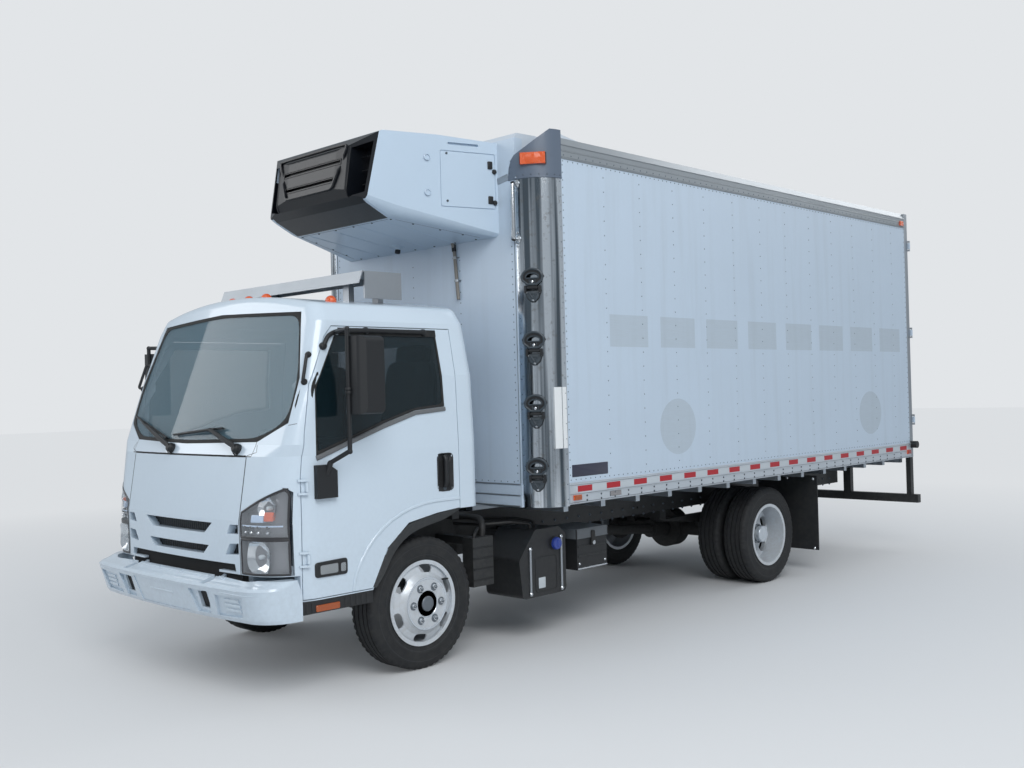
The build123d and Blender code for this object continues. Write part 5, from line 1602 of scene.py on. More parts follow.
    def bumper(self) -> None:
        """Fold lines, shelf ribs, recess floors, slot rib and the filler over the bumper; the recess floors
        and the filler are near-black painted shade.
        """
        skin = self.skin("front_bumper")
        form = self.form("bumper_details")
        for side in (1, -1):
            for z in (522.0, 550.0, 578.0):
                rib = [skin.front(x, z) for (x,) in spread(((side * 655.0,), (side * 787.0,)), 30.0)]
                strip(form, rib, 21.0, 7.0, "plain_paint")
            fold = spread(((side * 650.0, 624.0), (side * 860.0, 620.0), (side * 940.0, 624.0)), 20.0)
            strip(form, [skin.front(x, z) for x, z in fold], 5.0, 2.2, "plain_paint")
            hook = oblong(side * 406.0, side * 489.0, 492.0, 604.0, 8.0)
            # The hook recess floor is a near-black sheet of painted shade.
            floor = [at(x, -1164.0 - (z - 495.0) * 0.34, z) for x, z in hook]
            form.slab(floor, AHEAD * 0.006, "dark_recess", soft=1.0)
            shelf = spread(((side * 150.0, -1158.0), (side * 560.0, -1146.0)), 40.0)
            strip(form, [skin.above(x, s) for x, s in shelf], 26.0, 4.0, "plain_paint")
        # Near-black sheet of painted shade under the bonnet and under the headlamps
        dark = [[at(x, s, z) for x in (-640.0, 0.0, 640.0)] for s, z in ((-1075.0, 770.0), (-1080.0, 640.0))]
        form.loops(dark, "dark_recess", closed=False)
        middle = [skin.above(x, -1160.0) for x in (-110.0, -55.0, 0.0, 55.0, 110.0)]
        strip(form, middle, 26.0, 4.0, "plain_paint")
        slot = [skin.front(x, 566.0) for x in (-135.0, -60.0, 0.0, 60.0, 135.0)]
        strip(form, slot, 13.0, 2.5, "plain_paint")
        form.finish("chassis", "cab_paint")

    def slots(self) -> None:
        """Upright ribs of the mesh behind the grille slots."""
        skin = self.skin("grille")
        form = self.form("grille_ribs")
        limit = at(0.0, -900.0, 0.0).y
        for k in range(53):
            x = -624.0 + 24.0 * k
            rib = [skin.front(x, z) for z in (728.0, 790.0, 850.0, 915.0, 974.0)]
            strip(form, [spot for spot in rib if spot[0].y < limit], 4.0, 4.0, "grille_rib")
        form.finish("cab", "black_plastic")

    def build(self) -> None:
        """Build every front fitting."""
        self.slots()
        self.seal()
        self.seams()
        self.wipers()
        self.headlamps()
        self.grips()
        self.bumper()


@dataclass
class CabDoors(Assembly):
    """Window seals, handles, corner lamps, arch lips and mirror details, one set for each door.

    Attributes:
        pane: Corners of the door window, along and up.
        arch: The door's lower edge over the wheel.
        lip: Width of the black arch lip.
    """

    pane: tuple[Pair, ...] = (
        (-812.0, 1357.0), (-326.0, 1517.0), (-76.0, 1588.0), (165.0, 1606.0), (158.0, 2062.0),
        (-618.0, 2062.0), (-806.0, 1745.0)
    )
    arch: tuple[Pair, ...] = (
        (262.0, 968.0), (75.0, 950.0), (-40.0, 934.0), (-151.0, 908.0), (-240.0, 852.0), (-317.0, 782.0),
        (-378.0, 676.0), (-433.0, 574.0)
    )
    lip: float = 56.0

    def window(self, side: Side) -> None:
        """Black seal round the window, its dark upper frame and the grey moulding along its foot."""
        skin = self.skin("door_" + side.word, "door_glass_" + side.word, "cab_shell")
        form = self.form("window_seal_" + side.word)
        pane = self.skin("door_glass_" + side.word)
        outline = spread(rounded(self.pane, 46.0), 30.0, closed=True)
        run = along_edge(lambda s, z: pane.flank(s, z, side), outline, 30.0, Axis.X)
        strip(form, run, 34.0, 6.0, "seal_rubber", closed=True)
        head = [skin.flank(s, 2061.0, side) for (s,) in spread(((-596.0,), (150.0,)), 40.0)]
        strip(form, head, 46.0, 3.0, "seal_rubber")
        foot = [skin.flank(s, z - 14.0, side) for s, z in spread(self.pane[:4], 30.0)]
        strip(form, foot, 27.0, 10.0, "belt_grey")
        form.finish("door_" + side.word, "black_plastic")

    def handle(self, side: Side) -> None:
        """Door handle in its recess, with a near-black sheet of painted shade for the recess's depth."""
        skin = self.skin("door_" + side.word)
        form = self.form("door_handle_" + side.word)
        outline = oblong(84.0, 216.0, 1082.0, 1318.0, 34.0)
        sheet_on(form, lambda s, z: skin.flank(s, z, side), outline, 7.0, "black_plastic", inset=14.0)
        # Near-black inner sheet: painted shade standing for the depth of the recess.
        dark = oblong(104.0, 196.0, 1100.0, 1292.0, 24.0)
        sheet_on(form, lambda s, z: skin.flank(s, z, side), dark, 8.2, "dark_recess", inset=5.0)
        grip = [
            lifted(skin.flank(150.0, z, side), h)
            for z, h in ((1300.0, 9.0), (1278.0, 24.0), (1140.0, 24.0), (1112.0, 9.0))
        ]
        form.bar(grip, 15.0, "black_plastic", 14)
        place, out = skin.flank(150.0, 1098.0, side)
        form.button(13, (4, 11), (10, 13), place, out, "fastener", 20)
        form.finish("door_" + side.word, "black_plastic")

    def corner_lamp(self, side: Side) -> None:
        """Cornering lamp low on the door."""
        skin = self.skin("door_" + side.word)
        form = self.form("corner_lamp_" + side.word)

        def at_skin(s: float, z: float) -> Place:
            """Place on the door."""
            return skin.flank(s, z, side)

        frame = rounded(((-838.0, 680.0), (-618.0, 678.0), (-618.0, 770.0), (-838.0, 764.0)), 20.0)
        sheet_on(form, at_skin, frame, 9.0, "black_plastic", inset=6.0)
        for s0, s1 in ((-812.0, -684.0), (-672.0, -632.0)):
            glass = rounded(((s0, 694.0), (s1, 694.0), (s1, 750.0), (s0, 748.0)), 12.0)
            sheet_on(form, at_skin, glass, 11.0, "corner_glass", rim="lamp_trim", inset=4.0, crown=5.0)
        form.finish("door_" + side.word, "lamp_clear")

    def arch_lip(self, side: Side) -> None:
        """Black rubber lip along the door's cut over the wheel."""
        form = self.form("arch_lip_" + side.word)
        run = [Vector(p) for p in spread(self.arch, 40.0)]
        hub = Vector((0.0, 430.0))
        lows = []
        for i, p in enumerate(run):
            near_end = min(1.0, i / 3 + 0.35, (len(run) - 1 - i) / 4 + 0.55)
            lows.append(p + (hub - p).normalized() * self.lip * near_end)
        for _ in range(5):
            eased = [(a + b + c) / 3 for a, b, c in zip(lows, lows[1:], lows[2:])]
            lows = [lows[0], *eased, lows[-1]]
        rings = []
        for p, low in zip(run, lows):
            inward = (hub - p).normalized()
            ring = []
            for x, point in (
                (1000.5, p + inward * 1.0), (1003.0, p + inward * 8.0), (1001.0, p.lerp(low, 0.5)),
                (992.0, low), (984.0, low), (975.0, p.lerp(low, 0.5)), (968.0, p + inward * 2.0)
            ):
                ring.append(at(side.value * x, point[0], point[1]))
            rings.append(ring)
        form.loops(rings, "arch_rubber")
        form.finish("door_" + side.word, "black_plastic")

    def swage(self, side: Side) -> None:
        """Raised line that curves over the wheel arch."""
        skin = self.skin("door_" + side.word)
        form = self.form("door_swage_" + side.word)
        line = (
            (262.0, 1030.0), (60.0, 1030.0), (-35.0, 1022.0), (-130.0, 1004.0), (-202.0, 982.0),
            (-285.0, 946.0), (-354.0, 903.0), (-412.0, 858.0), (-461.0, 808.0), (-510.0, 742.0),
            (-546.0, 680.0), (-566.0, 625.0), (-576.0, 572.0)
        )
        run = [skin.flank(s, z, side) for s, z in spread(line, 25.0)]
        strip(form, run, 20.0, 6.5, "plain_paint", sink=3.0)
        form.finish("door_" + side.word, "cab_paint")

    def mirror_parts(self, side: Side) -> None:
        """Mirror glass, clamp rings and the arm along the door frame."""
        x = side.value
        form = self.form("mirror_parts_" + side.word)
        outline = oblong(1112.0, 1248.0, 1600.0, 2004.0, 26.0)

        def back_face(u: float, v: float) -> Vector:
            """Place on the rear of the mirror shell."""
            return at(x * u, -560.0 + (u - 1098.0) * 0.244 + 0.5, v)

        out = Vector((-0.237 * x, 0.971, 0.0))
        glass = [back_face(u, v) for u, v in outline]
        form.loops([glass, [point + out * 0.004 for point in glass]], "mirror_glass")
        clamp = ((19, -8), (21, -4), (21, 4), (19, 8))
        for z in (1705.0, 1725.0):
            form.turned(clamp, at(x * 1150.0, -690.0, z), UP, "black_plastic", 20)
        skin = self.skin("door_" + side.word, "cab_shell")
        path = ((-716.0, 1975.0), (-684.0, 2030.0), (-620.0, 2058.0), (-400.0, 2066.0), (40.0, 2064.0))
        upper = [lifted(skin.flank(s, z, side), 17.0) for s, z in path]
        form.bar(upper, 13.0, "black_plastic", 12)
        for s, z in ((-716.0, 1972.0), (-400.0, 2066.0), (45.0, 2064.0)):
            foot, out_side = skin.flank(s, z, side)
            form.turned(((22, -4), (22, 8), (18, 20), (0.2, 26)), foot, out_side, "black_plastic", 20)
        form.finish("door_" + side.word, "black_plastic")

    def step_marker(self, side: Side) -> None:
        """Amber marker and upright ribs of the step under the door."""
        form = self.form("step_details_" + side.word)
        skin = self.skin("cab_steps")
        lamp = oblong(-838.0, -676.0, 492.0, 529.0, 8.0)
        sheet_on(form, lambda s, z: skin.flank(s, z, side), lamp, 7.0, "amber_marker", inset=4.0)
        for k in range(12):
            s = -900.0 + k * 38.0
            if not -850.0 < s < -664.0:
                rib = [skin.flank(s, z, side) for z in (492.0, 520.0, 545.0)]
                strip(form, rib, 12.0, 3.0, "black_plastic")
        form.finish("cab", "black_plastic")

    def build(self) -> None:
        """Build the fittings of both doors."""
        for side in Side:
            self.window(side)
            self.handle(side)
            self.corner_lamp(side)
            self.arch_lip(side)
            self.swage(side)
            self.mirror_parts(side)
            self.step_marker(side)


@dataclass
class CoolingUnit(Assembly):
    """Details of the cooling unit: raised front, slot rims, latches, screws, belly seams and drain pipe.

    Attributes:
        half: Half width of the raised front at two heights.
        levels: Heights of the raised front's lower and upper edge.
    """

    half: Pair = (262.0, 382.0)
    levels: Pair = (3040.0, 3316.0)

    def raised_front(self) -> None:
        """Raised rim in the middle of the black front, two slot rims and the bars of the intakes."""
        skin = self.skin("unit_grille")
        form = self.form("unit_front_panel")
        (low, high), (foot, head) = self.levels, self.half
        outline = rounded(((-foot, low), (foot, low), (head, high), (-head, high)), 26.0)
        run = along_edge(skin.front, spread(outline, 60.0, closed=True), 30.0, Axis.Y)
        strip(form, run, 16.0, 15.0, "unit_black", closed=True)
        for z, half in ((3214.0, 325.0), (3102.0, 285.0)):
            ring = oblong(-half, half, z - 14.0, z + 14.0, 13.0)
            edge = [skin.front(u, z + (18.0 if v > z else -18.0)) for u, v in spread(ring, 40.0, closed=True)]
            strip(form, edge, 5.0, 4.0, "unit_black", closed=True)
        for side in (1, -1):
            edge = spread(((side * 392.0, 2975.0), (side * 398.0, 3302.0)), 40.0)
            strip(form, [skin.front(u, v) for u, v in edge], 12.0, 6.0, "unit_black")
            # Guard bars behind the intake
            for z in (3060.0, 3150.0, 3240.0):
                form.bar([at(side * 402.0, 30.0, z), at(side * 545.0, 60.0, z + 6.0)], 5.0, "unit_black", 8)
        form.finish("chassis", "unit_black")

    def flank(self) -> None:
        """Service panel latches, knobs and hole rims on both flanks, with painted shade filling the holes."""
        skin = self.skin("unit_housing")
        form = self.form("unit_flank_details")
        for z in (3218.0, 2983.0):
            place, out = skin.flank(786.0, z)
            ahead = Vector((out.y, -out.x, 0.0)) * -1.0
            latch = oblong(-17.0, 17.0, -26.0, 26.0, 6.0)
            corners = [place + ahead * u * MM + Vector((0, 0, v * MM)) for u, v in latch]
            form.slab(corners, out * 0.010, "black_plastic", soft=3.0)
        for z in (3176.0, 2966.0):
            place, out = skin.flank(817.0, z)
            form.turned(((17, -3), (17, 6), (13, 12), (0.2, 13)), place, out, "black_plastic", 20)
        for z in (3277.0, 2961.0):
            place, out = skin.flank(482.0, z)
            form.turned(((8, -2), (8, 3), (3, 4), (3, 2), (0.2, 2)), place, out, "fastener", 14)
        for z in (3239.0, 3008.0):
            place, out = skin.flank(369.0, z)
            centre = place - Vector((0.0, 0.026, 0.0))
            form.turned(((22, -3), (22, 3), (18, 4), (16, 1), (16, -8)), centre, out, "unit_white", 28)
            # A near-black disc of painted shade fills each hole.
            form.turned(((16, -6), (0.2, -6)), centre, out, "dark_recess", 28)
        form.mirror().finish("chassis", "unit_white")

    def belly(self) -> None:
        """Screws, seams and the drain plug under the housing."""
        skin = self.skin("unit_housing", "unit_grille")

        def under(x: float, s: float) -> Place:
            """Place on the underside."""
            return skin.hit(at(x, s, 2300.0), UP)

        form = self.form("unit_belly_details")
        across = spread(((-480.0, 170.0), (480.0, 170.0)), 40.0)
        strip(form, [under(x, s) for x, s in across], 7.0, 1.2, "seam_grey")
        for x in (-420.0, -140.0, 140.0, 420.0):
            rib = [under(x, s) for (s,) in spread(((190.0,), (800.0,)), 60.0)]
            strip(form, rib, 9.0, 2.6, "unit_white")
        for side in (1, -1):
            seam = spread(((side * 520.0, 200.0), (side * 700.0, 790.0)), 40.0)
            strip(form, [under(x, s) for x, s in seam], 6.0, 1.0, "seam_grey")
        place, out = under(-60.0, 700.0)
        form.turned(((52, -2), (50, 5), (40, 8), (24, 9), (22, 22), (0.2, 24)), place, out, "unit_white", 32)
        form.button(20, (20, 46), (14, 50), place, out, "black_plastic", 20)
        form.finish("chassis", "unit_white")
        spots = [under(x, 178.0) for x in (-500.0, -300.0, -100.0, 100.0, 300.0, 500.0)]
        spots += [under(x, 812.0) for x in (-640.0, -430.0, -210.0, 0.0, 210.0, 430.0, 640.0)]
        flanks = ((545.0, 330.0), (600.0, 520.0), (650.0, 680.0))
        spots += [under(side * x, s) for side in (1, -1) for x, s in flanks]
        self.repeat("unit_belly_screws", SCREW, spots, "black_plastic", "chassis", "black_plastic")

    def drain(self) -> None:
        """Drain pipe down the front wall with its elbow and clips."""
        form = self.form("drain_pipe_dressed")
        run = [at(395.0, 815.0, 2745.0), at(398.0, 829.0, 2700.0), at(430.0, 829.0, 2345.0)]
        form.bar(run, 12.0, "grey_pipe", 16)
        rise = run[1] - run[2]
        elbow = ((15, 0), (16, 4), (16, 46), (13, 50))
        form.turned(elbow, run[1] - Vector((0, 0, 0.015)), rise, "black_plastic", 20)
        clip = ((13, -9), (15, -8), (15, 8), (13, 9))
        for z in (2640.0, 2478.0):
            x = 398.0 + (2700.0 - z) * 32.0 / 355.0
            form.turned(clip, at(x, 829.0, z), rise, "galvanised", 20)
            form.bar([at(x - 34.0, 839.0, z), at(x + 34.0, 839.0, z)], 5.0, "galvanised", 8)
        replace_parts(form.finish("chassis", "grey_pipe"), "drain_pipe")

    def build(self) -> None:
        """Build every detail of the unit."""
        self.raised_front()
        self.flank()
        self.belly()
        self.drain()


@dataclass
class BoxSkin(Assembly):
    """Rivets, seams, corner strips, lamps and rail bolts of the load box.

    Attributes:
        half: Half width over the side skins.
        front: Face of the front wall.
        post_radius: Radius of the corner posts.
        cap_radius: Radius of the corner caps.
        first_row: Where the first upright rivet row of the side walls stands.
        row_pitch: Distance between those rows.
        pitch: Distance between the rivets of an upright row.
        close: Distance between the rivets of a close row.
        step_top: Height of the uppermost fold-down step.
        step_pitch: Distance between the steps.
        step_turn: Direction that the steps face, in degrees from straight ahead.
    """

    half: float = 1219.0
    front: float = 841.0
    post_radius: float = 219.0
    cap_radius: float = 223.0
    first_row: float = 1498.0
    row_pitch: float = 404.7
    pitch: float = 101.0
    close: float = 50.6
    step_top: float = 2499.0
    step_pitch: float = 417.0
    step_turn: float = 31.0

    def side_rows(self) -> None:
        """Rivets of the side walls: upright rows, and close rows along the foot and the head."""
        spots: list[Place] = []
        for side in Side:
            x = side.value * self.half
            for k in range(12):
                s = self.first_row + k * self.row_pitch
                spots += [(at(x, s, 1140.0 + n * self.pitch), side.out) for n in range(21)]
            for z in (1086.0, 3222.0):
                spots += [(at(x, 1078.0 + n * self.close, z), side.out) for n in range(103)]
            for s in (1072.0, 6240.0):
                spots += [(at(x, s, 1120.0 + n * self.close), side.out) for n in range(42)]
        self.repeat("side_wall_rivets", RIVET, spots, "rivet_grey", "chassis", "box_skin", 8)

    def front_rows(self) -> None:
        """Rivets of the front wall, the kick plate and the corner posts."""
        spots = []
        for x in (-955.0, 955.0):
            spots += [(at(x, self.front, 1090.0 + n * self.close), AHEAD) for n in range(40)]
        for x in (-470.0, -65.0, 440.0):
            spots += [(at(x, self.front, 1120.0 + n * 75.0), AHEAD) for n in range(21)]
        spots += [(at(-940.0 + n * 62.0, self.front, 1082.0), AHEAD) for n in range(31)]
        self.repeat("front_wall_rivets", RIVET, spots, "rivet_grey", "chassis", "box_skin", 8)
        post = [
            round_post(side.value, turn, self.post_radius, 960.0 + n * self.pitch)
            for side in Side for turn in (4.0, 86.0) for n in range(22)
        ]
        self.repeat("post_rivets", RIVET, post, "rivet_grey", "chassis", "box_skin", 8)

    def front_trim(self) -> None:
        """Kick plate seams, edge strips, bright strip beside the unit and the corner posts' drawn ribs."""
        form = self.form("front_wall_trim")
        wide = (-985.0, -500.0, 0.0, 500.0, 985.0)
        for z, proud, xs, width, height in (
            (992.0, 12.0, wide, 9.0, 3.0), (1066.0, 6.0, wide, 9.0, 4.0), (921.0, 12.0, wide[::2], 11.0, 4.0),
        ):
            strip(form, [(at(x, self.front - proud, z), AHEAD) for x in xs], width, height, "galvanised")
        for side in (1, -1):
            edge = [(at(side * 982.0, self.front, z), AHEAD) for z in (1072.0, 1800.0, 2500.0, 3096.0)]
            strip(form, edge, 7.0, 3.0, "seam_grey")
            beside = [
                (at(side * x, self.front, 3113.0 + (x - 842.0) * 0.17), AHEAD) for x in (838.0, 890.0, 938.0)
            ]
            strip(form, beside, 46.0, 5.0, "galvanised")
            for turn, width in ((16.0, 7.0), (30.0, 7.0), (47.0, 12.0), (62.0, 7.0), (78.0, 7.0)):
                rib = [round_post(side, turn, self.post_radius, z) for z in (922.0, 1600.0, 2400.0, 3094.0)]
                strip(form, rib, width, 1.6, "post_steel")
        form.finish("chassis", "box_aluminium")

    def caps(self) -> None:
        """Crease, rivets and lamp lenses of the corner caps."""
        form = self.form("cap_details")
        lens = (
            (3193.0, -0.4), (3196.0, 0.5), (3214.0, 1.0), (3228.0, 1.15), (3242.0, 1.0), (3260.0, 0.5),
            (3263.0, -0.4)
        )
        for side in (1, -1):
            crease = [round_post(side, turn, self.cap_radius, 3106.0) for turn in range(0, 91, 6)]
            strip(form, crease, 10.0, 3.0, "cap_plastic")
            rows = []
            for k in range(9):
                bulge = 8.0 * math.sin(math.pi * k / 8) ** 0.5
                row = [round_post(side, 16.0 + 5.0 * k, 239.0 + bulge * share, z)[0] for z, share in lens]
                rows.append(row)
            form.loops(rows, "amber_lens")
            for turn in (14.5, 57.5):
                bezel = [round_post(side, turn, 232.0, z) for z in (3190.0, 3228.0, 3266.0)]
                strip(form, bezel, 9.0, 9.0, "lamp_trim")
        form.finish("chassis", "cap_plastic")
        spots = []
        for side in (1, -1):
            for turn in (4.0, 18.0, 32.0, 46.0, 60.0, 74.0, 86.0):
                spots.append(round_post(side, turn, self.cap_radius, 3122.0))
            for z in (3150.0, 3190.0, 3230.0):
                spots.append((at(side * (950.0 + (z - 3150.0) * 0.2), self.front - 4.0, z), AHEAD))
        self.repeat("cap_rivets", RIVET, spots, "fastener", "chassis", "cap_plastic", 8)

    def rails(self) -> None:
        """Bolts, rivets and raised lines of the rails, their grey reflectors and marker lenses."""
        bolts = []
        rivets = []
        for side in Side:
            for k in range(33):
                s = 1230.0 + k * 150.0
                bolts += [(at(side.value * (self.half + 6.0), s, z), side.out) for z in (942.0, 972.0)]
            x = side.value * (self.half + 4.0)
            rivets += [(at(x, 1085.0 + n * 76.0, 3262.0), side.out) for n in range(68)]
        head = ((7.0, -1.0), (7.0, 2.4), (5.0, 3.6), (0.2, 3.8))
        self.repeat("rail_bolts", head, bolts, "fastener", "chassis", "box_aluminium", 8)
        self.repeat("head_rail_rivets", RIVET, rivets, "rivet_grey", "chassis", "box_aluminium", 8)
        form = self.form("rail_details")
        skin = self.skin("box_rails", "box_lamps")
        stations = (1062.0, 2400.0, 3800.0, 5200.0, 6253.0)
        for side in Side:
            for z, reach, width, height in (
                (986.0, 1225.0, 5.0, 3.5), (1052.0, 1225.0, 6.0, 3.5), (930.0, 1225.0, 6.0, 2.5),
                (1066.0, 1225.0, 4.0, 2.0), (3243.0, 1223.0, 6.0, 3.0), (3290.0, 1223.0, 8.0, 3.0),
                (3328.0, 1223.0, 8.0, 3.0)
            ):
                line = [(at(side.value * reach, s, z), side.out) for s in stations]
                strip(form, line, width, height, "rail_aluminium")
            for s0, s1, z0, z1, finish, rim in (
                (1473.0, 1598.0, 946.0, 981.0, "grey_reflector", "fastener"),
                (1092.0, 1163.0, 951.0, 984.0, "amber_marker", None),
                (6172.0, 6238.0, 961.0, 999.0, "red_lens", None)
            ):
                plate = oblong(s0, s1, z0, z1, 5.0)
                sheet_on(form, lambda s, z: skin.flank(s, z, side), plate, 3.0, finish, rim=rim, inset=3.0)
        form.finish("chassis", "box_aluminium")

    def step(self, index: int) -> None:
        """Ribbed rings, foot and screws of one fold-down step.

        Args:
            index: Which step, 0 for the uppermost.
        """
        top = self.step_top - self.step_pitch * index
        base, out = round_post(1, self.step_turn, self.post_radius, top)
        side = Vector((-out.y, out.x, 0.0))

        def spot(u: float, v: float, h: float) -> Vector:
            """Place on the step's plane: across, up and out, in millimetres."""
            return base + (side * u + out * h) * MM + Vector((0, 0, v * MM))

        def hoop(middle: float, reach: Pair, ends: int, pace: int, foot: Outline) -> list[Pair]:
            """Upper part of a ring's outline as an arc, with its foot."""
            turns = [math.radians(d) for d in range(-ends, ends + 1, pace)]
            return [(reach[0] * math.sin(a), middle + reach[1] * math.cos(a)) for a in turns] + list(foot)

        ring = self.form("step_ring_%d" % (index + 1))
        outer = hoop(-62.0, (74.0, 56.0), 110, 11, ((33.0, -108.0), (-33.0, -108.0)))
        inner = hoop(-60.0, (44.0, 27.0), 95, 19, ((40.0, -68.0), (-40.0, -68.0)))
        for outline, narrow, radius, count in ((outer, 0.93, 7.5, 10), (inner, 1.0, 4.5, 8)):
            path = [spot(u * narrow, v, 36.0) for u, v in outline]
            ring.bar(path + [path[0]], radius, "step_black", count, round_off=False)
        for u in (-20.0, 0.0, 20.0):
            ring.bar([spot(u, -76.0, 35.0), spot(u * 0.8, -112.0, 35.0)], 3.5, "step_black", 8)
        ring.button(9, (-2, 4), (5, 6), spot(0.0, -92.0, 35.0), out, "bright_steel", 16)
        ring.finish("folding_step_%d" % (index + 1), "black_plastic")
        foot = self.form("step_foot_%d" % (index + 1))
        outline = (
            (-52.0, -150.0), (52.0, -150.0), (36.0, -198.0), (11.0, -222.0), (-11.0, -222.0), (-36.0, -198.0)
        )
        foot.slab([spot(u, v, 12.5) for u, v in rounded(outline, 12.0)], out * 0.006, "step_black", soft=3.0)
        brace = [spot(-30.0, -158.0, 20.0), spot(0.0, -204.0, 19.0), spot(30.0, -158.0, 20.0)]
        foot.bar(brace, 5.0, "step_black", 8)
        foot.bar([spot(-24.0, -168.0, 20.0), spot(24.0, -168.0, 20.0)], 4.0, "step_black", 8)
        for u, v in ((0.0, -212.0), (-44.0, -158.0), (44.0, -158.0)):
            foot.button(8, (-1, 3), (5, 6), spot(u, v, 18.0), out, "bright_steel", 14)
        foot.finish("chassis", "black_plastic")

    def grab_rail(self) -> None:
        """Bright grab rail over the steps, with its feet."""
        rail = self.form("grab_rail_dressed")
        x, high, low = 1010.0, 3070.0, 2700.0
        ends = ((2.0, high), (38.0, high), (38.0, low), (2.0, low))
        rail.bar([at(x, self.front - reach, z) for reach, z in ends], 15.0, "bright_steel", 18)
        plate = ((30, -2), (30, 3), (24, 8), (16, 12))
        for z in (high, low):
            rail.turned(plate, at(x, self.front, z), AHEAD, "bright_steel", 24)
            for dz in (-44.0, 44.0):
                rail.button(9, (-2, 3), (4, 5), at(x, self.front, z + dz), AHEAD, "bright_steel", 12)
        rail.finish("chassis", "box_aluminium")

    def labels(self) -> None:
        """Blank paper label round the edge of the left post, and blank stickers."""
        form = self.form("blank_labels")
        rings = []
        for turn in range(61, 89, 3):
            rings.append([
                round_post(1, turn, reach, z)[0]
                for reach, z in ((218.6, 1302.0), (220.4, 1303.0), (220.4, 1709.0), (218.6, 1710.0))
            ])
        form.loops(rings, "paper_white")
        sticker = oblong(1090.0, 1466.0, 1104.0, 1186.0, 6.0)
        form.slab([at(self.half, s, z) for s, z in sticker], Side.LEFT.out * 0.0015, "sticker_navy", soft=0.8)
        form.finish("chassis", "box_skin")

    def build(self) -> None:
        """Build every detail of the box's sides and front."""
        self.labels()
        self.side_rows()
        self.front_rows()
        self.front_trim()
        self.caps()
        self.rails()
        for index in range(4):
            self.step(index)
        self.grab_rail()


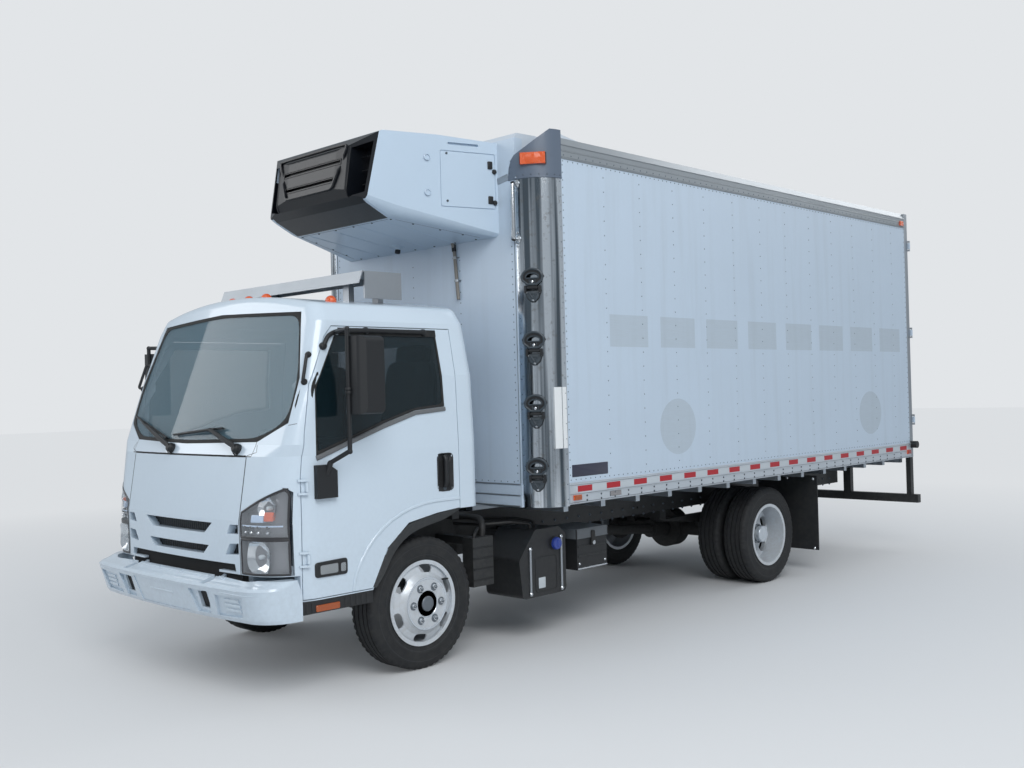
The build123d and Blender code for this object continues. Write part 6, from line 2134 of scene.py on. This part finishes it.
@dataclass
class Wheels(Assembly):
    """Tyres with cut treads, wheel nuts, hub covers and valves.

    Attributes:
        radius: Radius of the tyres.
        bead: Radius of the tyre's bead.
        lugs: Shoulder blocks round one tyre.
        grooves: Where the long tread grooves run, across the tyre.
        studs: Wheel nuts, with the radius of their circle.
        front_tyre: Middle of a front tyre across.
        front_plate: Face of a front wheel's plate across.
        rear_tyres: Middles of a pair of rear tyres across.
        rear_plate: Face of a rear wheel's plate across.
        rear_hub: Root of a rear hub across.
    """

    radius: float = HUB_HEIGHT
    bead: float = 252.0
    lugs: int = 56
    grooves: tuple[float, ...] = (-60.0, -21.0, 21.0, 60.0)
    studs: tuple[int, float] = (6, 111.0)
    front_tyre: float = 833.0
    front_plate: float = 973.0
    rear_tyres: Pair = (693.0, 953.0)
    rear_plate: float = 835.0
    rear_hub: float = 950.0

    def tyre(self, form: Form, x: float, s: float, finish: str) -> None:
        """Add one tyre with long grooves, shoulder notches and raised sidewall rings.

        Args:
            form: Form that takes the tyre.
            x: Place of its middle across.
            s: Place of its middle along.
            finish: Rubber of the tyre.
        """
        top, bead = self.radius, self.bead
        # Radius, reach, and how deep the shoulder notches cut there
        half = [
            (bead + 2.0, 60.0, 0.0), (bead, 92.0, 0.0), (bead + 8.0, 97.0, 0.0), (bead + 12.0, 96.0, 0.0),
            (bead + 30.0, 104.0, 0.0), (bead + 46.0, 108.0, 0.0), (bead + 50.0, 110.4, 0.0),
            (bead + 54.0, 109.6, 0.0), (top - 62.0, 112.0, 0.0), (top - 46.0, 110.0, 0.0),
            (top - 40.0, 110.6, 0.0), (top - 30.0, 106.0, 1.0), (top - 14.0, 100.0, 5.0),
            (top - 3.0, 90.0, 7.0), (top, 82.0, 7.0), (top, 74.0, 4.0)
        ]
        for groove in sorted((g for g in self.grooves if g > 0), reverse=True):
            half += [
                (top - deep, groove + u, 0.0)
                for deep, u in ((0.0, 5.0), (8.0, 3.6), (8.0, -3.6), (0.0, -5.0))
            ]
        profile = half + [(r, -u, n) for r, u, n in reversed(half)]
        steps = self.lugs * 3
        rings = []
        for r, u, notch in profile + profile[:1]:
            ring = []
            for k in range(steps):
                turn = math.tau * k / steps
                reach = r - (notch if k % 3 == 0 else 0.0)
                ring.append(at(x + u, s + reach * math.sin(turn), HUB_HEIGHT + reach * math.cos(turn)))
            rings.append(ring)
        form.loops(rings, finish, caps=False)

    def nuts(self, form: Form, x: float, s: float, side: Side) -> None:
        """Add washers, six-sided nuts and stud ends on one wheel plate.

        Args:
            form: Form that takes them.
            x: Place of the plate's face across.
            s: Wheel centre along.
            side: Side of the truck.
        """
        out = side.out
        count, circle = self.studs
        for k in range(count):
            turn = math.tau * (k + 0.5) / count
            place = at(x, s + circle * math.sin(turn), HUB_HEIGHT + circle * math.cos(turn))
            form.turned(((25, -1), (25, 2.5), (22, 4), (17, 4)), place, out, "washer_grey", 20)
            form.turned(((17, 3), (17, 14), (15, 17), (9, 18)), place, out, "bright_steel", 6)
            form.button(9, (12, 23), (7, 25), place, out, "washer_grey", 12)

    def front(self, side: Side) -> None:
        """Tyre, nuts, plate ring, hub recess and valve of one front wheel."""
        rubber = self.form("front_tread_" + side.word)
        self.tyre(rubber, side.value * self.front_tyre, 0.0, "front_tyre_rubber")
        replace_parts(rubber.finish("front_wheel_" + side.word, "tyre_rubber"), "front_tyre_" + side.word)
        x, out = side.value * self.front_plate, side.out
        form = self.form("front_wheel_fittings_" + side.word)
        self.nuts(form, x, 0.0, side)
        centre = at(x, 0.0, HUB_HEIGHT)
        for profile, finish, count in (
            (((160, -3), (160, 1.6), (154, 2.6), (148, 1.4), (147, -3)), "wheel_bright", 72),
            (((84, -3), (84, 1.5), (80, 1.5), (77, -2), (77, -10)), "wheel_bright", 60),
            (((77, -9.5), (60, -9.0), (47, -8.0), (46, 2)), "dark_recess", 48),
            (((46, 0), (46, 5), (42, 8.5), (30, 10), (12, 10.5), (0.2, 10.5)), "washer_grey", 48),
        ):
            form.turned(profile, centre, out, finish, count)
        for k in range(6):
            form.button(7, (-9, -5), (4, -4), centre + spoke(math.tau * k / 6, 62.0), out, "fastener", 8)
        valve = centre + spoke(math.radians(52.0), 205.0) - out * 0.020
        aim = (out + Vector((0.0, 0.25, 0.15))).normalized()
        form.turned(((6, -30), (5, 8), (6, 10), (6, 26), (0.2, 27)), valve, aim, "black_plastic", 12)
        form.finish("front_wheel_" + side.word, "wheel_paint")

    def rear(self, side: Side) -> None:
        """Twin tyres, nuts, hub flange with its bolts and valve of one pair of rear wheels."""
        rubber = self.form("rear_tread_" + side.word)
        for x in self.rear_tyres:
            self.tyre(rubber, side.value * x, REAR_AXLE, "rear_tyre_rubber")
        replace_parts(rubber.finish("rear_wheels_" + side.word, "tyre_rubber"), "rear_tyres_" + side.word)
        form = self.form("rear_wheel_fittings_" + side.word)
        out = side.out
        self.nuts(form, side.value * self.rear_plate, REAR_AXLE, side)
        hub = at(side.value * self.rear_hub, REAR_AXLE, HUB_HEIGHT)
        form.turned(((83, -14), (83, -2), (80, 1), (65, 1.5)), hub, out, "washer_grey", 48)
        cover = ((65.5, 20), (65.5, 34), (70, 36), (70, 44), (66, 50), (40, 52), (0.2, 52))
        form.turned(cover, hub, out, "wheel_bright", 48)
        for k in range(8):
            form.button(6.5, (-1, 6), (4, 8), hub + spoke(math.tau * k / 8, 73.0), out, "fastener", 6)
        ring = at(side.value * self.rear_plate, REAR_AXLE, HUB_HEIGHT)
        form.turned(((160, -2), (160, 2), (152, 2.4), (150, -2)), ring, out, "wheel_bright", 72)
        foot = ring + spoke(math.radians(-40.0), 200.0)
        valve = [foot, foot + out * 0.05, foot + out * 0.10 - UP * 0.012]
        form.bar(valve, 5.0, "bright_steel", 10)
        form.finish("rear_wheels_" + side.word, "wheel_paint")

    def build(self) -> None:
        """Dress every wheel."""
        for side in Side:
            self.front(side)
            self.rear(side)


@dataclass
class Underside(Assembly):
    """Caps, straps, latches, bolts and hoses of the frame, the tanks, the battery box and the mud flaps.

    Attributes:
        rail: Face of the frame rail across, where the hoses end.
        tank_face: Outer face of the fuel tank across.
        canister: Middle of the exhaust canister across.
    """

    rail: float = 424.0
    tank_face: float = -960.0
    canister: float = -640.0

    @staticmethod
    def hose(form: Form, radius: float, count: int, *points: Triple) -> None:
        """Hose or cable through points in millimetres, its ends inside solids."""
        form.bar([at(*point) for point in points], radius, "hose_rubber", count)

    def fluid_tank(self) -> None:
        """Blue cap, bright brace bars, pressed frame, blank plate and hoses of the fluid tank."""
        form = self.form("fluid_tank_details")
        out = Side.LEFT.out
        cap = at(1000.0, 1153.0, 640.0)
        form.turned(((46, -16), (46, -8), (40, -6)), cap, out, "black_plastic", 32)
        form.turned(((40.5, -8), (40.5, 14), (37, 19), (20, 20.5), (0.2, 20.5)), cap, out, "blue_cap", 36)
        for k in range(18):
            grip = cap + spoke(math.tau * k / 18, 40.5)
            form.bar([grip - out * 0.006, grip + out * 0.015], 2.4, "blue_cap", 6)
        form.bar([cap + out * 0.021 + UP * reach for reach in (-0.024, 0.024)], 6.0, "blue_cap", 10)
        low = 312.0
        for s, high in ((905.0, 640.0), (1215.0, 694.0)):
            form.bar([at(988.0, s, low), at(990.0, s, high)], 9.0, "galvanised", 10)
            for z in (low + 14.0, high - 14.0):
                form.button(13, (-1, 3), (8, 9), at(990.0, s, z), out, "bright_steel", 10)
        frame = oblong(958.0, 1170.0, 330.0, 560.0, 24.0)
        run = [(at(985.0, s, z), out) for s, z in spread(frame, 60.0, closed=True)]
        strip(form, run, 9.0, 3.5, "black_plastic", closed=True)
        plate = oblong(985.0, 1052.0, 352.0, 424.0, 6.0)
        form.slab([at(985.5, s, z) for s, z in plate], out * 0.0016, "blank_plate", soft=1.0)
        self.hose(
            form, 11.0, 12, (900.0, 1000.0, 752.0), (900.0, 1000.0, 782.0), (820.0, 900.0, 800.0),
            (700.0, 760.0, 790.0), (self.rail, 740.0, 780.0)
        )
        self.hose(
            form, 9.0, 12, (860.0, 1080.0, 752.0), (860.0, 1080.0, 788.0), (760.0, 1010.0, 812.0),
            (600.0, 980.0, 800.0), (self.rail, 960.0, 790.0)
        )
        form.finish("chassis", "tank_plastic")

    def battery_box(self) -> None:
        """Lid, rubber latch, ribs, bright bottom line and cable of the battery box."""
        form = self.form("battery_box_details")
        out = Side.LEFT.out
        lid = oblong(689.0, 1007.5, 1358.5, 1703.5, 18.0)
        form.loops([[at(x, s, z) for x, s in lid] for z in (641.0, 660.0, 690.0, 707.0, 710.5)], "lid_grey")
        for x, z, ends, width, height, finish in (
            (1006.0, 646.0, (1364.0, 1698.0), 9.0, 3.0, "lid_grey"),
            (1006.0, 700.0, (1364.0, 1698.0), 9.0, 3.0, "lid_grey"),
            (1000.0, 431.0, (1372.0, 1690.0), 12.0, 5.0, "bright_steel"),
            (1000.0, 520.0, (1380.0, 1682.0), 14.0, 5.0, "tank_plastic"),
            (1000.0, 585.0, (1380.0, 1682.0), 14.0, 5.0, "tank_plastic")
        ):
            strip(form, [(at(x, s, z), out) for s in (ends[0], 1530.0, ends[1])], width, height, finish)
        latch = rounded(((1508.0, 585.0), (1556.0, 585.0), (1550.0, 690.0), (1514.0, 690.0)), 10.0)
        form.slab([at(1006.0, s, z) for s, z in latch], out * 0.011, "hose_rubber", soft=4.0)
        form.button(15, (0, 8), (9, 11), at(1014.0, 1532.0, 604.0), out, "bright_steel", 16)
        for s in (1392.0, 1670.0):
            form.button(10, (-1, 3), (6, 7), at(1000.0, s, 466.0), out, "bright_steel", 8)
        self.hose(
            form, 9.0, 12, (760.0, 1400.0, 560.0), (700.0, 1370.0, 575.0), (560.0, 1345.0, 640.0),
            (self.rail, 1330.0, 650.0)
        )
        form.finish("chassis", "tank_plastic")

    def fuel_tank(self) -> None:
        """Straps, filler cap and drain plug of the fuel tank."""
        form = self.form("fuel_tank_details")
        out, face = Side.RIGHT.out, self.tank_face
        for s in (1600.0, 2100.0):
            run = [(at(face, s, z), out) for z in (384.0, 480.0, 600.0, 700.0, 776.0)]
            strip(form, run, 42.0, 4.0, "galvanised")
            form.button(12, (0, 12), (8, 16), at(face - 2.0, s, 420.0), out, "bright_steel", 8)
        cap = ((52, -4), (52, 4), (44, 10), (44, 30), (38, 36), (0.2, 37))
        form.turned(cap, at(face, 1480.0, 700.0), out, "black_plastic", 32)
        form.button(17, (-2, 6), (11, 12), at(face, 2200.0, 420.0), out, "bright_steel", 6)
        form.finish("chassis", "tank_plastic")

    def exhaust(self) -> None:
        """Clamp bands of the exhaust canister with their bolts."""
        form = self.form("exhaust_details")
        for s in (640.0, 780.0, 1050.0, 1190.0):
            band = ((151.0, -14), (154.5, -12), (154.5, 12), (151.0, 14))
            form.turned(band, at(self.canister, s, 560.0), BACK, "galvanised", 48)
            form.bar([at(self.canister - 150.0, s, z) for z in (545.0, 578.0)], 7.0, "bright_steel", 8)
        form.finish("chassis", "cast_parts")

    def frame_parts(self) -> None:
        """Bolts along the frame, the intake box's ribs, hoses behind the front wheel and the flaps' bolts."""
        spots = []
        frame = self.skin("ladder_frame")
        for side in Side:
            for k in range(34):
                s = 1500.0 + k * 138.0
                for z in (640.0, 700.0):
                    place, out = frame.flank(s, z, side)
                    if abs(place.x) < 0.62:
                        spots.append((place, out))
        self.repeat("frame_bolts", BOLT, spots, "fastener", "chassis", "chassis_paint", 6)
        form = self.form("intake_box_details")
        for z in (460.0, 530.0, 600.0, 670.0):
            place, out = frame.flank(600.0, z)
            if abs(place.x) > 0.7:
                rib = [(at(place.x / MM, s, z), out) for s in (506.0, 600.0, 679.0)]
                strip(form, rib, 12.0, 5.0, "black_plastic")
        self.hose(
            form, 22.0, 16, (800.0, 640.0, 730.0), (800.0, 650.0, 800.0), (740.0, 690.0, 840.0),
            (600.0, 720.0, 842.0), (self.rail, 730.0, 830.0)
        )
        self.hose(
            form, 10.0, 12, (845.0, 520.0, 734.0), (850.0, 525.0, 760.0), (800.0, 610.0, 790.0),
            (640.0, 690.0, 700.0), (self.rail, 700.0, 700.0)
        )
        form.finish("chassis", "black_plastic")
        across = [side * x for side in (1, -1) for x in (600.0, 860.0, 1120.0)]
        spots = [(at(x, 4462.0, z), AHEAD) for x in across for z in (836.0, 215.0)]
        spots += [(at(x, 4474.0, 215.0), BACK) for x in across]
        head = ((14.0, -1.0), (14.0, 2.0), (8.0, 2.5), (8.0, 8.0), (0.2, 8.0))
        self.repeat("flap_bolts", head, spots, "bright_steel", "chassis", "flap_rubber", 10)

    def build(self) -> None:
        """Dress everything under the box."""
        self.fluid_tank()
        self.battery_box()
        self.fuel_tank()
        self.exhaust()
        self.frame_parts()


@dataclass
class RearEnd(Assembly):
    """Door seals, lock rod keepers, lamps, blank plate and rivets of the back.

    Attributes:
        start: Where the look-up rays start behind the truck.
    """

    start: float = 7000.0

    def door(self, side: Side) -> None:
        """Seal, hinge plates and lock rod keepers of one rear door."""
        leaf = self.skin("rear_door_" + side.word)
        sign = side.value
        form = self.form("rear_door_details_" + side.word)
        face = leaf.hit(at(sign * 700.0, self.start, 2000.0), AHEAD)[0].y / MM + MIDWAY
        edge = spread(oblong(30.0, 1095.0, 1150.0, 3198.0, 8.0), 300.0, closed=True)
        strip(form, [(at(sign * x, face, z), BACK) for x, z in edge], 20.0, 4.0, "seal_rubber", closed=True)
        for z in (1300.0, 2180.0, 3060.0):
            plate = oblong(985.0, 1088.0, z - 34.0, z + 34.0, 10.0)
            form.slab([at(sign * x, face, v) for x, v in plate], BACK * 0.006, "galvanised", soft=2.0)
            for x in (1005.0, 1062.0):
                form.button(10, (4, 8), (6, 10), at(sign * x, face, z), BACK, "bright_steel", 10)
        for z in (1145.0, 3205.0):
            keeper = oblong(130.0, 210.0, z - 20.0, z + 20.0, 6.0)
            form.slab([at(sign * x, face, v) for x, v in keeper], BACK * 0.008, "galvanised", soft=2.0)
        form.finish("rear_door_" + side.word, "box_skin")

    def build(self) -> None:
        """Dress the rear doors and the frame round them."""
        for side in Side:
            self.door(side)
        frame = self.skin("rear_frame")

        def plane(x: float, z: float) -> Place:
            """Place on the rear frame's face."""
            return frame.hit(at(x, self.start, z), AHEAD)

        form = self.form("rear_lamps")
        for side in (1, -1):
            for x, finish in ((700.0, "red_lens"), (840.0, "red_lens"), (980.0, "grey_reflector")):
                place, out = plane(side * x, 1020.0)
                form.turned(((58, -2), (58, 6), (54, 9), (51, 6)), place, out, "black_plastic", 36)
                form.turned(((51, 4), (48, 12), (36, 16), (16, 18), (0.2, 18.5)), place, out, finish, 36)
            small = ((22, -1), (22, 6), (16, 12), (0.2, 14))
            form.turned(small, *plane(side * 1150.0, 3300.0), "red_lens", 24)
        for x in (-160.0, 0.0, 160.0):
            form.turned(((26, -1), (26, 6), (20, 12), (0.2, 14)), *plane(x, 3300.0), "red_lens", 24)
        level = plane(-380.0, 1020.0)[0].y / MM + MIDWAY
        plate = oblong(-535.0, -225.0, 945.0, 1095.0, 10.0)
        form.slab([at(x, level, z) for x, z in plate], BACK * 0.004, "blank_plate", soft=1.5)
        form.bar([at(x, level + 12.0, 1104.0) for x in (-440.0, -320.0)], 9.0, "black_plastic", 12)
        form.finish("chassis", "box_aluminium")
        spots = [plane(x, z) for z in (3360.0, 3245.0) for x in range(-1160, 1161, 116)]
        spots += [plane(side * 1185.0, z) for side in (1, -1) for z in range(1150, 3200, 102)]
        met = [spot for spot in spots if spot[0].y < 4.0]
        self.repeat("rear_frame_rivets", RIVET, met, "rivet_grey", "chassis", "box_aluminium", 8)


@dataclass
class CabInside(Assembly):
    """Padded seats with sewn seams, and the dashboard's vents, dials and switches.

    Attributes:
        seats: Each seat's name and its limits across.
        lean: Direction of the seat backs, up and back.
    """

    seats: tuple[tuple[str, float, float], ...] = (("driver", 300.0, 760.0), ("passenger", -760.0, -200.0))
    lean: Triple = (0.0, 0.176, 0.984)

    def pad(self, name: str, origin: Vector, along: Vector, size: Triple) -> None:
        """Make one crowned cushion with pulled-in sides and piping.

        Args:
            name: Name of the piece.
            origin: Middle of its underside.
            along: Direction of its length.
            size: Width, length and thickness in millimetres.
        """
        across = Side.LEFT.out
        up = across.cross(along).normalized()
        wide, long, thick = size
        form = self.form(name)

        def edge(turn: float, reach: float) -> Vector:
            """Place on the cushion's outline, a square with soft corners and hollow sides."""
            u, v = (math.copysign(abs(w) ** 0.34, w) for w in (math.cos(turn), math.sin(turn)))
            pull = 1.0 - 0.035 * (1.0 - abs(math.sin(2.0 * turn)))
            right, ahead = (part * 0.5 * reach * pull * MM for part in (u * wide, v * long))
            return across * right + along * ahead

        def ring(reach: float, level: float, count: int = 48) -> list[Vector]:
            """Points round the cushion at a share of its size and of its thickness."""
            return [origin + edge(math.tau * k / 48, reach) + up * (level * thick * MM) for k in range(count)]

        rise = (
            (0.05, 0.02), (0.7, 0.0), (0.92, 0.03), (0.985, 0.16), (1.0, 0.36), (1.0, 0.58), (0.985, 0.72),
            (0.95, 0.83), (0.86, 0.90), (0.70, 0.955), (0.5, 0.985), (0.25, 1.0), (0.04, 1.0),
        )
        form.loops([ring(reach, level) for reach, level in rise], "seat_cloth")
        for reach, level in ((0.995, 0.70), (0.99, 0.20)):
            form.bar(ring(reach, level, 49), 4.0, "seat_piping", 8, round_off=False)
        for u in (-0.22, 0.22):
            seam = []
            for k in range(9):
                v = -0.40 + 0.10 * k
                fall = 0.965 - 0.35 * max(0.0, abs(v) - 0.25) ** 1.3
                level = origin + across * (u * wide * MM) + along * (v * long * MM)
                seam.append(level + up * (fall * thick * MM))
            form.bar(seam, 3.0, "seat_piping", 6)
        form.finish("cab", "seat_cloth", smooth=60.0)

    def seat(self, word: str, x0: float, x1: float) -> None:
        """Cushion, back and head rest of one seat."""
        x, wide = (x0 + x1) * 0.5, x1 - x0
        lean = Vector(self.lean).normalized()
        head = min(wide - 120.0, 300.0)
        self.pad("seat_cushion_" + word, at(x, -97.0, 1296.0), BACK, (wide - 6.0, 462.0, 96.0))
        self.pad("seat_back_" + word, at(x, 312.0, 1640.0), lean, (wide - 12.0, 520.0, 112.0))
        self.pad("head_rest_" + word, at(x, 352.0, 1943.0), lean, (head, 104.0, 84.0))

    def bases(self) -> None:
        """Plinths, levers, back shells and head rest rods of the seats."""
        base = self.form("seat_bases")
        for side in (1, -1):
            foot = oblong(side * 392.0, side * 728.0, -232.0, 252.0, 30.0)
            base.loops([[at(x, s, z) for x, s in foot] for z in (1060.0, 1280.0, 1298.0)], "interior_trim")
            lever = [at(side * 735.0, -120.0, 1240.0), at(side * 748.0, -190.0, 1268.0)]
            base.bar(lever, 9.0, "black_plastic", 10)
        for _, x0, x1 in self.seats:
            outline = ((x0 + 16.0, 1400.0), (x1 - 16.0, 1400.0), (x1 - 30.0, 1880.0), (x0 + 30.0, 1880.0))
            shell = rounded(outline, 40.0)
            rings = [
                [at(u, 300.0 + (v - 1400.0) * 0.105 + push, v) for u, v in shell]
                for push in (-16.0, -4.0, 0.0)
            ]
            base.loops(rings, "interior_trim")
            for u in (-60.0, 60.0):
                x = (x0 + x1) * 0.5 + u
                base.bar([at(x, 318.0, 1860.0), at(x, 322.0, 1930.0)], 6.0, "bright_steel", 10)
        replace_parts(base.finish("cab", "interior_plastic"), "seats")

    def dashboard(self) -> None:
        """Vents, dial hood, dials and switches of the dashboard."""
        dash = self.form("dashboard_details")
        skin = self.skin("dashboard")
        limit = at(0.0, -300.0, 0.0).y
        for x in (-720.0, -190.0, 190.0, 740.0):
            place, _ = skin.hit(at(x, 0.0, 1270.0), AHEAD)
            if place.y < limit:
                for dz in (-26.0, -9.0, 9.0, 26.0):
                    blade = [place + Vector((dx, 0.004, dz * MM)) for dx in (-0.062, 0.062)]
                    dash.bar(blade, 4.0, "black_plastic", 8)
        turns = [math.pi * k / 14 for k in range(15)]
        hood = [at(450.0 + 190.0 * math.cos(a), -790.0, 1340.0 + 88.0 * math.sin(a)) for a in turns]
        dash.bar(hood, 13.0, "interior_trim", 12)
        aim = Vector((0.0, 0.9, 0.42)).normalized()
        for x in (380.0, 520.0):
            dial = at(x, -800.0, 1352.0)
            dash.turned(((52, -20), (52, 4), (47, 6), (45, 0)), dial, aim, "black_plastic", 32)
            dash.turned(((45, 0), (0.2, 0.5)), dial, aim, "dark_recess", 32)
        aim = Vector((0.0, 0.95, 0.3)).normalized()
        for k in range(5):
            dash.button(13, (-6, 8), (9, 12), at(-60.0 + k * 34.0, -742.0, 1290.0), aim, "black_plastic", 14)
        dash.finish("cab", "interior_plastic")

    def build(self) -> None:
        """Build the seats and dress the dashboard."""
        for seat in self.seats:
            self.seat(*seat)
        self.bases()
        self.dashboard()


@dataclass
class Studio:
    """Pale floor, soft lights and the camera at the photograph's angle.

    Attributes:
        finishes: The finishes to choose from.
        eye: Camera place in metres.
        azimuth: Turn of the view about the upright, in degrees.
        pitch: Upward tilt, in degrees.
        roll: Turn about the view, in degrees.
        lens: Focal length on a 36 mm wide frame.
        daylight: Colour of the light from all round.
        reach: Half width of the floor in metres.
    """

    finishes: Finishes
    eye: Triple = (6.00098, -6.88628, 1.68275)
    azimuth: float = 44.401
    pitch: float = 0.442
    roll: float = -1.514
    lens: float = 38.01
    daylight: Colour = (0.86, 0.93, 1.0)
    reach: float = 60.0

    def camera(self) -> None:
        """Place the camera."""
        a, p, r = (math.radians(v) for v in (self.azimuth, self.pitch, self.roll))
        look = Vector((-math.sin(a) * math.cos(p), math.cos(a) * math.cos(p), math.sin(p)))
        level = Vector((math.cos(a), math.sin(a), 0.0))
        above = level.cross(look)
        right = level * math.cos(r) + above * math.sin(r)
        up = above * math.cos(r) - level * math.sin(r)
        data = bpy.data.cameras.new("view")
        data.lens, data.sensor_width, data.sensor_fit = self.lens, 36.0, "HORIZONTAL"
        data.clip_end = 400.0
        item = placed("view", data)
        item.matrix_world = Matrix.Translation(self.eye) @ Matrix((right, up, -look)).transposed().to_4x4()
        bpy.context.scene.camera = item

    def light(self, name: str, place: Triple, target: Triple, size: Pair, power: float) -> None:
        """One soft rectangular lamp aimed at a point."""
        data = bpy.data.lights.new(name, "AREA")
        data.shape, data.size, data.size_y, data.energy = "RECTANGLE", size[0], size[1], power
        aim = Vector(target) - Vector(place)
        turn = aim.to_track_quat("-Z", "Y").to_matrix().to_4x4()
        placed(name, data).matrix_world = Matrix.Translation(place) @ turn

    def world(self) -> None:
        """Even pale surroundings, a little brighter to the camera than to the surfaces."""
        world = bpy.data.worlds.new("studio")
        world.use_nodes = True
        tree = world.node_tree
        tree.nodes.clear()
        path, lit, seen, mix, out = (tree.nodes.new("ShaderNode" + kind) for kind in (
            "LightPath", "Background", "Background", "MixShader", "OutputWorld",
        ))
        for node, colour, strength in ((lit, self.daylight, 0.52), (seen, rgb(226, 229, 232), 1.0)):
            node.inputs[0].default_value = (*colour, 1.0)
            node.inputs[1].default_value = strength
        for output, entry in (
            (path.outputs["Is Camera Ray"], mix.inputs[0]), (lit.outputs[0], mix.inputs[1]),
            (seen.outputs[0], mix.inputs[2]), (mix.outputs[0], out.inputs[0]),
        ):
            tree.links.new(output, entry)
        bpy.context.scene.world = world

    def floor(self) -> None:
        """Wide floor under the wheels."""
        mesh = bpy.data.meshes.new("studio_floor")
        corners = [(x * self.reach, y * self.reach, 0) for x, y in ((-1, -1), (1, -1), (1, 1), (-1, 1))]
        mesh.from_pydata(corners, [], [(0, 1, 2, 3)])
        mesh.materials.append(self.finishes["studio_floor"])
        placed("studio_floor", mesh)

    def build(self) -> None:
        """Set the whole studio."""
        self.camera()
        self.world()
        self.floor()
        self.light("key", (9.0, -7.0, 9.0), (0.5, -1.5, 1.4), (7.0, 7.0), 900.0)
        self.light("fill", (-8.0, -9.0, 6.0), (0.0, -2.5, 1.2), (6.0, 6.0), 260.0)
        self.light("back", (3.0, 11.0, 8.0), (0.0, 2.0, 1.6), (6.0, 6.0), 300.0)
        bpy.context.scene.view_settings.view_transform = "Standard"
        LOG.info("studio set")


def main() -> None:
    """Dress the truck, add its fittings and set the studio."""
    logging.basicConfig(level=logging.INFO, format="%(message)s")
    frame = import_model()
    finishes = Finishes()
    nodes = frame["nodes"]
    Dressing(finishes).apply(nodes)
    for kind in (CabFront, CabDoors, CoolingUnit, BoxSkin, Wheels, Underside, RearEnd, CabInside):
        kind(finishes, nodes).build()
    Studio(finishes).build()


if __name__ == "__main__":
    main()
